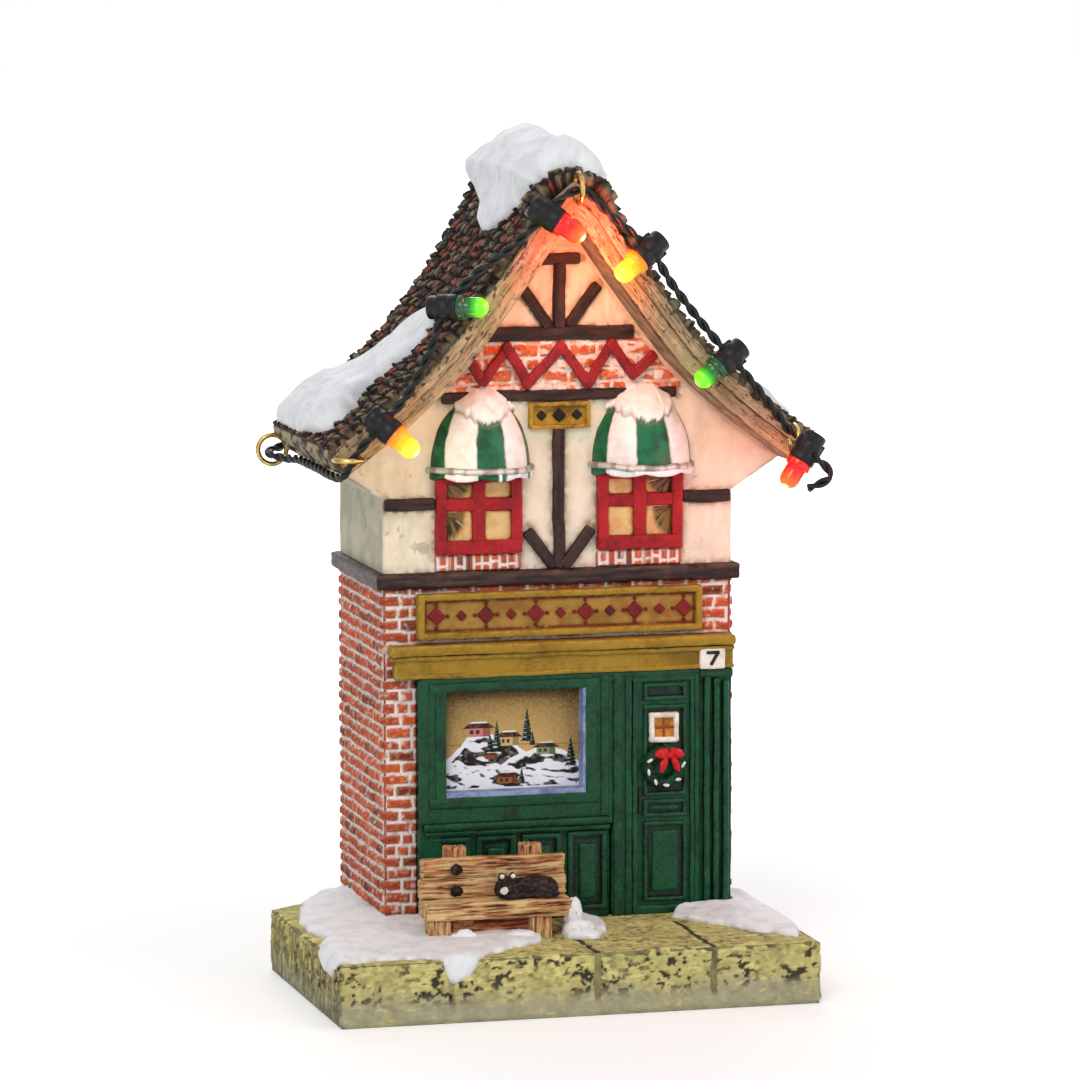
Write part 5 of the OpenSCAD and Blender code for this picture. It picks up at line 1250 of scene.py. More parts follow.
def ground_patch(piece, pairs, seed, thick=1.7):
    """a patch of snow that runs out over the slab's edge and hangs down where its line passes it"""
    outer, inner = [smooth_route([pair[k] for pair in pairs], 14) for k in (0, 1)]
    n = len(outer)
    v = np.concatenate([[0, 0.008], np.linspace(0.02, 1, 76)])
    uneven = noise3(outer[:, 0], outer[:, 1], np.zeros(n), 2.2, 3, seed) - 0.5
    outer = outer + unit(outer - inner) * (2.2 * uneven)[:, None]
    P2 = outer[:, None] * (1 - v[None, :, None]) + inner[:, None] * v[None, :, None]
    past_side, past_front = np.abs(P2[..., 0]) - SLAB_X, SLAB_Y - P2[..., 1]
    over = np.maximum(np.maximum(past_side, past_front), 0)
    P2[..., 0] = np.clip(P2[..., 0], -SLAB_X - HANG, SLAB_X + HANG)
    P2[..., 1] = np.maximum(P2[..., 1], SLAB_Y - HANG)
    P = np.concatenate([P2, (BASE_H + 0.2 - 1.5 * over)[..., None]], 2)
    tip = np.clip(over / 1.2, 0, 1)
    N = np.stack([np.sign(P2[..., 0]) * tip * (past_side > 0), -tip * (past_front > 0), 1 - 0.9 * tip], -1)
    rise = (1 - (1 - np.minimum(v * 6, 1)) ** 2) ** 0.5
    ends = np.clip(np.minimum(np.arange(n), np.arange(n)[::-1]) / 10.0, 0, 1) ** 0.5
    t = thick * rise * (0.5 + 0.6 * v ** 2) * (0.15 + 0.85 * ends[:, None])
    snow_blanket(piece, P, unit(N), np.where(over > 0, np.minimum(t, 1.0), t), seed, lump=0.32, flip=True)


SNOW_LUMP = dict(color=(240, 240, 243), dark=(222, 222, 228), light=(250, 250, 252))
# lumps by the bench: place and half sizes
HEAPS = [((2.3, -15.9, 12.9), (1.1, 1.1, 2.3)), ((2.9, -16.2, 10.4), (2.3, 1.5, 1.5)),
         ((-14.6, -16.4, 9.9), (2.0, 0.8, 1.3)), ((-6.2, -16.6, 9.6), (2.6, 1.3, 1.2))]


def snow_on_base():
    """the snow on either side of the door, with heaps by the bench"""
    left, right = Parts(), Parts()
    ground_patch(left, PATCH_LEFT, 71)
    ground_patch(left, PATCH_BENCH, 73, thick=1.9)
    for k, (at, half) in enumerate(HEAPS):
        blob(left, at, half, 75 + k, SNOW_LUMP, rough=0.22, detail=22)
    left.obj("snow_base_left", MAT["snow"], replaces=["snow_left"], slot="snow")
    ground_patch(right, PATCH_RIGHT, 72)
    right.obj("snow_base_right", MAT["snow"], replaces=["snow_right"], slot="snow")


snow_on_base()


# Plaster storey
def half_at(z):
    """half width of the front at each height, flared and then under the roof"""
    z = np.asarray(z, float)
    h = np.interp(z, UNDER[::-1, 1], UNDER[::-1, 0])
    wall = (RIGHT - LEFT) / 2
    flare = wall + (EAVE_X - wall) * (z - FLARE_Z) / (EAVE_Z - FLARE_Z)
    return np.where(z < FLARE_Z, wall, np.where(z < EAVE_Z, flare, h))


W_LOW, W_HIGH = float(half_at(FRIEZE_Z)), float(half_at(BEAM_TOP))
# each timber: its two ends in the front view and its width
TIMBERS = [((XC - W_LOW + 2.4, FRIEZE_Z - 0.8), (XC + W_LOW - 2.4, FRIEZE_Z - 0.8), 1.7),
           ((XC - W_HIGH + 0.6, FRIEZE_TOP + 1.1), (XC + W_HIGH - 0.6, FRIEZE_TOP + 1.1), 2.1),
           ((XC, BEAM_TOP - 0.2), (XC + 0.1, COLLAR_Z + 0.2), 1.8),
           ((XC - 3.2, COLLAR_Z + 0.8), (XC + 3.2, COLLAR_Z + 0.8), 1.7),
           ((XC - 1.5, BEAM_TOP - 0.1), (XC - 6.0, BEAM_TOP + 6.1), 1.7),
           ((XC + 1.5, BEAM_TOP - 0.1), (XC + 6.0, BEAM_TOP + 6.1), 1.7),
           ((XC, COURSE_TOP - 0.1), (XC, PLAQUE_Z + 0.2), 1.75),
           ((XC - 4.9, 67.9), (XC - 0.7, COURSE_TOP + 0.2), 1.8),
           ((XC + 4.9, 67.9), (XC + 0.7, COURSE_TOP + 0.2), 1.8),
           ((LEFT + 0.1, SIDE_TIMBER_Z), (-14.9, SIDE_TIMBER_Z), 1.9),
           ((23.1, SIDE_TIMBER_Z), (RIGHT - 0.1, SIDE_TIMBER_Z), 1.9)]


def shade_near_trim(x, z):
    """how much painted shade the plaster gets beside the timbers and windows, 0..1"""
    d = np.full(x.shape, 99.0)
    for a, b, w in TIMBERS:
        a, b = np.array(a), np.array(b)
        ab = b - a
        t = np.clip(((x - a[0]) * ab[0] + (z - a[1]) * ab[1]) / (ab @ ab), 0, 1)
        d = np.minimum(d, np.hypot(x - a[0] - t * ab[0], z - a[1] - t * ab[1]) - w / 2)
    for c in WINDOWS:
        d = np.minimum(d, np.hypot(np.maximum(np.abs(x - c) - WINDOW_HALF, 0),
                                   np.maximum(np.abs(z - WINDOW_MID) - 7.2, 0)))
    d = np.minimum(d, half_at(z) - np.abs(x - XC) + (z < 74) * 30)
    d = np.minimum(d, z - COURSE_TOP)
    return np.exp(-np.maximum(d, 0) / 0.5)


def storey_rings(zz):
    """points round the storey at each height, and which way each column faces"""
    wide, side = 170, 58
    across, deep = np.linspace(-1, 1, wide), np.linspace(0, 1, side + 2)[1:-1]
    rings = []
    for z, h in zip(zz, half_at(zz) - np.where(zz > EAVE_Z, 0.12, 0.0)):
        front = np.stack([XC + across * h, np.full(wide, FRONT)], 1)
        right = np.stack([np.full(side, XC + h), FRONT + (BACK - FRONT) * deep], 1)
        rear = np.stack([XC - across * h, np.full(wide, BACK)], 1)
        left = np.stack([np.full(side, XC - h), BACK + (FRONT - BACK) * deep], 1)
        rings.append(np.concatenate([front, right, rear, left]))
    face = np.repeat([0, 1, 2, 3], [wide, side, wide, side])
    nx = np.select([face == 1, face == 3], [1.0, -1.0], 0.0)
    ny = np.select([face == 0, face == 2], [-1.0, 1.0], 0.0)
    half_round = wide + side
    for corner, sx, sy in ((0, -1, -1), (wide - 1, 1, -1), (half_round, 1, 1),
                           (half_round + wide - 1, -1, 1)):
        nx[corner], ny[corner] = sx * 0.5, sy * 0.5
    return np.stack(rings, 1), nx[:, None], ny[:, None], face[:, None]


def plaster_tint(X, Y, Z, NY, face):
    """cream plaster, with painted shade: greyer on the left side, darker beside the timbers and windows,
    above the course beam and under the eave
    """
    cream, shade, trim_shade = lin((236, 226, 204)), lin((214, 205, 180)), lin((122, 98, 76))
    c = mix(cream, shade, 0.7 * step(0.42, 0.72, noise3(X, Y, Z, (2.2, 2.2, 5.0), 3, 105)))
    c = mix(c, lin((240, 234, 222)), 0.5 * step(0.5, 0.7, noise3(X, Y, Z, (0.9, 0.9, 3.0), 3, 106)))
    # the left side greyer: painted shade
    side = np.broadcast_to(face == 3, X.shape)
    c = mix(c, mix(lin((208, 204, 182)), lin((188, 185, 162)), step(0.4, 0.6, noise3(X, Y, Z, 3.0, 3, 104))),
            side * 0.9)
    # painted shade, in blotches: on the sides and back above the course beam and under the eave, on the front
    # beside the trim
    shade_off_front = 0.5 * np.exp(-(Z - COURSE_TOP) / 0.8) + 0.25 * np.exp(-np.abs(Z - EAVE_Z) / 0.9)
    g = np.where(NY < 0, shade_near_trim(X, Z), shade_off_front)
    c = mix(c, trim_shade, 0.8 * g * step(0.3, 0.62, noise3(X, Y, Z, 0.8, 3, 107)))
    speck = step(0.73, 0.8, noise3(X, Y, Z, 0.5, 2, 108)) * step(0.5, 0.7, noise3(X, Y, Z, 4, 2, 109))
    return mix(c, lin((120, 104, 86)), 0.5 * speck)


def plaster_storey():
    """the upper storey's four walls in one skin, tucked in under the roof"""
    p = Parts()
    zz = np.concatenate([np.arange(COURSE_TOP, FLARE_Z, 0.4), np.arange(FLARE_Z, EAVE_Z, 0.35),
                         np.arange(EAVE_Z, PLASTER_TOP, 0.4)])
    P, NX, NY, face = storey_rings(zz)
    X, Y = P[..., 0], P[..., 1]
    Z = np.broadcast_to(zz, X.shape)
    h = 0.12 + 0.3 * (noise3(X, Y, Z, 5.5, 2, 101) - 0.5) + 0.22 * (noise3(X, Y, Z, 1.4, 3, 102) - 0.5)
    h = h + 0.12 * (noise3(X, Y, Z, (0.4, 0.4, 1.6), 2, 103) - 0.5)
    h = np.where(np.minimum(Z - COURSE_TOP, PLASTER_TOP - Z) < 0.3, 0.05, h)
    under_roof = (Z > EAVE_Z - 0.4) & ((NY == 0) | (np.abs(X - XC) > half_at(Z) - 0.5))
    h = np.where(under_roof, np.minimum(h, -0.05), h)
    out = np.stack([X + NX * h, Y + NY * h, Z], -1)
    n, m = X.shape
    ends = [np.arange(n) * m, (np.arange(n) * m + m - 1)[::-1]]
    p.add(out, [grid(n, m, close_n=True)] + ends, plaster_tint(X, Y, Z, NY, face))
    p.obj("plaster_storey", MAT["plaster"], slot="plaster")


plaster_storey()
dress("upper_walls", "inner_plaster")

# Timbers
DARK, DARKER, WORN = (62, 44, 40), (32, 22, 21), (108, 82, 68)


def timber_frame():
    """the dark timbers on the gable and the wall"""
    p = Parts()
    for k, (a, b, w) in enumerate(TIMBERS):
        m, length = bar_frame(a, b, FRONT)
        bar(p, (0, -0.95 - 0.03 * (k % 3), -w / 2), (length, 0.3, w / 2), DARK, DARKER, r=0.42,
            size=(0.4, 0.3, 0.22), rough=0.09, warp=0.2, seed=200 + k, grain=0, matrix=m, wear=0.5,
            light=WORN)
    p.obj("timber_frame", MAT["timber"], replaces=["gable_timbers", "wall_timbers"], slot="dark_timber")


def course_beam():
    """the grained beam round the house between its storeys"""
    p = Parts()
    o = 1.3
    corners = [(LEFT - o, FRONT - o), (RIGHT + o, FRONT - o), (RIGHT + o, BACK + o), (LEFT - o, BACK + o)]
    xy, nrm, s = rounded_path(corners, 0.5, 0.35)
    # across the beam: depth from its face and height above its foot
    prof = [(1.9, 0.02), (0.9, 0.0), (0.35, 0.02), (0.1, 0.12), (0, 0.35), (0, 0.75), (0, 1.15), (0, 1.55),
            (0, 1.95), (0.1, 2.18), (0.35, 2.28), (0.8, 2.32), (1.3, 2.34), (1.9, 2.34)]
    X = np.stack([xy[:, 0] - nrm[:, 0] * a for a, b in prof], 1)
    Y = np.stack([xy[:, 1] - nrm[:, 1] * a for a, b in prof], 1)
    Z = np.broadcast_to([BRICK_TOP + b for a, b in prof], X.shape)
    d = noise3(X, Y, Z, (5, 5, 0.35), 3, 121) - 0.5
    wave = noise3(X, Y, Z * 0, 7, 2, 122) - 0.5
    near = np.array([1.0 if a < 0.5 else 0.0 for a, b in prof])
    h = (0.3 * d + 0.4 * wave) * near
    out = np.stack([X + nrm[:, :1] * h, Y + nrm[:, 1:] * h, Z + 0.5 * wave * near + 0.1 * d], -1)
    c = mix(lin(DARKER), lin(DARK), step(-0.14, 0.06, d))
    top_edge = (np.abs(np.arange(len(prof)) - 9) < 2) * step(0.45, 0.6, noise3(X, Y, Z, 1.2, 2, 123))
    c = mix(c, lin(WORN), 0.4 * step(0.08, 0.22, d) + 0.3 * top_edge)
    p.add(out, [grid(*X.shape, close_n=True, close_m=True)], c)
    p.obj("course_beam", MAT["timber"], replaces=["string_course"], slot="dark_timber")


timber_frame()
course_beam()


# Frieze with its zigzag
def frieze_brickwork():
    """the loosely painted bricks between two timbers of the gable"""
    p = Parts()
    uu = np.linspace(-1, 1, 260)
    U, Z = np.meshgrid(uu, np.linspace(FRIEZE_Z, FRIEZE_TOP, 54), indexing="ij")
    X = XC + U * (half_at(Z) - 1.0)
    h, c = brickwork(X + 60, Z + 0.6 * (noise3(X, X * 0, Z, 3.0, 2, 130) - 0.5), X, X * 0, pitch=1.95,
                     length=4.4, joint=0.34, seed=131, depth=0.36, dark=-0.1)
    c = mix(c, lin((214, 124, 86)), 0.6 * step(0.46, 0.62, noise3(X, X * 0, Z, 1.7, 3, 133)))
    c = mix(c, lin((240, 222, 214)), 0.85 * step(0.52, 0.6, noise3(X, X * 0, Z, (1.5, 1, 0.9), 3, 132)))
    out = np.stack([X, FRONT - 0.28 - h, Z], -1)
    b0, b1 = [points(XC + uu * (half_at(z) - 1.0), FRONT + 0.3, z) for z in (FRIEZE_Z, FRIEZE_TOP)]
    skin(p, out, b0, b1, c)
    p.obj("frieze_brickwork", MAT["brick"], replaces=["frieze_bricks"], slot="brick")


# the painted line's turns: across from the middle, and height above the frieze's foot
ZIGZAG = [(-13.4, 4.3), (-11.9, 1.5), (-8.1, 6.6), (-5.0, 1.0), (0.3, 6.6), (4.2, 0.9), (8.0, 6.6),
          (11.3, 2.1), (14.4, 4.6)]


def zigzag():
    """the red line across the frieze"""
    p = Parts()
    for i, (a, b) in enumerate(zip(ZIGZAG, ZIGZAG[1:])):
        m, length = bar_frame((XC + a[0], FRIEZE_Z + a[1]), (XC + b[0], FRIEZE_Z + b[1]), FRONT - 0.5)
        bar(p, (-0.6, -0.8, -0.8), (length + 0.6, 0.1, 0.8), (150, 30, 36), (98, 16, 24), r=0.5,
            size=(0.4, 0.25, 0.25), rough=0.06, warp=0.34, seed=140 + i, matrix=m, wear=0.3,
            light=(186, 70, 64))
    p.obj("zigzag", MAT["red"], replaces=["frieze_zigzag"], slot="red")


def date_plaque():
    """a framed gold plate with three plain studs"""
    p = Parts()
    gold = dict(color=(178, 142, 52), dark=(112, 84, 30), light=(222, 192, 108))
    x0, x1, z0, z1, frame_w = XC - 4.7, XC + 4.7, PLAQUE_Z, PLAQUE_Z + 4.0, 0.62
    bar(p, (x0 + 0.2, -0.75, z0 + 0.2), (x1 - 0.2, -0.1, z1 - 0.2), r=0.1, size=0.3, rough=0.05, warp=0.04,
        seed=150, **gold)
    for k, (a, b, c, d) in enumerate(four_sides(x0, x1, z0, z1, frame_w)):
        bar(p, (a, -1.5, c), (b, -0.2, d), r=0.28, size=0.3, rough=0.05, warp=0.1, seed=151 + k,
            wear=0.5, **gold)
    for k, (dx, q) in enumerate(((-2.7, 0.6), (0.0, 0.78), (2.7, 0.6))):
        bar(p, (-q, -0.4, -q), (q, 0.2, q), (36, 28, 22), (20, 16, 13), r=0.2, size=0.22, rough=0.03,
            warp=0.04, seed=156 + k, matrix=turned(XC + dx, -0.72, z0 + 2.0, math.pi / 4))
    p.obj("date_plaque", MAT["ochre"], replaces=["plaque"], slot="gold")


frieze_brickwork()
zigzag()
date_plaque()


# Upper windows
# bars of a window: left, right, foot and top from its middle, and how far forward each stands
WINDOW_BARS = [(-WINDOW_HALF, -4.9, WINDOW_FOOT, 76.1, -1.6), (4.9, WINDOW_HALF, WINDOW_FOOT, 76.1, -1.6),
               (-WINDOW_HALF, WINDOW_HALF, WINDOW_FOOT, 66.7, -1.7),
               (-WINDOW_HALF, WINDOW_HALF, 75.2, 76.2, -1.6),
               (-1.0, 1.0, 66.0, 75.6, -1.45), (-5.2, 5.2, 71.0, 73.0, -1.4)]


def window_bars(c, side):
    """one window's red frame and cross"""
    p = Parts()
    red = dict(color=(172, 28, 36), dark=(116, 14, 22), light=(206, 80, 74))
    seed = {"left": 160, "right": 175}[side]
    for i, (x0, x1, z0, z1, y0) in enumerate(WINDOW_BARS):
        bar(p, (c + x0, y0, z0), (c + x1, -0.2, z1), r=0.34, size=0.33, rough=0.07, warp=0.14, seed=seed + i,
            wear=0.35, blotch=4.0, **red)
    p.obj(f"window_bars_{side}", MAT["red"], replaces=[f"window_frame_{side}"], slot="red")


def curtain(t, x, Z, corner, top, reach, hang, seed):
    """brushed folds fanning down from an upper corner of a pane"""
    sx = np.abs(x - corner)
    dz = top - Z
    rad = np.hypot(sx / reach, dz / hang)
    streak = noise3(np.arctan2(dz, sx) * 10, rad * 1.2, x * 0, 1.0, 3, seed)
    inside = (dz > 0) & (rad < 1.1)
    fold = mix(lin((34, 26, 12)), lin((128, 98, 44)), step(0.45, 0.6, streak))
    return mix(t, fold, np.where(inside, step(1.1, 0.8, rad) * step(0.28, 0.42, streak + 0.1), 0.0))


def window_glass():
    """amber panes, lighter in their middles, with a curtain drawn to each window's outer side"""
    p = Parts()
    for w, c in enumerate(WINDOWS):
        X, Z = np.meshgrid(np.linspace(c - 5.3, c + 5.3, 120), np.linspace(65.6, 75.6, 110), indexing="ij")
        x = X - c
        cx, cz = np.where(x < 0, -2.95, 2.95), np.where(Z < 72.0, 68.85, 74.1)
        hx, hz = 1.9, np.where(Z < 72.0, 2.1, 1.0)
        q = np.maximum(np.abs(x - cx) - hx + 0.7, 0) ** 2 + np.maximum(np.abs(Z - cz) - hz + 0.6, 0) ** 2
        lightness = 1 - step(0.15, 1.3, q + 0.5 * (noise3(X, X * 0, Z, 0.8, 2, 180 + w) - 0.5))
        t = mix(lin((134, 66, 28)), lin((226, 190, 130)), lightness)
        t = mix(t, lin((198, 140, 76)), 0.5 * step(0.45, 0.7, noise3(X, X * 0, Z, 1.3, 3, 182 + w)))
        corner = -4.9 if w == 0 else 4.9
        own = (x < -0.5) if w == 0 else (x > 0.5)
        drawn = curtain(t, x, Z, corner, 75.4, 3.9, 3.2, 185 + w)
        drawn = curtain(drawn, x, Z, corner, 70.9, 3.0, 4.6, 187 + w)
        t = np.where(own[..., None], drawn, t)
        out = np.stack([X, -0.55 - 0.22 * lightness - 0.08 * noise3(X, X * 0, Z, 0.8, 2, 189), Z], -1)
        skin(p, out, points(X[:, 0], -0.1, Z[:, 0]), points(X[:, -1], -0.1, Z[:, -1]), t)
    p.obj("window_glass", MAT["pane"], replaces=["window_panes"], slot="amber_pane")


for c, side in zip(WINDOWS, ("left", "right")):
    window_bars(c, side)
window_glass()

# Awnings: a green and white dome with a cap of snow
AWNING_R, AWNING_RIM, AWNING_RISE, AWNING_Y = 8.0, 77.75, 10.9, 2.1
# heights between which an awning's back meets the wall
AWNING_LOW, AWNING_HIGH = 76.2, 88.2
# where green changes to white, in degrees round from straight ahead
STRIPES = {"left": (-49.6, -12.3, 19.5, 55.0), "right": (-50.5, -16.0, 23.0, 61.0)}


def awning_shape():
    """radius and height of the awning: a short skirt, then the dome"""
    skirt = [(8.0, 76.0), (8.12, 76.12), (8.18, 76.4), (8.14, 76.7), (8.06, 77.0), (8.0, 77.3), (8.0, 77.6),
             (8.0, 77.75)]
    a = np.radians(np.linspace(0, 74, 76))[1:]
    return np.array(skirt + [(AWNING_R * math.cos(v), AWNING_RIM + AWNING_RISE * math.sin(v)) for v in a])


def awning_look(side, k, X, Y, Z, deg):
    """stripes, dabs of snow on the skirt and the snow cap, a painted shadow under the cap's edge and painted
    shade where the dome meets the wall: colours, how far each place stands out, the cap
    """
    d = deg + 5.0 * (noise3(X, Y, Z, (3, 3, 2.2), 2, 190 + k) - 0.5)
    e = STRIPES[side]
    green = (d < e[0]) | ((d > e[1]) & (d < e[2])) | (d > e[3])
    drip = noise3(deg / 12.0, deg * 0, deg * 0, 1.0, 3, 192 + k) - 0.5
    line = 85.3 + 2.6 * drip - 0.9 * np.cos(np.radians(deg * 3.1))
    cap = step(-0.18, 0.18, Z - line)
    dabs = noise3(deg / 7.0, deg * 0, deg * 0 + k, 1.0, 2, 194) > 0.62 - 0.2 * k
    rim_snow = (Z < 77.3) & dabs & (deg > -45)
    paint = mix(lin((6, 66, 40)), lin((14, 104, 66)), step(0.3, 0.6, noise3(X, Y, Z, 1.6, 3, 196)))
    white = mix(lin((246, 244, 244)), lin((230, 226, 225)), step(0.5, 0.75, noise3(X, Y, Z, 2.0, 3, 197)))
    t = np.where((green & (cap < 0.5))[..., None], paint, white)
    seam = np.exp(-(np.min([np.abs(d - q) for q in e], 0) / 1.3) ** 2) * (cap < 0.5)
    t = mix(t, lin((96, 112, 96)), 0.5 * seam)
    t = np.where(rim_snow[..., None], lin((246, 246, 248)), t)
    # painted shadow under the snow cap's edge
    t = mix(t, lin((120, 104, 84)), 0.6 * (1 - step(0.0, 0.35, np.abs(line - 0.3 - Z))))
    # painted shade at the dome's ends, where it meets the wall
    t = mix(t, lin((70, 60, 50)), 0.6 * step(66, 72, np.abs(deg)) * (Z < 87))
    h = cap * (0.75 + 0.7 * (noise3(X, Y, Z, 1.8, 3, 198 + k) - 0.4))
    h = h + 0.16 * (noise3(X, Y, Z, 2.4, 2, 199) - 0.5)
    return t, h + np.where(green, 0.0, 0.1) + np.where(rim_snow, 0.35, 0), cap


def awning(c, side):
    """one awning: a dome on a short skirt, with its snow in the same skin"""
    p = Parts()
    k = {"left": 0, "right": 1}[side]
    radius, height = awning_shape().T
    columns = 170
    R, Z = [np.broadcast_to(row, (columns, len(row))) for row in (radius, height)]
    to_wall = np.arccos(np.clip((AWNING_Y + 0.15) / np.maximum(R, 2.26), -1, 1))
    phi = np.linspace(-1, 1, columns)[:, None] * to_wall
    deg = np.degrees(phi)
    X, Y = c + R * np.sin(phi), AWNING_Y - R * np.cos(phi)
    t, h, cap = awning_look(side, k, X, Y, Z, deg)
    scallop = np.where(Z < 76.5, 0.5 * (np.abs(np.sin(np.radians(deg * 4.2 + 30))) - 0.6), 0)
    steep = np.clip((Z - AWNING_RIM) / 11, 0, 1)
    crest = cap * steep ** 3 * 1.3 * np.clip(noise3(X, Y, Z, 2.6, 2, 205 + k) - 0.35, 0, 1)
    out = np.stack([X + np.sin(phi) * h * (1 - 0.6 * steep), Y - np.cos(phi) * h * (1 - 0.6 * steep),
                    Z - scallop + h * steep * 1.2 + crest], -1)
    skin(p, out, points(X[:, 0], -0.05, AWNING_LOW), points(X[:, -1], -0.05, AWNING_HIGH), t)
    covered = [f"awning_{side}"] + (["awning_snow"] if side == "left" else [])
    p.obj(f"awning_cloth_{side}", MAT["awning"], replaces=covered, slot="awning_paint")


def awning_bands():
    """a dented metal band round the foot of each awning"""
    p = Parts()
    for side, c in enumerate(AWNINGS):
        phi = np.radians(np.linspace(-73, 73, 130))
        deg = np.degrees(phi)
        zero = deg * 0
        rr = 8.24 + 0.16 * (noise3(deg / 12, zero, zero + side * 5, 1.0, 2, 210) - 0.5)
        height = 77.3 + 0.6 * (noise3(deg / 22, zero, zero + side * 7, 1.0, 2, 211) - 0.5)
        thick = 0.5 + 0.14 * (noise3(deg / 6, zero, zero, 1.0, 2, 212 + side) - 0.5)
        tone = mix(lin((206, 204, 200)), lin((150, 146, 140)),
                   step(0.4, 0.7, noise3(deg / 5, zero, zero, 1.0, 3, 214)))
        tube(p, np.stack([c + rr * np.sin(phi), AWNING_Y - rr * np.cos(phi), height], 1), thick, 10,
             np.repeat(tone, 10, 0))
    p.obj("awning_bands", MAT["silver"], replaces=["awning_rails"], slot="silver_paint")


for c, side in zip(AWNINGS, ("left", "right")):
    awning(c, side)
awning_bands()


# Shopfront
GREEN = dict(color=(9, 74, 42), dark=(3, 36, 21), light=(44, 118, 82))
# near-black green: painted shade in the crevices, and also the colour of the dark wash
SHADE_AND_WASH = lin((1, 15, 9))
WIN_X0, WIN_X1, WIN_Z1 = -14.2, 8.2, 44.7
DOOR_X0, DOOR_X1, DOOR_TOP = POST_R, 24.95, 45.3


def green_bar(parts, lo, hi, seed, **kw):
    """one painted moulding: painted shade on its side faces, light along its worn edges"""
    a = dict(r=0.24, size=(0.45, 0.3, 0.45), rough=0.05, warp=0.1)
    a.update(kw)

    def tint(co, d, edge):
        t = painted(co, GREEN["color"], GREEN["dark"], edge, seed, wear=0.42, light=GREEN["light"],
                    blotch=3.6)
        # painted shade on the faces behind the moulding's front; dark wash pooled at random
        deep = step(lo[1] + 0.22, lo[1] + 0.5, co[:, 1])
        pool = step(0.55, 0.75, fbm(co / 1.1, 3, seed + 4))
        return mix(t, SHADE_AND_WASH, np.clip(0.92 * deep + 0.35 * pool, 0, 1))

    bar(parts, lo, hi, None, None, seed=seed, tint=tint, **a)


def green_frame(parts, x0, x1, z0, z1, w, y0, y1, seed, **kw):
    """four mouldings round an opening, w wide"""
    for k, (a, b, c, d) in enumerate(four_sides(x0, x1, z0, z1, w)):
        green_bar(parts, (a, y0, c), (b, y1, d), seed + k, **kw)


def dark_panel(parts, x0, x1, z0, z1, y, seed):
    """a recess behind a frame, with painted shade nearly black beside the frame and green in its middle"""
    def tint(co, d, edge):
        e = np.minimum(np.minimum(co[:, 0] - x0, x1 - co[:, 0]), np.minimum(co[:, 2] - z0, z1 - co[:, 2]))
        t = painted(co, GREEN["color"], GREEN["dark"], edge * 0, seed, blotch=2.6)
        # painted shade, nearly black next to the frame
        return mix(SHADE_AND_WASH, t, step(0.35, 1.1, e + 0.4 * (fbm(co / 0.8, 2, seed + 3) - 0.5)))

    bar(parts, (x0, y, z0), (x1, y + 0.5, z1), None, None, r=0.06, size=(0.25, 0.4, 0.3), rough=0.05,
        warp=0.02, seed=seed, tint=tint)


# posts and rails of the shopfront: lowest and highest corners, seed, and edge radius where it isn't the usual
JOINERY = [((POST_L, -1.75, FLOOR_Z), (-14.2, -0.2, 46.3), 300),
           ((POST_L, -2.05, 24.3), (-16.3, -0.6, 46.25), 301),
           ((-17.0, -1.8, 44.8), (25.6, -0.2, 46.3), 302),
           ((-17.6, -2.05, 45.6), (25.6, -0.8, 46.3), 303, 0.16),
           ((8.15, -1.7, 23.9), (12.6, -0.2, 46.0), 304),
           ((12.0, -1.7, FLOOR_Z), (POST_R, -0.2, 46.0), 309),
           ((10.3, -2.05, 24.4), (11.5, -1.2, 45.9), 305, 0.3),
           ((12.2, -2.15, FLOOR_Z), (13.5, -1.2, 46.1), 306, 0.3),
           ((14.05, -2.05, FLOOR_Z), (15.1, -1.2, 46.1), 307, 0.3),
           ((-14.4, -1.7, 23.9), (8.4, -0.2, 27.9), 308)]
# the lips round the window: left, right, foot and top
LIPS = [(-16.2, 9.9, 26.6, 28.25), (-16.2, 9.9, 44.05, 45.5), (-15.2, -13.5, 27.2, 45.0),
        (7.95, 9.6, 27.2, 45.0)]
# beside and over the door
DOOR_POST = [((DOOR_X1, -1.9, FLOOR_Z), (25.7, -0.2, 46.1), 316),
             ((15.0, -1.9, 45.1), (25.6, -0.2, 46.2), 317)]


def green_bars(parts, rows):
    """mouldings from rows of two corners, a seed and sometimes an edge radius"""
    for lo, hi, seed, *radius in rows:
        green_bar(parts, lo, hi, seed, r=radius[0] if radius else 0.24)


def shop_joinery():
    """the shopfront's posts, rails and lips"""
    p = Parts()
    green_bars(p, JOINERY)
    for k, (x0, x1, z0, z1) in enumerate(LIPS):
        green_bar(p, (x0, -2.0, z0), (x1, -1.35, z1), 310 + k, r=0.3, size=(0.4, 0.25, 0.35))
    green_bars(p, DOOR_POST)
    p.obj("shop_joinery", MAT["green"], replaces=["shopfront_frame"], slot="shop_green")


def sill_board():
    """the window's sill in two steps"""
    p = Parts()
    green_bars(p, [((-17.2, -2.8, 23.4), (11.9, -1.3, 24.6), 320, 0.4),
                   ((-16.9, -2.3, 22.6), (11.7, -1.2, 23.4), 321, 0.3)])
    p.obj("sill_board", MAT["green"], replaces=["window_sill"], slot="shop_green")


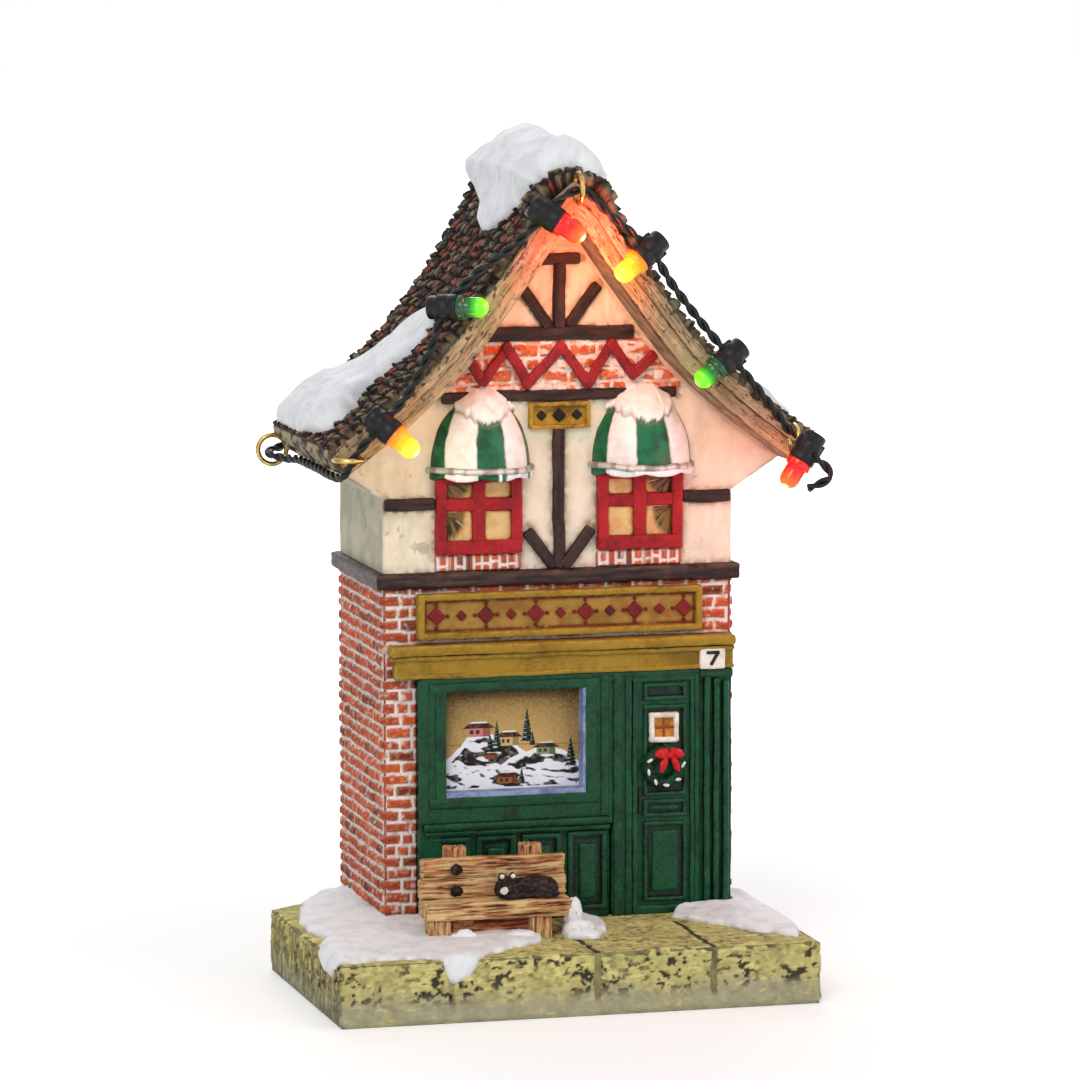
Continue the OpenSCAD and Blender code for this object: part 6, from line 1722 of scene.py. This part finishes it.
def riser_panels():
    """four framed panels under the shop window"""
    p = Parts()
    green_bar(p, (-16.5, -1.1, FLOOR_Z), (11.9, -0.2, 23.9), 322)
    for i in range(4):
        x0 = -15.9 + 7.05 * i
        x1 = x0 + 6.05
        green_frame(p, x0, x1, 10.3, 22.3, 0.8, -1.75, -0.6, 330 + i * 6, size=(0.35, 0.22, 0.35))
        dark_panel(p, x0 + 0.7, x1 - 0.7, 11.0, 21.6, -1.14, 334 + i * 6)
        green_bar(p, (x0 + 1.75, -1.68, 12.1), (x1 - 1.75, -0.6, 20.5), 335 + i * 6, r=0.38,
                  size=(0.3, 0.22, 0.35))
    p.obj("riser_panels", MAT["green"], replaces=["stall_riser"], slot="shop_green")


def door_panels():
    """the door: framed panels, raised boards and a handle"""
    p = Parts()
    green_bar(p, (DOOR_X0, -1.25, FLOOR_Z), (DOOR_X1, -0.2, DOOR_TOP), 360)
    x0, x1 = 17.0, 23.75
    for i, (z0, z1) in enumerate(((41.7, 44.3), (27.2, 41.0), (24.0, 26.7), (11.2, 23.3))):
        green_frame(p, x0, x1, z0, z1, 0.62, -1.8, -0.8, 362 + i * 6, size=(0.3, 0.22, 0.3))
        dark_panel(p, x0 + 0.5, x1 - 0.5, z0 + 0.5, z1 - 0.5, -1.29, 366 + i * 6)
    green_bar(p, (x0 + 1.35, -1.75, 12.6), (x1 - 1.35, -0.8, 21.9), 386, r=0.38, size=(0.3, 0.22, 0.35))
    green_bar(p, (x0 + 1.2, -1.65, 24.95), (x1 - 1.2, -0.8, 25.75), 387, r=0.3)
    green_bars(p, [((15.2, -1.95, 9.2), (16.0, -0.9, 45.2), 388),
                   ((24.25, -1.8, 9.2), (DOOR_X1, -0.9, 45.2), 389),
                   ((15.2, -1.85, 44.55), (24.9, -0.9, DOOR_TOP), 390),
                   ((15.9, -1.8, 9.15), (24.3, -0.9, 10.6), 391, 0.3)])
    bar(p, (16.1, -1.72, 24.6), (16.75, -1.0, 28.6), (5, 30, 20), (2, 14, 10), r=0.28, size=0.3, rough=0.03,
        warp=0.05, seed=392)
    p.obj("door_panels", MAT["green"], replaces=["door_leaf"], slot="shop_green")


def ribbed_column():
    """the column of three ribs at the shopfront's right end"""
    p = Parts()
    ribs = 3
    strip = (RIGHT - COLUMN_L) / (2 * ribs + 1)
    green_bar(p, (COLUMN_L, -1.3, FLOOR_Z), (RIGHT, -0.2, 46.25), 393)
    for i in range(ribs):
        left = COLUMN_L + strip * (2 * i + 1)
        green_bar(p, (left - 0.1, -2.4, FLOOR_Z + (1.2 if i else 0.3)),
                  (left + strip + 0.1, -1.0, 45.2 - 0.4 * i), 394 + i, r=0.36, size=(0.22, 0.25, 0.45),
                  warp=0.12)
    green_bars(p, [((25.7, -2.0, 44.9), (RIGHT + 0.05, -0.8, 46.2), 397),
                   ((25.7, -2.2, FLOOR_Z), (RIGHT + 0.05, -0.8, 10.6), 398, 0.3)])
    p.obj("ribbed_column", MAT["green"], replaces=["ribbed_pilaster"], slot="shop_green")


shop_joinery()
sill_board()
riser_panels()
door_panels()
ribbed_column()

# Fascia, sign, number plate
OCHRE = dict(color=(164, 130, 44), dark=(126, 96, 32), light=(202, 172, 92))
RED_LINE = dict(color=(120, 20, 24), dark=(70, 10, 16), light=(168, 58, 50))
SIGN_X0, SIGN_X1, SIGN_Z0, SIGN_Z1 = -17.8, 26.0, 52.15, 58.95
SIGN_FRAME, LOZENGES, LOZENGE_Z = 1.0, 11, 55.55


def fascia_boards():
    """the boards over the shopfront and the ledge on them"""
    p = Parts()
    boards = (((-21.5, -2.25, 46.3), (RIGHT, -0.2, 49.6), 0.35),
              ((-21.3, -2.5, 46.3), (RIGHT + 0.05, -1.2, 47.0), 0.3),
              ((-22.2, -3.4, 49.85), (RIGHT + 0.1, -0.2, 51.4), 0.5),
              ((-22.0, -2.8, 49.1), (RIGHT + 0.05, -0.9, 49.8), 0.3))
    for k, (lo, hi, r) in enumerate(boards):
        bar(p, lo, hi, r=r, size=(0.5, 0.3, 0.25), rough=0.07, warp=0.17, seed=400 + k, wear=0.6,
            blotch=6.0, **OCHRE)
    p.obj("fascia_boards", MAT["ochre"], replaces=["fascia"], slot="ochre")


def sign_tint(co, d, edge):
    """tan paint with a red line along the frame; takes what every bar's tint takes"""
    x, z = co[:, 0], co[:, 2]
    t = mix(lin((142, 106, 46)), lin((168, 130, 62)), step(0.35, 0.65, fbm(co / 2.6, 3, 412)))
    e = np.minimum(np.minimum(x - SIGN_X0 - 0.95, SIGN_X1 - 0.95 - x),
                   np.minimum(z - SIGN_Z0 - 0.95, SIGN_Z1 - 0.95 - z))
    line = 1 - step(0.1, 0.34, np.abs(e - 0.32) + 0.2 * (fbm(co / 0.6, 2, 413) - 0.5))
    t = mix(t, lin((96, 26, 18)), 0.9 * line * step(0.25, 0.45, fbm(co / 1.1, 2, 414)))
    return mix(t, lin((150, 66, 36)), 0.35 * step(0.55, 0.75, fbm(co / (2.0, 1, 0.8), 3, 415)))


def sign_panel():
    """a tan board in an ochre frame"""
    p = Parts()
    bar(p, (SIGN_X0 + 0.3, -1.55, SIGN_Z0 + 0.3), (SIGN_X1 - 0.3, -0.2, SIGN_Z1 - 0.3), None, None, r=0.15,
        size=(0.28, 0.4, 0.22), rough=0.05, warp=0.06, seed=404, tint=sign_tint)
    for k, (a, b, c, d) in enumerate(four_sides(SIGN_X0, SIGN_X1, SIGN_Z0, SIGN_Z1, SIGN_FRAME)):
        bar(p, (a, -2.4, c), (b, -0.2, d), r=0.4, size=(0.45, 0.3, 0.3), rough=0.06, warp=0.12, seed=405 + k,
            wear=0.55, blotch=5.0, **OCHRE)
    p.obj("sign_panel", MAT["ochre"], replaces=["sign_board"], slot="sign_tan")


def sign_lozenges():
    """a row of plain lozenges, large ones with four dots and small ones by turns"""
    p = Parts()
    pitch = (SIGN_X1 - SIGN_X0 - 1.8) / LOZENGES
    for i in range(LOZENGES):
        cx, cz = SIGN_X0 + 0.9 + pitch * (i + 0.5), LOZENGE_Z
        big = i % 2 == 0
        q = 1.0 if big else 0.62
        bar(p, (-q, -0.5, -q), (q, 0.2, q), r=0.22, size=0.2, rough=0.05, warp=0.08, seed=420 + i,
            matrix=turned(cx, -1.5, cz, math.pi / 4), **RED_LINE)
        for k in range(4 if big else 0):
            dx, dz = 1.72 * math.cos(k * math.pi / 2), 1.72 * math.sin(k * math.pi / 2)
            bar(p, (cx + dx - 0.28, -1.95, cz + dz - 0.28), (cx + dx + 0.28, -1.4, cz + dz + 0.28), r=0.22,
                size=0.2, rough=0.02, warp=0.03, seed=440 + i * 4 + k, **RED_LINE)
    p.obj("sign_lozenges", MAT["red"], replaces=["sign_ornaments"], slot="dark_red")


def house_number():
    """a plain 7 on a white plate"""
    p = Parts()
    bar(p, (25.45, -2.85, 46.3), (29.4, -2.0, 49.45), (240, 236, 226), (200, 190, 172), r=0.28, size=0.22,
        rough=0.04, warp=0.08, seed=450, wear=0.1)
    for k, (a, b, w) in enumerate((((26.55, 48.75), (28.35, 48.8), 0.46),
                                   ((28.3, 48.8), (27.15, 46.95), 0.5))):
        m, length = bar_frame(a, b, -2.72)
        bar(p, (-0.1, -0.3, -w / 2), (length + 0.1, 0.15, w / 2), (26, 24, 24), (14, 13, 13), r=0.13,
            size=0.25, rough=0.02, warp=0.04, seed=451 + k, matrix=m)
    p.obj("house_number", MAT["white"], replaces=["number_plate"], slot="plate_white")


fascia_boards()
sign_panel()
sign_lozenges()
house_number()

# Shop window: liner and printed card
CARD_X0, CARD_Z0, CARD_W, CARD_H = -13.58, 28.92, 21.16, 15.16
# lowest and highest corners of the liner's boards: foot, top, left and right
LINER = [((WIN_X0, -1.75, 28.2), (WIN_X1, 2.05, 28.95)), ((WIN_X0, -1.3, 44.05), (WIN_X1, 2.05, WIN_Z1)),
         ((WIN_X0, -1.3, 28.4), (-13.55, 2.05, 44.6)), ((7.55, -1.75, 28.4), (WIN_X1, 2.05, 44.6))]


def window_reveal():
    """the blue-grey liner behind the shop window"""
    p = Parts()
    blue = dict(color=(150, 166, 204), dark=(96, 110, 150), light=(206, 214, 230))
    for k, (lo, hi) in enumerate(LINER):
        bar(p, lo, hi, r=0.14, size=(0.5, 0.3, 0.4), rough=0.04, warp=0.05, seed=460 + k, **blue)
    p.obj("window_reveal", MAT["white"], replaces=["window_liner"], slot="liner")


# the card's points: their places, and their shares across and up
CARD_X, CARD_Z = np.meshgrid(np.linspace(CARD_X0, 7.58, 254), np.linspace(CARD_Z0, 44.08, 182), indexing="ij")
ACROSS, UP = (CARD_X - CARD_X0) / CARD_W, (CARD_Z - CARD_Z0) / CARD_H


def blot(size, octaves, seed):
    """cloudy noise over the card"""
    return noise3(CARD_X, CARD_X * 0, CARD_Z, size, octaves, seed)


def hill(base, peak, at, spread, rough, seed):
    """height of a hill's line across the card"""
    bumps = noise3(ACROSS * 16, ACROSS * 0, ACROSS * 0 + seed, 1.0, 4, 471) - 0.5
    return base + peak * np.exp(-(np.abs(ACROSS - at) / spread) ** 2.6) + rough * bumps


def spruce(t, cx, base, tall, wide):
    """the picture t with a spruce, snowy on the left of its branches"""
    y = (UP - base) / tall
    teeth = 0.7 + 0.3 * np.abs(((y * 8 + 3 * (ACROSS - cx)) % 1) * 2 - 1)
    w = wide * (1.02 - y) * teeth
    on = (y > 0) & (y < 1) & (np.abs(ACROSS - cx) < w)
    t = mix(t, mix(lin((16, 24, 22)), lin((52, 66, 56)), step(0.5, 0.62, blot(0.3, 2, 480))),
            on.astype(float))
    snow = on & (((y * 8) % 1) < 0.2) & (ACROSS < cx)
    return mix(t, lin((214, 220, 226)), snow * 0.55)


def cottage(t, cx, base, w, h, wall):
    """the picture t with a cottage: half width w, wall height h, shaded on its right"""
    on = (np.abs(ACROSS - cx) < w) & (UP > base) & (UP < base + h)
    side = on & (ACROSS > cx + 0.35 * w)
    t = mix(t, lin(wall), on.astype(float))
    t = mix(t, lin(wall) * 0.5, side.astype(float))
    ry = (UP - base - h) / (h * 0.75)
    roof_on = (ry > -0.08) & (ry < 1) & (np.abs(ACROSS - cx) < w * 1.3 * (1.05 - 0.6 * ry))
    t = mix(t, mix(lin((58, 34, 28)), lin((96, 62, 48)), step(0.45, 0.6, blot(0.4, 2, 485))),
            roof_on.astype(float))
    t = mix(t, lin((228, 230, 234)), (roof_on & (ry > 0.72)).astype(float))
    for dx in (-0.62, -0.1):
        win = (np.abs(ACROSS - cx - dx * w) < w * 0.15) & (np.abs(UP - base - h * 0.52) < h * 0.22)
        t = mix(t, lin((74, 48, 30)), win.astype(float))
    return t


# hills from far to near: base, peak, place, spread, roughness and seed, then how deep their snow lies
HILLS = [((0.2, 0.36, 0.34, 0.3, 0.09, 3), 0.05), ((0.16, 0.24, 0.72, 0.3, 0.08, 8), 0.05),
         ((0.12, 0.12, 0.3, 0.4, 0.07, 12), 0.045)]
COTTAGES = [(0.27, 0.53, 0.085, 0.085, (206, 128, 122)), (0.49, 0.43, 0.07, 0.085, (206, 178, 128)),
            (0.76, 0.33, 0.07, 0.07, (126, 150, 112)), (0.36, 0.3, 0.045, 0.04, (150, 88, 50)),
            (0.48, 0.05, 0.075, 0.07, (156, 96, 54))]
SPRUCES = [(0.62, 0.46, 0.34, 0.05), (0.4, 0.42, 0.26, 0.038), (0.94, 0.2, 0.3, 0.05),
           (0.35, 0.4, 0.16, 0.03), (0.66, 0.42, 0.14, 0.028), (0.58, 0.04, 0.16, 0.035)]


def card_sky():
    """a warm sky, brighter in its middle, over a dark horizon"""
    far = np.maximum(UP - 0.3, 0)
    bright = np.clip(1.05 - 1.9 * ((ACROSS - 0.5) ** 2 + far ** 2), 0.1, 1)
    t = mix(lin((96, 70, 36)), lin((196, 160, 98)), bright)
    t = mix(t, lin((222, 190, 132)), 0.22 * step(0.4, 0.6, blot(0.17, 2, 470)))
    return mix(t, lin((92, 66, 34)), 0.7 * (1 - step(0.0, 0.008, np.abs(UP - 0.455 + 0.03 * ACROSS))))


def card_hills(t):
    """the picture t with rocky hills, snow on their tops and in drifts"""
    rock = mix(lin((28, 27, 30)), lin((96, 90, 84)), step(0.48, 0.66, blot(0.45, 3, 472)))
    for k, (shape, cover) in enumerate(HILLS):
        depth = hill(*shape) - UP
        cap = 1 - step(cover, cover + 0.02, depth + 0.06 * (blot(0.8, 3, 30 + k) - 0.5))
        drift = step(0.5, 0.55, noise3(CARD_X + 0.7 * CARD_Z, CARD_X * 0, CARD_Z, (2.0, 1, 0.7), 3, 36 + k))
        snowy = mix(rock, lin((238, 240, 245)), np.maximum(cap, drift * 0.97))
        t = mix(t, snowy, step(0.0, 0.01, depth))
    return t


def card_picture():
    """a snowy hill with cottages and spruces, shaded by the frame at its top and left"""
    t = card_hills(card_sky())
    for row in COTTAGES:
        t = cottage(t, *row)
    for row in SPRUCES:
        t = spruce(t, *row)
    edge = np.minimum(np.minimum(ACROSS, 1 - ACROSS) * CARD_W, np.minimum(UP, 1 - UP) * CARD_H)
    t = mix(t, lin((236, 236, 236)), ((edge < 0.3) & ((UP < 0.04) | (ACROSS < 0.02))).astype(float))
    shade = (1 - step(0.0, 2.2, (1 - UP) * CARD_H)) * 0.7 + (1 - step(0.0, 1.5, ACROSS * CARD_W)) * 0.5
    return mix(t, lin((26, 20, 14)), np.clip(shade, 0, 0.85))


def window_picture():
    """the printed card at the back of the liner"""
    p = Parts()
    out = np.stack([CARD_X, 0.82 - 0.05 * blot(2, 2, 490), CARD_Z], -1)
    b0, b1 = [points(CARD_X[:, k], 1.38, CARD_Z[:, k]) for k in (0, -1)]
    skin(p, out, b0, b1, card_picture())
    p.obj("window_picture", MAT["card"], replaces=["window_card"], slot="card")


window_reveal()
window_picture()


# Door window, wreath, bow
def door_light():
    """the door's small window: amber panes, a rust cross and an ivory frame"""
    p = Parts()
    ivory = dict(color=(244, 240, 230), dark=(206, 194, 170), light=(252, 250, 246))
    rust = dict(color=(134, 66, 26), dark=(88, 40, 18))
    x0, x1, z0, z1 = 17.75, 22.35, 35.35, 39.85
    bar(p, (x0 + 0.6, -1.85, z0 + 0.6), (x1 - 0.6, -1.2, z1 - 0.6), (206, 130, 46), (150, 78, 26), r=0.1,
        size=0.2, rough=0.05, warp=0.02, seed=500, light=(238, 176, 84), blotch=0.9)
    for k, (a, b, c, d) in enumerate(four_sides(x0, x1, z0, z1, 0.85)):
        bar(p, (a, -2.35, c), (b, -1.3, d), r=0.4, size=0.2, rough=0.1, warp=0.14, seed=501 + k, **ivory)
    cx, cz = (x0 + x1) / 2, (z0 + z1) / 2
    cross = ((cx - 0.2, cx + 0.2, z0 + 0.7, z1 - 0.7), (x0 + 0.7, x1 - 0.7, cz - 0.2, cz + 0.2))
    for k, (a, b, c, d) in enumerate(cross):
        bar(p, (a, -2.0, c), (b, -1.3, d), r=0.14, size=0.2, rough=0.03, warp=0.04, seed=506 + k, **rust)
    p.obj("door_light", MAT["pane"], replaces=["door_window"], slot="pane_cream")


WREATH = np.array([20.1, -2.0, 31.7])
WREATH_R, WREATH_THICK, NEEDLES = 2.55, 0.85, 240
# where round the ring its dabs of snow are, in radians
WREATH_SNOW = (0.1, 0.95, 2.75, 3.4, 4.1, 4.75, 5.5)
# loops, tails and knot of the bow: place from its middle, half sizes and tilt
BOW = [(-1.15, 0.35, 1.2, 0.75, 0.35), (1.15, 0.35, 1.2, 0.75, -0.35), (-0.85, -1.3, 0.55, 1.3, -0.35),
       (0.95, -1.25, 0.55, 1.35, 0.4), (0, 0.05, 0.5, 0.5, 0)]
KNOT = 4


def wreath_needle(p, gen):
    """one leaf of six points, rooted on the ring and leaning round it"""
    th, ph = gen.uniform(0, 2 * np.pi), gen.uniform(-0.5, np.pi + 0.5)
    spoke = np.array([math.cos(th), 0, math.sin(th)])
    away = math.cos(ph) * spoke + math.sin(ph) * np.array([0, -1, 0])
    tangent = np.array([-math.sin(th), 0, math.cos(th)]) * gen.choice([-1, 1])
    way = unit(away * 0.8 + tangent * gen.uniform(0.3, 1.2) + gen.normal(0, 0.25, 3))
    root = WREATH + WREATH_R * spoke + away * WREATH_THICK * 0.72
    w = unit(np.cross(way, away + 0.01)) * gen.uniform(0.12, 0.19)
    half = root + way * gen.uniform(0.22, 0.4)
    tip = root + (half - root) * 2
    pts = [root - w * 0.6, root + w * 0.6, half + w, tip, half - w, half + unit(np.cross(w, way)) * 0.12]
    faces = [[0, 5, 1], [1, 5, 2], [2, 5, 3], [3, 5, 4], [4, 5, 0], [0, 1, 2], [0, 2, 4], [2, 3, 4]]
    p.add(pts, [np.array(faces)], mix(lin((5, 30, 18)), lin((36, 92, 58)), gen.uniform(0, 1) ** 1.6))


def wreath_greens():
    """a lumpy ring with needles and dabs of snow"""
    p = Parts()
    a = np.linspace(0, 2 * np.pi, 73)[:-1]
    mid = WREATH + WREATH_R * np.stack([np.cos(a), 0 * a, np.sin(a)], 1)
    q = np.linspace(0, 2 * np.pi, 15)[:-1]
    rad = unit(mid - WREATH)
    ring = np.cos(q)[None, :, None] * rad[:, None] + np.sin(q)[None, :, None] * np.array([0, -1, 0])
    lump = 0.4 * (fbm((mid[:, None] + ring) / 0.55, 3, 510) - 0.4)
    co = mid[:, None] + ring * (WREATH_THICK + lump)[..., None]
    p.add(co, [grid(72, 14, True, True)], mix(lin((3, 26, 15)), lin((22, 72, 44)), step(-0.05, 0.14, lump)))
    gen = np.random.default_rng(11)
    for _ in range(NEEDLES):
        wreath_needle(p, gen)
    white = dict(color=(240, 240, 242), dark=(206, 208, 212), light=(252, 252, 252))
    for i, th in enumerate(WREATH_SNOW):
        at = WREATH + (2.75 * math.cos(th), -0.92, 2.75 * math.sin(th))
        blob(p, at, (0.52, 0.24, 0.24), 520 + i, white, tilt=th + 0.9 + 0.5 * (i % 2), rough=0.2, detail=10)
    p.obj("wreath_greens", MAT["leaf"], replaces=["wreath"], slot="wreath_green")


def wreath_ribbon():
    """the red bow on the wreath"""
    p = Parts()
    ribbon = dict(color=(206, 26, 30), dark=(126, 10, 16), light=(240, 104, 92))
    for k, (dx, dz, hx, hz, tilt) in enumerate(BOW):
        at = (20.6 + dx, -3.05 - (0.2 if k == KNOT else 0), 33.5 + dz)
        blob(p, at, (hx, 0.42, hz), 530 + k, ribbon, tilt, 0.16, 18)
    p.obj("wreath_ribbon", MAT["red"], replaces=["wreath_bow"], slot="red")


door_light()
wreath_greens()
wreath_ribbon()

# Bench
YELLOW, TAN, CRACK = lin((226, 196, 140)), lin((180, 122, 78)), lin((58, 32, 22))
SEAT_FOOT = 12.65


def plank(parts, lo, hi, seed, ruddy=0.0, along=0, warp=0.14, r=0.32):
    """one weathered board: fine cracks along the grain, yellow where the brush caught"""
    size = np.full(3, 0.16)
    size[along] = 0.4
    scale = np.full(3, 0.2)
    scale[along] = 3.2

    def tint(co, d, edge):
        fine = fbm(co / scale, 3, seed + 1) - 0.5
        patch = fbm(co / 1.7, 3, seed + 2)
        c = mix(TAN, lin((196, 138, 92)), step(0.4, 0.6, patch))
        c = mix(c, lin((160, 84, 56)), ruddy)
        c = mix(c, YELLOW, (0.95 - 0.6 * ruddy) * step(-0.04, 0.1, fine + 0.12 * edge))
        return mix(c, CRACK, 0.9 * step(0.09, 0.17, -fine - 0.06 * edge))

    co, quads, nrm, edge = lattice(lo, hi, r, size)
    fine = fbm(co / scale, 3, seed + 1) - 0.5
    bow = np.stack([fbm(co / 4.0, 2, seed + 20 + k) - 0.5 for k in range(3)], 1)
    parts.add(co + nrm * (0.5 * fine)[:, None] + bow * 2 * warp, [quads], tint(co, fine, edge))


def bench_backrest():
    """two boards, with a dark knob on each"""
    p = Parts()
    for i, (z0, z1) in enumerate(((15.05, 17.95), (18.05, 21.0))):
        plank(p, (-20.1 + 0.2 * i, -12.15, z0), (2.1 - 0.25 * i, -10.5, z1), 540 + i, 0.25)
    knob = dict(color=(34, 27, 24), dark=(14, 11, 10), light=(96, 80, 66))
    for k, z in enumerate((19.4, 16.2)):
        blob(p, (-14.7, -12.4, z), (0.95, 0.5, 0.85), 550 + k, knob, 0, 0.28, 22)
    p.obj("bench_backrest", MAT["wood"], replaces=["bench_back"], slot="bench_tan")


def bench_planks():
    """the three boards of the seat"""
    p = Parts()
    for i, (y0, y1) in enumerate(((-16.55, -14.6), (-14.55, -12.6), (-12.55, -10.6))):
        plank(p, (-20.35 + 0.1 * i, y0, SEAT_FOOT - 0.05 * i), (1.95, y1, 15.0), 560 + i, 0.0)
    p.obj("bench_planks", MAT["wood"], replaces=["bench_seat"], slot="bench_tan")


def bench_legs():
    """posts, legs and the rails between them"""
    p = Parts()
    for k, x in enumerate((-15.86, -4.32)):
        plank(p, (x, -10.55, FLOOR_Z), (x + 3.2, -8.3, 22.4), 570 + k, 0.7, along=2)
        plank(p, (x, -14.4, 11.4), (x + 3.2, -8.4, SEAT_FOOT), 574 + k, 0.8, along=1)
    for k, x in enumerate((-19.63, -4.32)):
        plank(p, (x, -15.97, FLOOR_Z), (x + 3.2, -12.77, SEAT_FOOT), 578 + k, 0.3, along=2)
    plank(p, (-15.86, -14.37, FLOOR_Z), (-1.12, -12.8, 12.6), 582, 1.0)
    plank(p, (-19.4, -14.37, 11.3), (-12.7, -12.8, 12.6), 583, 1.0)
    p.obj("bench_legs", MAT["wood"], replaces=["bench_frame"], slot="bench_brown")


bench_backrest()
bench_planks()
bench_legs()

# Sleeping cat, head on the left, curled on the seat: each lump's place and half sizes
CAT = np.array([-4.76, -14.1, 15.03])
CAT_LUMPS = [((1.6, 0.2, 1.5), (2.7, 1.75, 1.75)), ((3.3, 0.0, 1.35), (1.7, 1.65, 1.6)),
             ((-0.6, 0.2, 1.4), (2.4, 1.6, 1.5)), ((-2.9, -0.25, 1.75), (1.7, 1.5, 1.4)),
             ((-3.7, -0.6, 1.3), (1.0, 0.95, 0.8)), ((-3.6, -0.1, 3.1), (0.5, 0.5, 0.85)),
             ((-1.95, -0.1, 3.15), (0.5, 0.5, 0.85)), ((-1.6, -1.1, 0.5), (2.0, 0.6, 0.5)),
             ((2.6, -1.2, 0.6), (2.4, 0.6, 0.55))]


def cat_field(p):
    """over 1 inside the cat, where its lumps run together"""
    out = 0.0
    for at, half in CAT_LUMPS:
        d = (p - np.array(at)) / np.array(half)
        out = out + np.exp(-2.6 * ((d ** 2).sum(-1) - 1))
    return out


def star_surface(field, centre, far, n):
    """the outermost place along each ray from the centre where the field is still over 1"""
    th = np.linspace(0.03, np.pi - 0.03, n)
    ph = np.linspace(0, 2 * np.pi, int(n * 1.5) + 1)[:-1]
    T, F = np.meshgrid(th, ph, indexing="ij")
    ray = np.stack([np.cos(T), np.sin(T) * np.cos(F), np.sin(T) * np.sin(F)], -1)
    reach = np.full(T.shape, 0.2)
    for s in np.linspace(0.2, far, 150):
        reach = np.where(field(centre + ray * s) > 1.0, s, reach)
    return centre + ray * reach[..., None], ray


def cat_asleep():
    """a furry lump with two ears and a pale muzzle"""
    cat = Parts()
    p, ray = star_surface(cat_field, np.array([-0.4, 0.0, 1.2]), 6.2, 90)
    fur = fbm(p / (0.55, 0.3, 0.3), 3, 600)
    p = p + ray * (0.34 * (fur - 0.5))[..., None]
    p[..., 2] = np.maximum(p[..., 2], 0.0)
    p[..., 1] = np.clip(p[..., 1], -2.3, 2.0)
    c = mix(lin((18, 12, 12)), lin((74, 50, 42)), step(0.44, 0.68, fur))
    cat.add(p + CAT, capped(*p.shape[:2]), c)
    white = dict(color=(238, 234, 228), dark=(200, 194, 186), light=(252, 252, 252))
    furry = dict(color=(36, 26, 24), dark=(18, 12, 12), light=(84, 62, 54))
    for k, (dx, tilt) in enumerate(((-3.65, 0.3), (-1.95, -0.25))):
        blob(cat, CAT + (dx, -0.3, 3.2), (0.5, 0.34, 0.75), 614 + k, furry, tilt, 0.15, 12)
        blob(cat, CAT + (dx - 0.02, -0.62, 3.45), (0.38, 0.22, 0.36), 610 + k, white, tilt, 0.15, 10)
    blob(cat, CAT + (-3.6, -1.65, 1.5), (0.66, 0.3, 0.6), 612, white, 0.3, 0.2, 12)
    cat.obj("cat_asleep", MAT["fur"], replaces=["sleeping_cat"], slot="dark_fur")


cat_asleep()

# CAD pieces that are shown as they are
for node, material in (("screw_eyes", "brass_wire"), ("cord_grommet", "holder"), ("inner_lead", "holder"),
                       ("battery_box", "box_plastic"), ("battery_lid", "box_plastic"),
                       ("button_cells", "steel_cells"), ("cell_contacts", "leaf_steel"),
                       ("box_screws", "steel_cells"), ("switch_body", "box_plastic"),
                       ("switch_knob", "holder")):
    dress(node, material)
